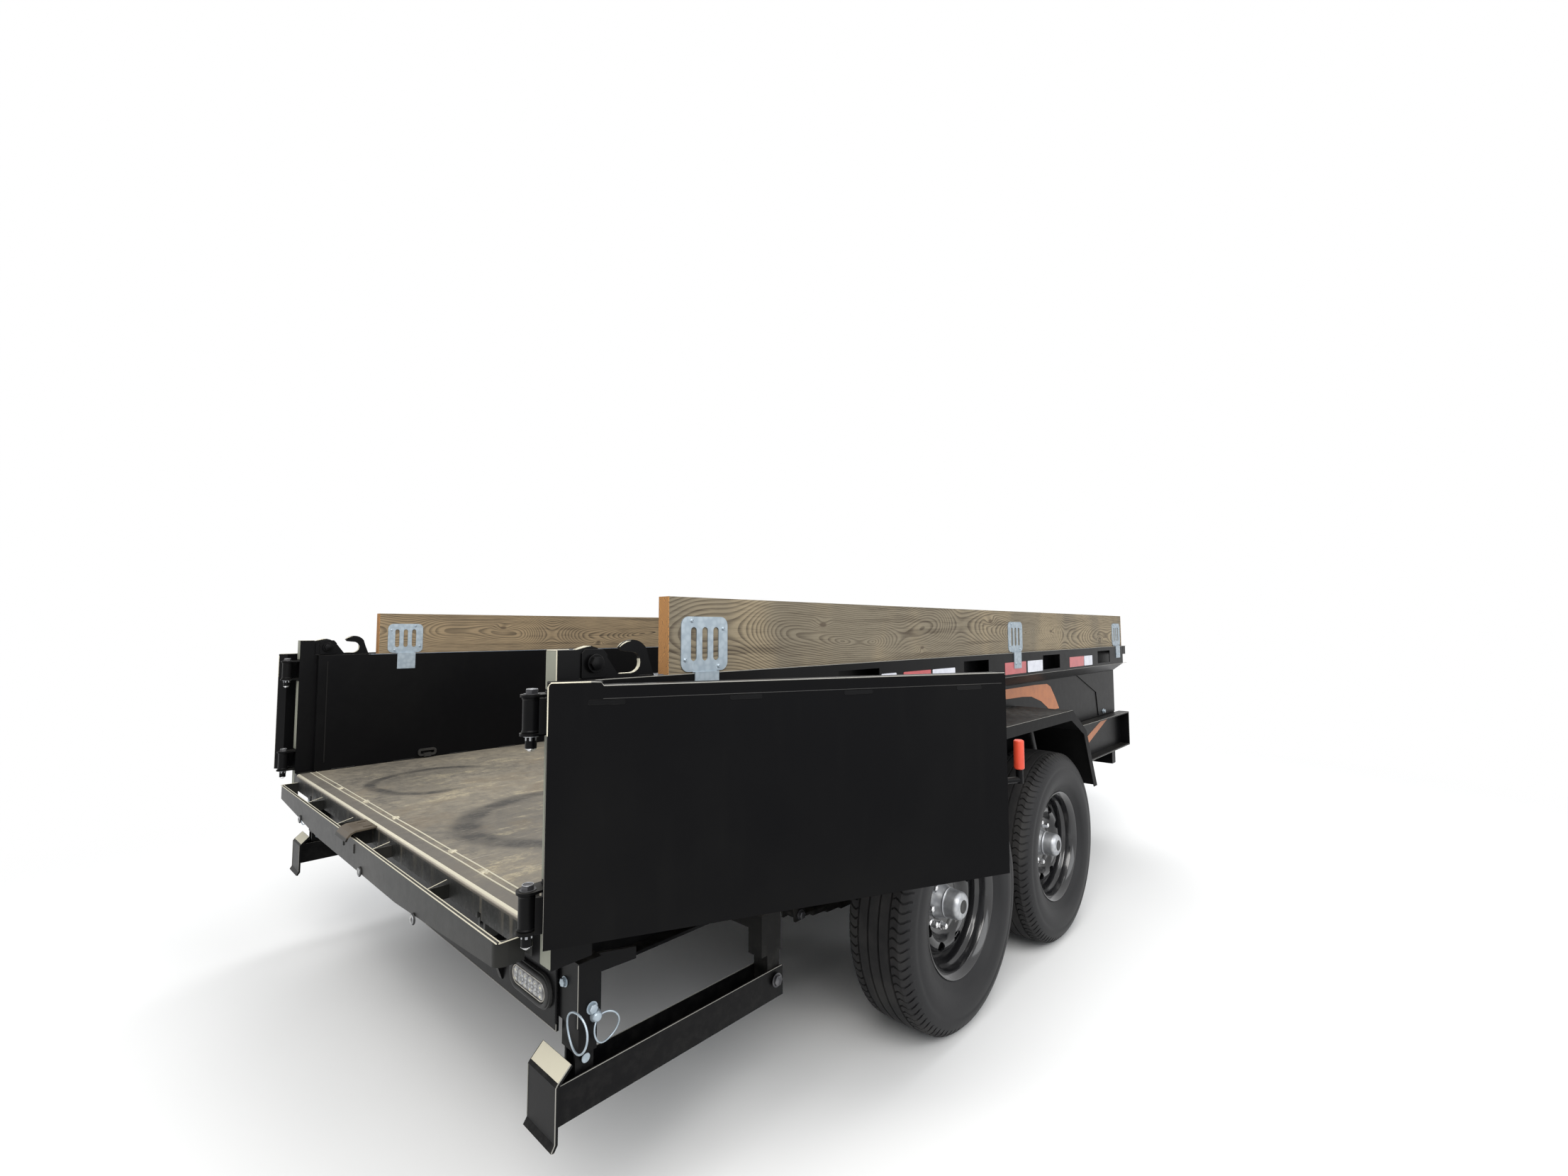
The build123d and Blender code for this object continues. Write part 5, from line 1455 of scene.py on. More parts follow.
    def build(self) -> None:
        """Build the four wheels."""
        tyre = self.tyre_mesh()
        tyre.materials.append(PAINTBOX.get(Look.TYRE))
        tyre.shade_smooth()
        tyre.set_sharp_from_angle(angle=math.radians(32))
        parts = [
            ("rim_pressed", self.rim_form(), Look.WHEEL, Slot.WHEEL, 40.0),
            ("wheel_nuts", self.nut_form(), Look.CHROME, Slot.CHROME, 28.0),
            ("hub_cap", self.cap_form(), Look.CAP, Slot.HUB, 40.0),
            ("cap_plug", self.plug_form(), Look.GASKET, Slot.RUBBER, 40.0),
        ]
        meshes = []
        for name, form, look, slot, smooth in parts:
            mesh = bpy.data.meshes.new(name)
            form.shape.to_mesh(mesh)
            form.shape.free()
            mesh.materials.append(PAINTBOX.get(look))
            mesh.shade_smooth()
            mesh.set_sharp_from_angle(angle=math.radians(smooth))
            meshes.append((name, mesh, slot))
        for axle, station in AXLE_STATIONS.items():
            for side in Side:
                label = f"{axle}_{side.label}"
                centre = side.spot(station, self.centre_half, WHEEL_RADIUS)
                outward = tilted(centre, side.out())
                piece = self._place(
                    "tyre_tread_" + label, tyre, Matrix.Translation(centre), label, Slot.RUBBER
                )
                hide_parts("tyre_" + label)
                for name, mesh, slot in meshes:
                    piece = self._place(f"{name}_{label}", mesh, outward, label, slot)
                    if name == "rim_pressed":
                        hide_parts("rim_" + label)

    @staticmethod
    def _place(
        name: str, mesh: bpy.types.Mesh, place: Matrix, label: str, entry: Slot
    ) -> bpy.types.Object:
        """Put a shared mesh on one wheel."""
        moved = mesh.copy()
        moved.transform(place)
        piece = bpy.data.objects.new(name, moved)
        bpy.context.scene.collection.objects.link(piece)
        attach(piece, "wheel_" + label)
        LOG.info("piece %s: %d faces", name, len(moved.polygons))
        return piece


@dataclass
class BedTrim:
    """Tape, stripes, bolts, welds, and the bed's edge lines: painted highlights and a painted sky
    reflection.
    """

    rail_outer: float = 1.101
    rail_low: float = 1.091
    wall_outer: float = 1.039
    red_tapes: tuple[Flat, ...] = ((0.44, 0.63), (1.281, 1.462), (2.081, 2.303), (2.851, 3.064))
    white_tapes: tuple[Flat, ...] = (
        (0.636, 0.83), (1.148, 1.237), (1.474, 1.641), (2.321, 2.495), (3.07, 3.2)
    )
    seam: tuple[float, ...] = (0.0475, 0.0665)
    weld_spots: tuple[Flat, ...] = (
        (0.059, -0.671), (0.062, -0.45), (0.060, 0.314), (0.064, 0.016), (0.055, 0.61)
    )
    swoosh: tuple[Flat, ...] = (
        (0.95, 1.028), (1.60, 1.030), (2.205, 1.029), (2.56, 1.028), (2.70, 1.024), (2.745, 1.008),
        (2.80, 0.955), (2.856, 0.889), (2.73, 0.889), (2.703, 0.905), (2.62, 0.944), (2.505, 0.975),
        (2.40, 0.982), (2.203, 0.985), (1.60, 0.989), (0.95, 0.993),
    )

    def build(self) -> None:
        """Build the trim of both sides."""
        for side in Side:
            self._tape(side)
            self._swoosh(side)
            self._wall_fasteners(side)
        self._lip()
        self._seam()
        self._rail_lines()
        self._inner_welds()

    def _tape(self, side: Side) -> None:
        """Red and white tape between the rail's pockets."""
        place = side_facing(0.0, side, self.rail_outer, self.rail_low + 0.038)
        for name, look, spans in (
            ("red", Look.RED_TAPE, self.red_tapes), ("white", Look.WHITE_TAPE, self.white_tapes)
        ):
            form = Form()
            for low, high in spans:
                corner = 0.003
                form.prism(
                    [
                        (low + corner, -0.026), (high - corner, -0.026), (high, -0.026 + corner),
                        (high, 0.026 - corner), (high - corner, 0.026), (low + corner, 0.026),
                        (low, 0.026 - corner), (low, -0.026 + corner),
                    ],
                    place,
                    0.0006,
                )
            form.done(f"tape_{name}_{side.label}", look, "bed", Slot.PAINT)

    def _swoosh(self, side: Side) -> None:
        """Orange film stripe on the bed's wall."""
        form = Form()
        form.prism(self.swoosh, side_facing(0.0, side, self.wall_outer, 0.0), 0.0005)
        form.done(f"stripe_film_{side.label}", Look.STRIPE, "bed", Slot.PAINT)

    def _wall_fasteners(self, side: Side) -> None:
        """Bolt at the foot of the front cheek plate."""
        form = Form()
        form.bolt(side.spot(3.545, self.wall_outer + 0.004, 0.812), side.out(), 0.02, 0.01)
        form.done(f"cheek_bolt_{side.label}", Look.ZINC, "bed", Slot.ZINC, 0.0004)

    def _lip(self) -> None:
        """Painted highlight along the floor's rear lip: a cream strip on its rounded edge."""
        form = Form()
        arc = [math.radians(92 + 46 * k / 8) for k in range(9)]
        outline = [
            (0.009 + radius * math.cos(angle), 0.697 + radius * math.sin(angle))
            for radius, angles in ((0.0096, arc), (0.0085, arc[::-1]))
            for angle in angles
        ]
        place = Matrix(((1, 0, 0, at(0)), (0, 0, 1, -1.03), (0, 1, 0, 0), (0, 0, 0, 1)))
        form.prism(outline, place, 2.06)
        form.done("floor_lip_edge", Look.CREAM, "bed", Slot.FLOOR)

    def _seam(self) -> None:
        """Twin cream lines of the seam across the floor, with their weld spots."""
        form, spots = Form(), Form()
        for station in self.seam:
            line = []
            for k in range(49):
                share = k / 48
                line.append(
                    (
                        at(station + 0.0006 * math.sin(share * 31.0 + station * 400)),
                        -1.03 + 2.06 * share,
                        0.7064,
                    )
                )
            form.sweep(line, 0.0019, 8)
        form.done("floor_seam_lines", Look.CREAM, "bed", Slot.FLOOR)
        for number, (station, across) in enumerate(self.weld_spots):
            for k in range(5):
                turn = 2.4 * k + number
                place = (
                    at(station + 0.006 * math.cos(turn) * (k > 0)),
                    across + 0.009 * math.sin(turn) * (k > 0),
                    0.7058,
                )
                size = 0.0062 + 0.002 * math.sin(3.0 * k + number)
                spots.lathe(
                    [
                        (0.0, 0.0),
                        (size, 0.0),
                        (size * 0.9, size * 0.35),
                        (size * 0.5, size * 0.62),
                        (0.0, size * 0.7),
                    ],
                    tilted(place, (0, 0, 1)),
                    14,
                    closed=False,
                )
        spots.done("floor_seam_weld_spots", Look.BEAD, "bed", Slot.FLOOR)

    def _rail_lines(self) -> None:
        """Pale outer edge lines of the top rails, worn paint with painted highlight, and bluish
        inner edge lines that are a painted sky reflection.
        """
        form, glossy = Form(), Form()
        for side in Side:
            for reach, high in (
                (self.rail_outer - 0.0006, RAIL_TOP - 0.0004),
                (self.rail_outer - 0.0006, self.rail_low + 0.0006),
            ):
                form.sweep([side.spot(0.095, reach, high), side.spot(3.832, reach, high)], 0.001, 6)
            # Bluish lines on the inner top edges: a painted sky reflection.
            glossy.sweep(
                [
                    side.spot(0.255, 1.0356, RAIL_TOP - 0.0002),
                    side.spot(3.80, 1.0356, RAIL_TOP - 0.0002),
                ],
                0.0016,
                8,
            )
            glossy.sweep(
                [
                    side.spot(0.262, 1.0735, RAIL_TOP - 0.0001),
                    side.spot(0.322, 1.0735, RAIL_TOP - 0.0001),
                ],
                0.0013,
                8,
            )
        form.done("rail_pale_edges", Look.PALE_EDGE, "bed", Slot.PAINT)
        glossy.done("rail_glossy_edges", Look.SKY_EDGE, "bed", Slot.PAINT)

    def _inner_welds(self) -> None:
        """Beads where the floor meets the walls and the bulkhead."""
        form = Form()
        for side in Side:
            step = 0.12
            while step < 3.62:
                form.bead(
                    side.spot(step, 1.0335, 0.7075), side.spot(step + 0.09, 1.0335, 0.7075), 0.0036
                )
                step += 0.24
            form.bead(side.spot(0.0935, 1.0345, 0.74), side.spot(0.0935, 1.0345, 1.17), 0.003)
        form.done("floor_edge_welds", Look.GEAR_PAINT, "bed", Slot.FLOOR)


def rear_facing(station: float, across: float, high: float) -> Matrix:
    """Place on a face that looks back: local X runs to the right, Y up and Z to the rear."""
    return Matrix(((0, 0, -1, at(station)), (-1, 0, 0, across), (0, 1, 0, high), (0, 0, 0, 1)))


def side_facing(station: float, side: Side, reach: float, high: float) -> Matrix:
    """Place on a face that looks out to one side: local X runs forward, Y up and Z outward."""
    return Matrix(
        (
            (1, 0, 0, at(station)),
            (0, 0, side.value, side.value * reach),
            (0, 1, 0, high),
            (0, 0, 0, 1),
        )
    )


@dataclass
class RearLamps:
    """Lenses of the tail lamps with their rubber lips and rows of diodes."""

    face: float = 0.0482
    length: float = 0.141
    height: float = 0.034
    rows: tuple[float, ...] = (-0.0075, 0.0, 0.0075)
    columns: int = 8
    pitch: float = 0.0145

    def build(self) -> None:
        """Build both lamps."""
        for side in Side:
            place = rear_facing(self.face, side.value * LAMP_HALF_Y, LAMP_HEIGHT)
            self._lens(side, place)
            self._lip(side, place)

    def _lens(self, side: Side, place: Matrix) -> None:
        """Domed lens and the bright cups of its diodes."""
        lens = Form()
        steps = ((0.0, 0.0), (0.0022, 0.0), (0.0036, 0.002), (0.0044, 0.006))
        lens.loft(
            [
                [
                    (x, y, rise)
                    for x, y in slot_of(self.length - 2 * inset, self.height - 2 * inset, 12)
                ]
                for rise, inset in steps
            ],
            place,
        )
        lens.done(f"lamp_lens_{side.label}", Look.LENS, "frame", Slot.LAMP, 0.0, 50.0)
        cups = Form()
        for row in self.rows:
            for column in range(self.columns):
                along = (column - (self.columns - 1) / 2) * self.pitch
                spot = place @ Matrix.Translation((along, row, 0.0042))
                cups.lathe(
                    [
                        (0.0, 0.0),
                        (0.0030, 0.0),
                        (0.0030, 0.0006),
                        (0.0022, 0.0013),
                        (0.0009, 0.0017),
                        (0.0, 0.0018),
                    ],
                    spot,
                    12,
                    closed=False,
                )
        cups.done(f"lamp_diodes_{side.label}", Look.CAP, "frame", Slot.LAMP)

    def _lip(self, side: Side, place: Matrix) -> None:
        """Rolled rubber lip round the lens and the bright ring inside it."""
        for name, look, grow, rise, radius in (
            ("rubber_lip", Look.GASKET, 0.0105, 0.0012, 0.0052),
            ("bright_ring", Look.BARE, 0.0022, 0.0024, 0.0014),
        ):
            form = Form()
            line = [
                place @ Vector((x, y, rise))
                for x, y in slot_of(self.length + 2 * grow, self.height + 2 * grow, 12)
            ]
            form.sweep([tuple(point) for point in line], radius, 10, closed=True)
            form.done(f"lamp_{name}_{side.label}", look, "frame", Slot.LAMP)


@dataclass
class HingeHardware:
    """Slim barrels and leaves of the door hinges, with bolt heads, washers and tapered pin ends."""

    station: float = -0.038
    half_y: float = 1.088
    heights: tuple[float, ...] = (1.135, 0.760)
    half_height: float = 0.035
    plate: float = 0.005
    barrel: float = 0.0172
    bore: float = 0.0115

    def build(self) -> None:
        """Build the hardware of both sides."""
        for side in Side:
            self._barrels(side)
            self._fixed_hardware(side)

    def _barrels(self, side: Side) -> None:
        """Turned barrels with their collars, and the cranked leaves that carry the door."""
        form = Form()
        half = self.half_height - 0.0003
        profile = [
            (self.bore, -half),
            (self.barrel + 0.0012, -half),
            (self.barrel + 0.0016, -half + 0.0035),
            (self.barrel, -half + 0.0055),
            (self.barrel, half - 0.0055),
            (self.barrel + 0.0016, half - 0.0035),
            (self.barrel + 0.0012, half),
            (self.bore, half),
        ]
        trim = DoorTrim()
        for height in self.heights:
            form.lathe(profile, tilted(side.spot(self.station, self.half_y, height), (0, 0, 1)), 40)
            for near, far, low, high in (
                (0.0135, 0.073, 0.0245, 0.0325),
                (0.0135, 0.021, 0.004, 0.0245),
                (0.029, 0.073, 0.0325, 0.0378),
            ):
                corners = [(near, low), (far, low), (far, high), (near, high)]
                form.loft(
                    [
                        [
                            trim.spot(along, across, height + level, side)
                            for along, across in corners
                        ]
                        for level in (-half, half)
                    ]
                )
        piece = form.done(
            f"hinge_barrels_{side.label}", Look.PAINT, f"door_{side.label}", Slot.PAINT, 0.0012
        )
        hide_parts(f"door_hinges_{side.label}")

    def _fixed_hardware(self, side: Side) -> None:
        """Pins, washers and welds that stay with the post."""
        bolts, nuts, tips, beads = Form(), Form(), Form(), Form()
        for height in self.heights:
            spot = (at(self.station), side.value * self.half_y)
            top = height + self.half_height + self.plate
            low = height - self.half_height - self.plate
            bolts.bolt((*spot, top), (0, 0, 1), 0.022, 0.0085, 0.0016)
            nuts.bolt((*spot, low), (0, 0, -1), 0.021, 0.0085, 0.0022)
            # Thin bright ring on each bolt head's top edge: a painted highlight.
            nuts.sweep(
                [(*point, top + 0.0100) for point in ring_of(16, (0.0105, 0.0105), spot)],
                0.0008,
                6,
                closed=True,
            )
            tips.lathe(
                [
                    (0.0, 0.0),
                    (0.0108, 0.0),
                    (0.0112, 0.0012),
                    (0.0080, 0.0045),
                    (0.0040, 0.0078),
                    (0.0, 0.0084),
                ],
                tilted((*spot, low - 0.0242), (0, 0, -1)),
                20,
                closed=False,
            )
            for level in (low, top - self.plate):
                inner = side.value * (self.half_y - 0.018)
                outer = side.value * (self.half_y + 0.018)
                for rise in (0.0, self.plate):
                    beads.bead(
                        (at(-0.001), inner, level + rise), (at(-0.001), outer, level + rise), 0.0032
                    )
        bolts.done(f"hinge_bolts_{side.label}", Look.DARK_STEEL, "bed", Slot.ZINC, 0.0005)
        nuts.done(f"hinge_nuts_{side.label}", Look.CAP, "bed", Slot.ZINC, 0.0004)
        tips.done(f"hinge_pin_tips_{side.label}", Look.CHROME, "bed", Slot.ZINC)
        beads.done(f"hinge_welds_{side.label}", Look.PAINT, "bed", Slot.PAINT)


@dataclass
class PostFaces:
    """Rear faces of the rear posts lightened as a painted sunlit highlight, and cream lines:
    painted highlights on the corners and hook ear plates, worn bare metal in the hook mouths.
    """

    inner: float = 1.0695
    outer: float = 1.1105
    spans: tuple[Flat, ...] = ((0.642, 0.714), (0.806, 1.089), (1.181, 1.259))
    hook: Flat = (1.0733, 1.0827)
    mouth: tuple[Flat, ...] = (
        (0.168, 0.0086), (0.195, 0.0088), (0.2035, 0.0104), (0.2125, 0.0161), (0.2178, 0.0236),
        (0.2189, 0.0325), (0.2178, 0.0405),
    )
    crescents: tuple[tuple[Flat, ...], ...] = (
        ((0.1645, 0.0675), (0.172, 0.0738), (0.182, 0.0785), (0.193, 0.0805)),
        ((0.0545, 0.0628), (0.069, 0.0667), (0.082, 0.0700), (0.093, 0.0708)),
    )

    def build(self) -> None:
        """Build both posts' faces."""
        for side in Side:
            # Pale rear faces: a painted highlight where the sun lit the posts.
            faces = Form()
            for low, high in self.spans:
                place = rear_facing(
                    0.0, side.value * (self.inner + self.outer) / 2, (low + high) / 2
                )
                wide, tall, corner = (self.outer - self.inner) / 2, (high - low) / 2, 0.002
                faces.prism(
                    [
                        (-wide + corner, -tall), (wide - corner, -tall), (wide, -tall + corner),
                        (wide, tall - corner), (wide - corner, tall), (-wide + corner, tall),
                        (-wide, tall - corner), (-wide, -tall + corner),
                    ],
                    place,
                    0.0005,
                )
            faces.done(f"post_rear_faces_{side.label}", Look.SUNNED, "bed", Slot.PAINT)
            # Cream lines: painted highlights on the post's top corners and on crescents of the hook
            # ear plates, and worn bare metal round the hook mouth.
            lines = Form()
            top = RAIL_TOP + 0.0638
            for points in (
                [side.spot(0.001, self.inner, top), side.spot(0.001, self.outer, top)],
                [
                    side.spot(0.001, self.inner + 0.001, top),
                    side.spot(0.049, self.inner + 0.001, top),
                ],
                [side.spot(0.0008, self.outer, 1.184), side.spot(0.0008, self.outer, top)],
            ):
                lines.sweep(points, 0.0011, 8)
            outline = [(station, RAIL_TOP + rise) for station, rise in self.mouth]
            centre = Vector((0.190, RAIL_TOP + 0.034))
            near = [tuple(centre + (Vector(point) - centre) * 0.945) for point in outline]
            band = outline + near[::-1]
            place = side_facing(0.0, side, self.hook[0], 0.0)
            lines.prism(band, place, self.hook[1] - self.hook[0])
            for crescent in self.crescents:
                for reach in self.hook:
                    lines.sweep(
                        [side.spot(x, reach, RAIL_TOP + rise) for x, rise in crescent],
                        lambda share: 0.0004 + 0.0013 * math.sin(math.pi * share),
                        8,
                    )
            lines.done(f"post_cream_lines_{side.label}", Look.CREAM, "bed", Slot.PAINT)


@dataclass
class HookHardware:
    """Ear plates, bolts, nuts and weld beads of the chain hooks on the rear posts."""

    station: float = 0.099
    high: float = 1.230
    outer: float = 1.083
    inner: float = 1.073
    rod_end: float = 0.012

    def build(self) -> None:
        """Build the hardware of both sides."""
        for side in Side:
            plates = Form()
            outline = [
                (-0.029, -0.031), (0.027, -0.031), (0.033, -0.024), (0.033, 0.018), (0.022, 0.030),
                (-0.022, 0.030), (-0.029, 0.022),
            ]
            for reach in (self.outer, self.inner - 0.0035):
                place = side_facing(self.station, side, reach, self.high)
                plates.prism(outline, place, 0.0035, [ring_of(24, (0.0138, 0.0138))])
            plates.done(f"hook_ear_plates_{side.label}", Look.PAINT, "bed", Slot.PAINT, 0.0012)
            bolts = Form()
            for reach, way in ((self.outer + self.rod_end, 1), (self.inner - self.rod_end, -1)):
                bolts.bolt(
                    side.spot(self.station, reach, self.high), side.out(way), 0.027, 0.0085, 0.0015
                )
            bolts.done(f"hook_bolts_{side.label}", Look.PAINT, "bed", Slot.PAINT, 0.0006)
            beads = Form()
            for reach in (self.inner, self.outer):
                beads.bead(side.spot(0.052, reach, 1.197), side.spot(0.085, reach, 1.197), 0.0036)
                beads.bead(side.spot(0.051, reach, 1.200), side.spot(0.051, reach, 1.252), 0.0036)
                beads.bead(side.spot(0.215, reach, 1.197), side.spot(0.252, reach, 1.197), 0.0032)
            beads.done(f"hook_welds_{side.label}", Look.PAINT, "bed", Slot.PAINT)


@dataclass
class DoorTrim:
    """Weld slots, edge beads, stitch welds, latch rods and painted highlight lines on the edges of
    the barn doors.
    """

    axis_station: float = -0.038
    axis_half: float = 1.088
    turn: float = 244.0
    inner_face: float = 0.088
    back_face: float = 0.038
    start: float = 0.027
    end: float = 1.077
    low: float = 0.718
    top: float = 1.194
    slots: tuple[float, ...] = (0.134, 0.415, 0.676, 0.971)

    def spot(self, along: float, across: float, high: float, side: Side) -> Point:
        """Place of a point given in an open door's own directions."""
        turn = math.radians(self.turn)
        ahead = at(self.axis_station) - along * math.sin(turn) + across * math.cos(turn)
        out = self.axis_half - along * math.cos(turn) - across * math.sin(turn)
        return (ahead, side.value * out, high)

    def face(self, along: float, across: float, high: float, side: Side) -> Matrix:
        """Place on a door's inner face: local X along the door, Y up and Z out of the face."""
        origin = Vector(self.spot(along, across, high, side))
        ahead = Vector(self.spot(along + 1.0, across, high, side)) - origin
        out = Vector(self.spot(along, across + 1.0, high, side)) - origin
        return Matrix.Translation(origin) @ Matrix(
            (ahead, Vector((0, 0, 1)), out)
        ).transposed().to_4x4()

    def build(self) -> None:
        """Build the trim of both doors."""
        for side in Side:
            body = f"door_{side.label}"
            self._slots(side, body)
            self._lines(side, body)
            self._welds(side, body)
            self._latch(side, body)

    def _slots(self, side: Side, body: str) -> None:
        """Plug weld slots along the top of the skin, with their sunken middles."""
        form = Form()
        for along in self.slots:
            place = self.face(along, self.inner_face - 0.0001, 1.1625, side)
            form.prism(slot_of(0.070, 0.0085, 10), place, 0.0004)
            rim = [tuple(place @ Vector((x, y, 0.0004))) for x, y in slot_of(0.071, 0.0095, 8)]
            form.sweep(rim, 0.0006, 6, closed=True)
        form.done(f"door_slot_welds_{side.label}", Look.PAINT, body, Slot.PAINT)

    def _lines(self, side: Side, body: str) -> None:
        """Cream line on the cap at the hinge end, worn paint with a painted sunlit highlight, the
        pale edges beyond it, worn paint and painted highlight, and a thin painted highlight along
        the skin's fold.
        """
        cap_end, cap_top, reach = 0.1265, self.top + 0.0078, self.inner_face - 0.0012
        cream, pale = Form(), Form()
        # Cream line: worn paint and a painted sunlit highlight on the cap's corner.
        cream.sweep(
            [
                self.spot(self.start + 0.0006, reach, self.top - 0.09, side),
                self.spot(self.start + 0.0006, reach, cap_top - 0.008, side),
                self.spot(self.start + 0.002, reach, cap_top - 0.003, side),
                self.spot(self.start + 0.006, reach, cap_top, side),
                self.spot(cap_end - 0.022, reach, cap_top, side),
            ],
            0.0015,
            8,
        )
        pale.sweep(
            [
                self.spot(cap_end - 0.022, reach, cap_top, side),
                self.spot(cap_end - 0.003, reach, cap_top - 0.001, side),
                self.spot(cap_end + 0.002, reach, self.top, side),
                self.spot(self.end - 0.002, reach, self.top, side),
                self.spot(self.end - 0.0016, reach, self.top - 0.004, side),
            ],
            0.0014,
            8,
        )
        pale.sweep(
            [
                self.spot(self.start + 0.0006, reach, self.top - 0.091, side),
                self.spot(self.start + 0.0006, reach, self.low + 0.004, side),
            ],
            0.0012,
            8,
        )
        # Thin line along the skin's fold: a painted highlight.
        fold = [
            self.spot(self.start + 0.10, self.inner_face, 1.1695, side),
            self.spot(self.end - 0.012, self.inner_face, 1.1695, side),
        ]
        edge = Form()
        edge.sweep(fold, 0.0007, 6)
        cream.done(f"door_cream_line_{side.label}", Look.CREAM, body, Slot.PAINT)
        pale.done(f"door_pale_edges_{side.label}", Look.PALE_EDGE, body, Slot.PAINT)
        edge.done(f"door_fold_line_{side.label}", Look.EDGE, body, Slot.PAINT)

    def _welds(self, side: Side, body: str) -> None:
        """Beads round the tube frame and between skin and frame."""
        form = Form()
        for low in (self.low, (self.low + self.top) / 2 - 0.023, self.top - 0.046):
            for along in (
                self.start + 0.047,
                (self.start + self.end) / 2 - 0.024,
                (self.start + self.end) / 2 + 0.024,
                self.end - 0.047,
            ):
                form.bead(
                    self.spot(along, self.back_face + 0.0004, low + 0.004, side),
                    self.spot(along, self.back_face + 0.0004, low + 0.042, side),
                    0.0028,
                )
        stitch = self.start + 0.02
        while stitch < self.end - 0.06:
            for high in (self.low + 0.0002, self.top - 0.0002):
                form.bead(
                    self.spot(stitch, self.inner_face - 0.004, high, side),
                    self.spot(stitch + 0.045, self.inner_face - 0.004, high, side),
                    0.0018,
                )
            stitch += 0.135
        for high in (1.135, 0.760):
            for level in (-0.033, 0.033):
                form.bead(
                    self.spot(self.start + 0.002, self.back_face - 0.001, high + level, side),
                    self.spot(self.start + 0.044, self.back_face - 0.001, high + level, side),
                    0.0032,
                )
        form.done(f"door_welds_{side.label}", Look.DOOR_PAINT, body, Slot.PAINT)

    def _latch(self, side: Side, body: str) -> None:
        """Guides of the latch at the free edge of a door's outer face."""
        form = Form()
        for high in (self.low + 0.07, self.top - 0.07):
            place = self.face(self.end - 0.045, self.back_face, high, side)
            flip = place @ Matrix.Rotation(math.pi, 4, "X")
            form.prism(
                [
                    (-0.022, -0.03), (0.022, -0.03), (0.026, -0.024), (0.026, 0.024), (0.022, 0.03),
                    (-0.022, 0.03), (-0.026, 0.024), (-0.026, -0.024),
                ],
                flip,
                0.004,
                [
                    ring_of(16, (0.0045, 0.0045), (0.0, 0.018)),
                    ring_of(16, (0.0045, 0.0045), (0.0, -0.018)),
                ],
            )
            for rise in (-0.018, 0.018):
                form.bolt(
                    self.spot(self.end - 0.045, self.back_face - 0.004, high + rise, side),
                    tuple(Vector(self.spot(0, -1, 0, side)) - Vector(self.spot(0, 0, 0, side))),
                    0.011,
                    0.0045,
                    0.001,
                )
        form.done(f"door_guides_{side.label}", Look.PAINT, body, Slot.PAINT, 0.0008)


@dataclass
class Brackets:
    """Screws, folds and worn edges of the slotted board brackets."""

    stations: tuple[float, ...] = (0.400, 2.210, 3.660)
    width: float = 0.148
    height: float = 0.133
    low: float = 1.200
    outer: float = 1.092
    inner: float = 1.054
    plate: float = 0.003
    tongue_half: float = 0.038
    rail_outer: float = 1.1013
    screws: tuple[Flat, ...] = ((0.22, 0.075), (0.90, 0.22), (0.085, 0.785), (0.80, 0.915))

    def build(self) -> None:
        """Build the brackets' fasteners on both sides."""
        for side in Side:
            screws, folds = Form(), Form()
            for station in self.stations:
                for reach, way in ((self.outer + self.plate, 1), (self.inner - self.plate, -1)):
                    for share, drop in self.screws:
                        spot = side.spot(
                            station + way * (share - 0.5) * self.width,
                            reach,
                            self.low + self.height * (1 - drop),
                        )
                        self._screw(screws, spot, side.out(way))
                    for edge in (-1, 1):
                        x = at(station + edge * (self.tongue_half - 0.0005))
                        folds.sweep(
                            [
                                (x, side.value * (reach - way * 0.001), 1.2225),
                                (x, side.value * (reach - way * 0.0002), 1.203),
                            ],
                            0.0011,
                            6,
                        )
                fold = side.value * (self.rail_outer + 0.002)
                folds.sweep(
                    [
                        (at(station - self.tongue_half), fold, 1.1985),
                        (at(station + self.tongue_half), fold, 1.1985),
                    ],
                    0.0012,
                    8,
                )
                for edge in (-0.021, 0.021):
                    self._screw(
                        screws,
                        side.spot(station + edge, self.rail_outer + 0.0029, 1.148),
                        side.out(),
                    )
            screws.done(f"bracket_screws_{side.label}", Look.ZINC, "bed", Slot.ZINC)
            folds.done(f"bracket_folds_{side.label}", Look.ZINC, "bed", Slot.ZINC)

    @staticmethod
    def _screw(form: Form, spot: Point, out: Point) -> None:
        """Add a washer head screw with a hexagon socket's rim."""
        form.lathe(
            [
                (0.0, 0.0), (0.0052, 0.0), (0.0054, 0.0007), (0.0042, 0.0012), (0.0036, 0.0030),
                (0.0030, 0.0036), (0.0018, 0.0036), (0.0015, 0.0022), (0.0, 0.0022),
            ],
            tilted(spot, out),
            16,
            closed=False,
        )


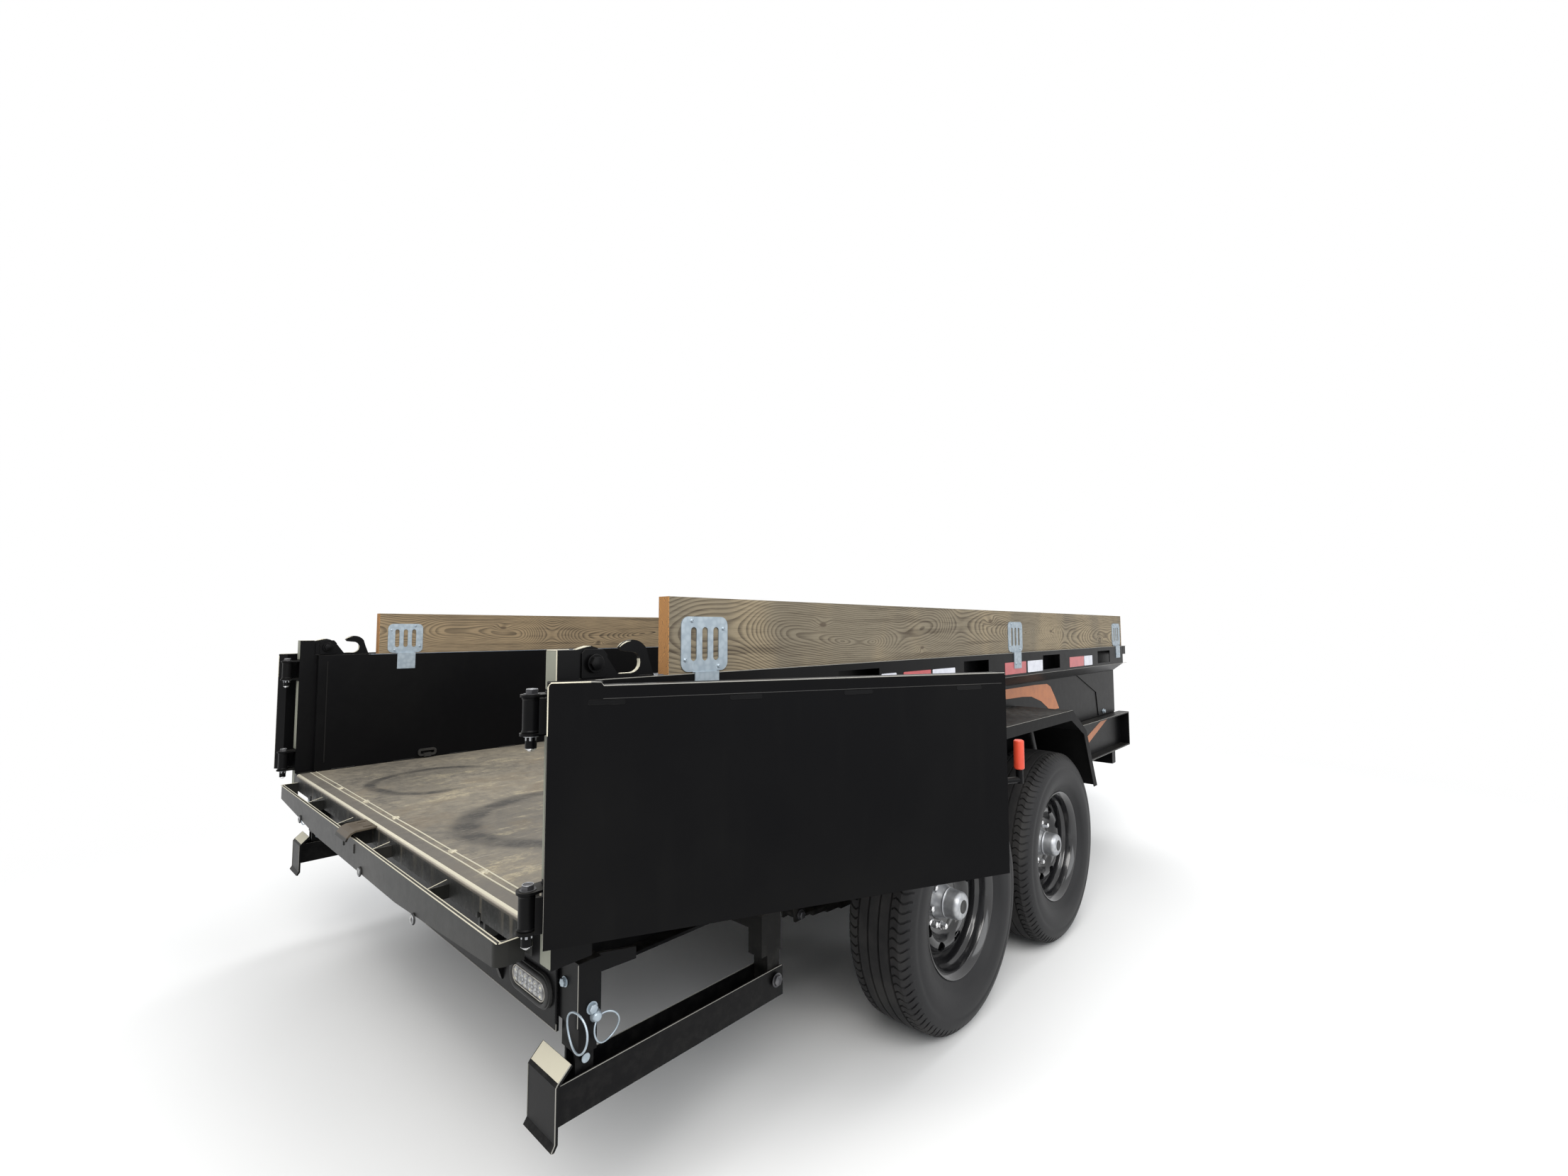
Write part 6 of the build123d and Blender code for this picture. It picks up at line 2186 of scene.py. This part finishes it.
@dataclass
class RampBar:
    """Cream edge lines, bare worn edges with painted highlights, welds and marker lamps of the
    channel under the bed's rear edge.
    """

    rear: float = -0.058
    low: float = 0.595
    top: float = 0.677
    half: float = 1.004
    gussets: tuple[float, ...] = (-0.600, -0.170, 0.200, 0.590)
    lamps: tuple[Flat, ...] = ((0.648, 0.609), (-0.096, 0.600), (-0.540, 0.594))
    keeper: Flat = (-0.031, 0.079)

    def build(self) -> None:
        """Build the bar's details."""
        # Cream lines on the top edges, gussets and ends: bare worn edges and painted highlights.
        edge = Form()
        for reach in (self.rear + 0.0008, self.rear + 0.0088):
            edge.sweep(
                [
                    (at(reach), -self.half + 0.004, self.top),
                    (at(reach), self.half - 0.004, self.top),
                ],
                0.0013,
                8,
            )
        for across in self.gussets:
            edge.sweep(
                [
                    (at(self.rear + 0.010), across + 0.0025, self.top - 0.0002),
                    (at(-0.004), across + 0.0025, self.top + 0.0105),
                ],
                0.0011,
                6,
            )
        for side in Side:
            edge.sweep(
                [
                    side.spot(self.rear + 0.004, self.half - 0.0008, self.top),
                    side.spot(-0.002, self.half - 0.0008, self.top),
                ],
                0.0012,
                6,
            )
        edge.done("ramp_bar_cream_edges", Look.CREAM, "bed", Slot.FLOOR)
        beads = Form()
        for across in self.gussets:
            for face in (-0.0035, 0.0035):
                beads.bead(
                    (at(self.rear + 0.0105), across + face, self.low + 0.012),
                    (at(self.rear + 0.0105), across + face, self.top - 0.006),
                    0.003,
                )
        for across in self.keeper:
            beads.bead(
                (at(self.rear), across, self.top - 0.04),
                (at(self.rear), across, self.top - 0.012),
                0.0034,
            )
        beads.done("ramp_bar_welds", Look.SILL_PAINT, "bed", Slot.PAINT)
        self._lamps()

    def _lamps(self) -> None:
        """Small round marker lamps in rubber rings."""
        rings, brights, lenses = Form(), Form(), Form()
        for across, high in self.lamps:
            place = rear_facing(self.rear, across, high)
            rings.lathe(
                [
                    (0.0098, 0.0),
                    (0.0136, 0.0),
                    (0.0145, 0.0014),
                    (0.0137, 0.0034),
                    (0.0115, 0.0043),
                    (0.0098, 0.0033),
                ],
                place,
                28,
            )
            lenses.lathe(
                [
                    (0.0, 0.0),
                    (0.0097, 0.0),
                    (0.0097, 0.0035),
                    (0.0080, 0.0058),
                    (0.0048, 0.0072),
                    (0.0, 0.0077),
                ],
                place,
                24,
                closed=False,
            )
            brights.sweep(
                [
                    tuple(place @ Vector((*point, 0.0046)))
                    for point in ring_of(24, (0.0104, 0.0104))
                ],
                0.0011,
                8,
                closed=True,
            )
        rings.done("marker_lamp_rings", Look.GASKET, "bed", Slot.LAMP)
        brights.done("marker_lamp_bright_rings", Look.CAP, "bed", Slot.LAMP)
        lenses.done("marker_lamp_lenses", Look.LENS, "bed", Slot.LAMP)


@dataclass
class Stabilisers:
    """Pins, caps and end plates of the rear stabiliser arms and legs, with painted highlights and
    worn paint on the plates and the arms' upper edges.
    """

    end_half: float = 1.1155
    end_inner: float = 1.0005
    start: float = 0.020
    low: float = 0.337
    hinge: Flat = (0.636, 0.385)
    arm: Flat = (1.042, 1.106)
    leg: Flat = (0.086, 1.074)

    def build(self) -> None:
        """Build the details of both sides."""
        for side in Side:
            body = f"stabiliser_arm_{side.label}"
            self._end_plate(side, body)
            self._hinge(side, body)
            self._leg(side)

    def _end_plate(self, side: Side, body: str) -> None:
        """Upper flange of an end plate painted cream as a highlight on its top, its pale outline of
        worn paint and painted highlight, and its weld.
        """
        face = Form()
        (x0, z0), (x1, z1) = (-0.0005, 0.0872), (0.0255, 0.1118)
        push = Vector((-0.00035, 0.0004))
        line = [(x0, z0), (x1, z1), (x1 + push.x, z1 + push.y), (x0 + push.x, z0 + push.y)]
        rings = [
            [side.spot(self.start + x, reach, self.low + z) for x, z in line]
            for reach in (self.end_inner + 0.002, self.end_half - 0.002)
        ]
        face.loft(rings)
        face.done(f"stabiliser_plate_flange_{side.label}", Look.CREAM, body, Slot.PAINT)
        edge = Form()
        outline = [
            (-8, -36), (-13.5, -34.5), (-6.4, -22.5), (-6.4, 81), (-2.4, 86.3), (25.5, 111.5)
        ]
        edge.sweep(
            [
                side.spot(self.start + x / 1000, self.end_half - 0.0008, self.low + z / 1000)
                for x, z in outline
            ],
            0.0011,
            6,
        )
        edge.sweep(
            [
                side.spot(self.start - 0.0064, self.end_inner + 0.001, self.low - 0.02),
                side.spot(self.start - 0.0064, self.end_inner + 0.001, self.low + 0.080),
            ],
            0.0009,
            6,
        )
        edge.done(f"stabiliser_plate_edges_{side.label}", Look.PALE_EDGE, body, Slot.FLOOR)
        bead = Form()
        for reach in self.arm:
            bead.bead(
                side.spot(self.start + 0.001, reach, self.low + 0.004),
                side.spot(self.start + 0.001, reach, self.low + 0.070),
                0.0032,
            )
        bead.bead(
            side.spot(self.start + 0.001, self.arm[0] + 0.003, self.low),
            side.spot(self.start + 0.001, self.arm[1] - 0.003, self.low),
            0.0032,
        )
        bead.done(f"stabiliser_plate_welds_{side.label}", Look.PAINT, body, Slot.PAINT)

    def _hinge(self, side: Side, body: str) -> None:
        """Pale upper edges of an arm, worn paint with a painted highlight, and the heads of its
        hinge bolt.
        """
        edge = Form()
        for reach in (self.arm[0] + 0.0015, self.arm[1] - 0.0008):
            edge.sweep(
                [side.spot(self.start + 0.008, reach, 0.4118), side.spot(0.662, reach, 0.4118)],
                0.001,
                6,
            )
        edge.done(f"stabiliser_arm_edges_{side.label}", Look.PALE_EDGE, body, Slot.PAINT)
        bolts = Form()
        for reach, way in ((self.arm[1] + 0.0068, 1), (self.arm[0] - 0.0068, -1)):
            bolts.bolt(
                side.spot(self.hinge[0], reach, self.hinge[1]), side.out(way), 0.024, 0.006, 0.0015
            )
        bolts.done(
            f"stabiliser_hinge_bolts_{side.label}", Look.DARK_STEEL, "frame", Slot.ZINC, 0.0004
        )

    def _leg(self, side: Side) -> None:
        """Heads of the cross pin and the clevis pin on a leg."""
        form = Form()
        for way in (-1, 1):
            reach = self.leg[1] + way * 0.0252
            form.lathe(
                [
                    (0.0, 0.0),
                    (0.0092, 0.0),
                    (0.0096, 0.0010),
                    (0.0090, 0.0024),
                    (0.0050, 0.0032),
                    (0.0, 0.0034),
                ],
                side_facing(self.leg[0], side, reach, 0.437) @ Matrix.Rotation(
                    0.0 if way > 0 else math.pi, 4, "X"
                ),
                20,
                closed=False,
            )
        form.done(
            f"stabiliser_leg_pin_{side.label}", Look.ZINC, f"stabiliser_leg_{side.label}", Slot.ZINC
        )


@dataclass
class RearPanel:
    """Bolts, pin heads, wire rings, welds and pale edge lines, worn paint with painted highlight,
    of the frame's rear panel and post tubes.
    """

    rear: float = 0.055
    low: float = 0.475
    top: float = 0.616
    half: float = 1.036
    tube_rear: float = 0.060
    tube_outer: float = 1.112

    def build(self) -> None:
        """Build the panel's details."""
        bolts, beads, rings, edges = Form(), Form(), Form(), Form()
        for side in Side:
            bolts.bolt(side.spot(self.tube_rear, 1.060, 0.582), (-1, 0, 0), 0.015, 0.007, 0.0018)
            bolts.bolt(side.spot(0.091, self.tube_outer, 0.537), side.out(), 0.017, 0.008, 0.002)
            bolts.lathe(
                [
                    (0.0, 0.0), (0.0125, 0.0), (0.0128, 0.0020), (0.0105, 0.0080), (0.0102, 0.0098),
                    (0.0075, 0.0128), (0.0, 0.0142),
                ],
                side_facing(0.099, side, self.tube_outer, 0.5195),
                28,
                closed=False,
            )
            for high in (0.508, 0.630):
                beads.bead(side.spot(0.064, 1.0372, high), side.spot(0.108, 1.0372, high), 0.003)
            beads.bead(side.spot(0.1125, 1.095, 0.520), side.spot(0.1125, 1.095, 0.615), 0.0034)
            beads.bead(
                side.spot(self.rear, self.half - 0.001, 0.49),
                side.spot(self.rear, self.half - 0.001, 0.60),
                0.003,
            )
            rings.sweep(
                self._ring(0.049, side, 1.127, 0.5115, 0.0375, 0.0022), 0.0021, 8, closed=True
            )
            rings.sweep(
                self._ring(0.120, side, self.tube_outer + 0.0085, 0.4915, 0.0285, 0.006, True),
                0.0019,
                8,
                closed=True,
            )
            # Pale lines on the tube's and panel's edges: worn paint and painted highlight.
            edges.sweep(
                [
                    side.spot(self.tube_rear, self.tube_outer - 0.0008, 0.508),
                    side.spot(self.tube_rear, self.tube_outer - 0.0008, 0.630),
                ],
                0.001,
                6,
            )
            edges.sweep(
                [
                    side.spot(self.rear, self.half - 0.0004, self.top),
                    side.spot(self.rear, self.half - 0.0004, self.low),
                ],
                0.0009,
                6,
            )
        edges.sweep(
            [
                (at(self.rear), -self.half, self.low + 0.0006),
                (at(self.rear), self.half, self.low + 0.0006),
            ],
            0.0009,
            6,
        )
        bolts.done("rear_panel_bolts", Look.ZINC, "frame", Slot.ZINC, 0.0003)
        beads.done("rear_panel_welds", Look.PAINT, "frame", Slot.PAINT)
        rings.done("stabiliser_wire_rings", Look.ZINC, "frame", Slot.ZINC)
        edges.done("rear_panel_pale_edges", Look.PALE_EDGE, "frame", Slot.PAINT)

    @staticmethod
    def _ring(
        station: float, side: Side, reach: float, high: float, radius: float, wave: float,
        along: bool = False,
    ) -> list[Point]:
        """Points of a slightly sprung wire ring that hangs across or along the trailer."""
        points = []
        for k in range(32):
            turn = 2 * math.pi * k / 32
            swing = radius * math.cos(turn)
            spring = wave * math.sin(turn * 2 + 0.6)
            points.append(
                side.spot(
                    station + (swing if along else spring),
                    reach + (spring * 0.6 if along else swing),
                    high + radius * math.sin(turn),
                )
            )
        return points


@dataclass
class FenderTrim:
    """Pale lines on the rolled edges, a painted highlight with worn paint, and stitch welds of the
    fenders.
    """

    outer: float = 1.2945
    inner: float = 1.045
    middle: float = 1.799
    line: tuple[Flat, ...] = (
        (-0.810, 0.577),
        (-0.690, 0.840),
        (-0.525, 0.946),
        (0.525, 0.946),
        (0.690, 0.840),
        (0.810, 0.577),
    )

    def build(self) -> None:
        """Build the details of both fenders."""
        for side in Side:
            # Pale line along the rolled edge: a painted highlight with worn paint.
            edge = Form()
            edge.sweep(
                [side.spot(self.middle + x, self.outer - 0.0009, z - 0.0006) for x, z in self.line],
                0.0014,
                8,
            )
            edge.done(f"fender_rolled_edge_{side.label}", Look.PALE_EDGE, "frame", Slot.PAINT)
            beads = Form()
            for first, second in zip(self.line, self.line[1:]):
                start, end = Vector(first), Vector(second)
                count = max(1, round((end - start).length / 0.17))
                for k in range(count):
                    low, high = start.lerp(
                        end, (k + 0.15) / count
                    ), start.lerp(end, (k + 0.6) / count)
                    beads.bead(
                        side.spot(self.middle + low.x, self.inner + 0.002, low.y + 0.0008),
                        side.spot(self.middle + high.x, self.inner + 0.002, high.y + 0.0008),
                        0.0028,
                    )
            beads.done(f"fender_welds_{side.label}", Look.FENDER_PAINT, "frame", Slot.PAINT)


@dataclass
class SideChannels:
    """Diagonal film stripes, end slots, and pale edge lines of worn paint and painted highlight on
    the channels ahead of the fenders.
    """

    web: float = 1.053
    outer: float = 1.1015
    start: float = 2.660
    end: float = 3.840
    low: float = 0.585
    top: float = 0.788
    stripe: tuple[Flat, ...] = ((3.225, 0.656), (3.573, 0.760), (3.530, 0.7795), (3.222, 0.699))

    def build(self) -> None:
        """Build the details of both sides."""
        for side in Side:
            film = Form()
            film.prism(self.stripe, side_facing(0.0, side, self.web, 0.0), 0.0005)
            film.done(f"channel_stripe_{side.label}", Look.STRIPE, "frame", Slot.PAINT)
            # Pale lines on the flange edges and the end: worn paint and painted highlight.
            edge = Form()
            for high in (self.top - 0.0006, self.low + 0.0006):
                edge.sweep(
                    [
                        side.spot(self.start, self.outer, high),
                        side.spot(self.end, self.outer, high),
                    ],
                    0.001,
                    6,
                )
            edge.sweep(
                [
                    side.spot(self.end - 0.0006, self.outer, self.top),
                    side.spot(self.end - 0.0006, self.outer, self.low),
                ],
                0.001,
                6,
            )
            edge.done(f"channel_pale_edges_{side.label}", Look.PALE_EDGE, "frame", Slot.PAINT)
            slot = Form()
            place = Matrix(
                (
                    (0, 0, 1, at(self.end)),
                    (1, 0, 0, side.value * 1.074),
                    (0, 1, 0, 0.742),
                    (0, 0, 0, 1),
                )
            )
            slot.prism(slot_of(0.034, 0.012, 8), place, 0.0005)
            slot.done(f"channel_end_plug_{side.label}", Look.GASKET, "frame", Slot.PAINT, 0.0002)


@dataclass
class RunningGear:
    """U bolts with their nuts, brake plate bolts and shackle bolts of the springs."""

    spring_half: float = 0.840
    eyes: tuple[float, ...] = (1.000, 1.799, 2.598)
    eye_height: float = 0.372
    plate_low: float = 0.300

    def build(self) -> None:
        """Build the hardware of all axles."""
        bolts, nuts, shackles = Form(), Form(), Form()
        for side in Side:
            for axle in AXLE_STATIONS.values():
                for offset in (-0.0435, 0.0435):
                    for edge in (-0.029, 0.029):
                        across = side.value * self.spring_half + edge
                        bolts.sweep(
                            [
                                (at(axle + offset), across, self.plate_low - 0.016),
                                (at(axle + offset), across, WHEEL_RADIUS + 0.012),
                            ],
                            0.006,
                            10,
                        )
                        nuts.bolt(
                            (at(axle + offset), across, self.plate_low + 0.0005),
                            (0, 0, -1),
                            0.019,
                            0.010,
                            0.0022,
                        )
                for edge in (-0.029, 0.029):
                    across = side.value * self.spring_half + edge
                    arch = [(at(axle - 0.0435), across, WHEEL_RADIUS + 0.010)]
                    for k in range(9):
                        turn = math.pi * (1 - k / 8)
                        arch.append(
                            (
                                at(axle + 0.0435 * math.cos(turn)),
                                across,
                                WHEEL_RADIUS + 0.012 + 0.0365 * math.sin(turn),
                            )
                        )
                    arch.append((at(axle + 0.0435), across, WHEEL_RADIUS + 0.010))
                    bolts.sweep(arch, 0.006, 10)
                for k in range(4):
                    turn = math.pi / 4 + math.pi / 2 * k
                    nuts.bolt(
                        side.spot(
                            axle + 0.062 * math.cos(turn),
                            0.985,
                            WHEEL_RADIUS + 0.062 * math.sin(turn),
                        ),
                        side.out(-1),
                        0.014,
                        0.006,
                        0.0015,
                    )
            for eye in self.eyes:
                for reach, way in ((self.spring_half + 0.0345, 1), (self.spring_half - 0.0345, -1)):
                    shackles.bolt(
                        side.spot(eye, reach, self.eye_height), side.out(way), 0.022, 0.010, 0.0022
                    )
        bolts.done("spring_u_bolts", Look.ZINC, "frame", Slot.ZINC)
        nuts.done("spring_plate_nuts", Look.ZINC, "frame", Slot.ZINC)
        shackles.done("shackle_bolts", Look.DARK_STEEL, "frame", Slot.ZINC)


@dataclass
class DrawBar:
    """Bolts, latch, jack sleeve and welds at the tongue's nose."""

    plate_front: float = 5.192
    plate_back: float = 5.180
    holes: tuple[Flat, ...] = ((0.030, 0.403), (0.030, 0.585), (-0.030, 0.403), (-0.030, 0.585))
    jack: float = 4.870

    def build(self) -> None:
        """Build the nose's details."""
        bolts = Form()
        for across, high in self.holes:
            bolts.bolt((at(self.plate_front), across, high), (1, 0, 0), 0.024, 0.011, 0.0025)
            bolts.bolt((at(self.plate_back), across, high), (-1, 0, 0), 0.024, 0.013, 0.0025)
        bolts.done("coupler_bolts", Look.ZINC, "frame", Slot.ZINC, 0.0004)
        latch = Form()
        spring = []
        for k in range(60):
            turn = k * math.pi / 6
            spring.append(
                (
                    at(5.225 + 0.045 * k / 59),
                    0.0068 * math.cos(turn),
                    0.546 + 0.0068 * math.sin(turn),
                )
            )
        latch.sweep(spring, 0.0013, 6)
        latch.sweep(
            [
                (at(5.205), 0, 0.5405),
                (at(5.205), 0, 0.551),
                (at(5.216), 0, 0.556),
                (at(5.228), 0, 0.5525),
            ],
            0.003,
            8,
        )
        latch.done("coupler_latch_spring", Look.ZINC, "frame", Slot.ZINC)
        sleeve = Form()
        sleeve.lathe(
            [
                (0.038, 0.0),
                (0.0412, 0.0),
                (0.0416, 0.002),
                (0.0416, 0.010),
                (0.0405, 0.012),
                (0.038, 0.012),
            ],
            tilted((at(self.jack), 0, 0.846), (0, 0, 1)),
            40,
        )
        sleeve.lathe(
            [(0.038, 0.0), (0.0435, 0.0), (0.0435, 0.004), (0.038, 0.010)],
            tilted((at(self.jack), 0, 0.5065), (0, 0, 1)),
            40,
        )
        sleeve.done("jack_sleeves", Look.ZINC, "frame", Slot.ZINC, 0.0006)
        beads = Form()
        for side in (-1, 1):
            beads.bead((at(4.815), side * 0.198, 0.5085), (at(4.925), side * 0.198, 0.5085), 0.003)
            beads.bead(
                (at(self.plate_back - 0.001), side * 0.060, 0.44),
                (at(self.plate_back - 0.001), side * 0.060, 0.552),
                0.004,
            )
            beads.bead((at(3.833), side * 0.82, 0.562), (at(3.833), side * 0.68, 0.562), 0.004)
        beads.done("tongue_welds", Look.PAINT, "frame", Slot.PAINT)


@dataclass
class ToolBox:
    """Latches, catches and the pressed rib of the tool box."""

    front: float = 4.460
    skirt: float = 4.472
    across: tuple[float, ...] = (-0.15, 0.15)
    top: float = 1.0135
    rib: tuple[Flat, ...] = ((3.945, -0.470), (4.415, -0.250), (4.415, 0.250), (3.945, 0.470))

    @staticmethod
    def ahead(station: float, across: float, high: float) -> Matrix:
        """Place on a face that looks forward: local X runs to the left, Y up and Z forward."""
        return Matrix(((0, 0, 1, at(station)), (1, 0, 0, across), (0, 1, 0, high), (0, 0, 0, 1)))

    def build(self) -> None:
        """Build the box's details."""
        latches, catches = Form(), Form()
        base = [
            (-0.018, -0.026), (0.018, -0.026), (0.022, -0.022), (0.022, 0.018), (0.014, 0.026),
            (-0.014, 0.026), (-0.022, 0.018), (-0.022, -0.022),
        ]
        lever = [
            (-0.010, -0.020),
            (0.010, -0.020),
            (0.012, 0.012),
            (0.006, 0.021),
            (-0.006, 0.021),
            (-0.012, 0.012),
        ]
        for across in self.across:
            latches.prism(base, self.ahead(self.front, across, 0.930), 0.0025)
            latches.prism(lever, self.ahead(self.front + 0.0025, across, 0.930), 0.007)
            for side in (-0.014, 0.014):
                latches.bolt(
                    (at(self.front + 0.0025), across + side, 0.912), (1, 0, 0), 0.007, 0.003, 0.0
                )
            catches.prism(
                [
                    (-0.016, -0.010),
                    (0.016, -0.010),
                    (0.016, 0.010),
                    (0.010, 0.014),
                    (-0.010, 0.014),
                    (-0.016, 0.010),
                ],
                self.ahead(self.skirt, across, 0.986),
                0.0022,
            )
            catches.prism(
                [(-0.009, -0.008), (0.009, -0.008), (0.009, -0.002), (-0.009, -0.002)],
                self.ahead(self.skirt + 0.0022, across, 0.986),
                0.004,
            )
        latches.done("tool_box_latches", Look.ZINC, "frame", Slot.ZINC, 0.0008)
        catches.done("tool_box_catches", Look.ZINC, "tool_box_lid", Slot.ZINC, 0.0005)
        rib = Form()
        corners = [Vector((at(x), y, self.top)) for x, y in self.rib]
        line = []
        for number, corner in enumerate(corners):
            for other in (corners[number - 1], corners[(number + 1) % 4]):
                line.append(tuple(corner + (other - corner).normalized() * 0.02))
        rib.sweep(line, 0.0022, 8, closed=True)
        rib.done("tool_box_lid_rib", Look.PAINT, "tool_box_lid", Slot.PAINT)


@dataclass
class Hoist:
    """Gland, collar and hose port of the hoist cylinder."""

    base: Flat = (1.550, 0.492)
    eye: Flat = (3.200, 0.650)
    barrel: float = 0.042
    end_gap: float = 0.110

    def build(self) -> None:
        """Build the cylinder's details."""
        start = Vector((at(self.base[0]), 0.0, self.base[1]))
        end = Vector((at(self.eye[0]), 0.0, self.eye[1]))
        along = (end - start).normalized()
        reach = (end - start).length - self.end_gap
        gland, port = Form(), Form()
        for place, grow in ((0.05, 0.003), (reach - 0.026, 0.0035)):
            gland.lathe(
                [
                    (self.barrel - 0.0005, 0.0),
                    (self.barrel + grow, 0.0),
                    (self.barrel + grow, 0.022),
                    (self.barrel + grow - 0.001, 0.0235),
                    (self.barrel - 0.0005, 0.0235),
                ],
                tilted(tuple(start + along * place), tuple(along)),
                48,
            )
        gland.done("hoist_collars", Look.GEAR_PAINT, "hoist_barrel", Slot.PAINT, 0.0008)
        spot = start + along * 0.11
        below = Vector((along.z, 0.0, -along.x))
        port.lathe(
            [
                (0.0, 0.0),
                (0.0125, 0.0),
                (0.0125, 0.008),
                (0.0085, 0.0095),
                (0.0085, 0.017),
                (0.0, 0.018),
            ],
            tilted(tuple(spot + below * (self.barrel - 0.001)), tuple(below)),
            6,
            closed=False,
        )
        port.done("hoist_port", Look.ZINC, "hoist_barrel", Slot.ZINC, 0.0006)


@dataclass
class Studio:
    """Pale floor, soft lights, white surroundings and the camera at the photograph's place."""

    position: Point = (-3.328, -2.34, 1.30)
    right: Point = (0.67968, -0.7335, -0.00265)
    down: Point = (0.0449, 0.04522, -0.99797)
    forward: Point = (0.73213, 0.67818, 0.06367)
    focal_pixels: float = 927.18
    image_width: float = 2212.0
    sensor: float = 36.0

    def build(self) -> None:
        """Build the stage."""
        self._camera()
        self._floor()
        self._world()
        self._lamp("key_light", (-5.5, -4.0, 6.0), 5.0, 520.0, (1.0, 0.985, 0.96))
        self._lamp("fill_light", (-1.0, -8.0, 3.6), 6.0, 260.0, (0.96, 0.98, 1.0))
        self._lamp("top_light", (1.5, 1.0, 7.5), 7.0, 380.0, (1.0, 1.0, 1.0))
        self._lamp("back_light", (5.5, 5.5, 4.5), 5.0, 240.0, (1.0, 0.99, 0.97))
        bpy.context.scene.view_settings.view_transform = "Standard"

    def _camera(self) -> None:
        """Camera of the photograph."""
        data = bpy.data.cameras.new("camera")
        data.sensor_fit = "HORIZONTAL"
        data.sensor_width = self.sensor
        data.lens = self.focal_pixels / self.image_width * self.sensor
        data.clip_start, data.clip_end = 0.01, 200.0
        camera = bpy.data.objects.new("camera", data)
        bpy.context.scene.collection.objects.link(camera)
        x, y, z = Vector(self.right), -Vector(self.down), -Vector(self.forward)
        camera.matrix_world = Matrix.Translation(
            self.position
        ) @ Matrix((x, y, z)).transposed().to_4x4()
        bpy.context.scene.camera = camera

    def _floor(self) -> None:
        """Plain pale floor that shows white and keeps the trailer's shadow."""
        mesh = bpy.data.meshes.new("studio_floor")
        shape = bmesh.new()
        bmesh.ops.create_grid(shape, x_segments=1, y_segments=1, size=60.0)
        shape.to_mesh(mesh)
        shape.free()
        floor = bpy.data.objects.new("studio_floor", mesh)
        floor.location = (0.0, 0.0, -0.0005)
        bpy.context.scene.collection.objects.link(floor)
        shader = Shader("pale_floor")
        shader.paint(base_color=(0.8, 0.8, 0.795), roughness=0.9, specular_ior_level=0.1)
        ahead, across, _ = shader.axes()
        past_ends = (abs(ahead - at(2.7)) - 2.9).greatest(0.0)
        past_sides = (abs(across) - 1.3).greatest(0.0)
        away = (past_ends * past_ends + past_sides * past_sides).root().rise(0.1, 2.6)
        white = shader.make("ShaderNodeEmission", {}, {"Color": (1.0, 1.0, 1.0), "Strength": 1.0})
        choice = shader.make(
            "ShaderNodeMixShader",
            {},
            {0: away * shader.seen(), 1: shader.surface.outputs[0], 2: white.outputs[0]},
        )
        shader.feed(shader.output.inputs["Surface"], choice.outputs[0])
        mesh.materials.append(shader.material)

    def _world(self) -> None:
        """Soft pale light from all round, white where the camera or a mirror sees it."""
        world = bpy.data.worlds.new("studio")
        world.use_nodes = True
        nodes = Nodes(world.node_tree)
        light, plain = (
            nodes.make("ShaderNodeBackground", {}, {"Color": colour, "Strength": strength})
            for colour, strength in (((0.93, 0.96, 1.0), 0.55), ((1.0, 1.0, 1.0), 1.0))
        )
        choice = nodes.make(
            "ShaderNodeMixShader", {}, {0: nodes.seen(), 1: light.outputs[0], 2: plain.outputs[0]}
        )
        nodes.make("ShaderNodeOutputWorld", {}, {"Surface": choice.outputs[0]})
        bpy.context.scene.world = world

    @staticmethod
    def _lamp(name: str, place: Point, size: float, power: float, colour: Colour) -> None:
        """Square soft light that looks at the trailer's middle."""
        data = bpy.data.lights.new(name, "AREA")
        data.shape = "SQUARE"
        data.size = size
        data.energy = power
        data.color = colour
        lamp = bpy.data.objects.new(name, data)
        bpy.context.scene.collection.objects.link(lamp)
        lamp.location = place
        lamp.rotation_mode = "QUATERNION"
        lamp.rotation_quaternion = (
            Vector((-0.8, 0.0, 0.7)) - Vector(place)
        ).to_track_quat("-Z", "Y")


def main() -> None:
    """Build the studio, dress the CAD nodes and add every piece."""
    logging.basicConfig(level=logging.INFO, format="%(name)s: %(message)s")
    Studio().build()
    Frame().dress(frame["nodes"])
    Wheel().build()
    BedTrim().build()
    RearLamps().build()
    HingeHardware().build()
    PostFaces().build()
    HookHardware().build()
    DoorTrim().build()
    Brackets().build()
    RampBar().build()
    Stabilisers().build()
    RearPanel().build()
    FenderTrim().build()
    SideChannels().build()
    RunningGear().build()
    DrawBar().build()
    ToolBox().build()
    Hoist().build()


if __name__ == "__main__":
    main()
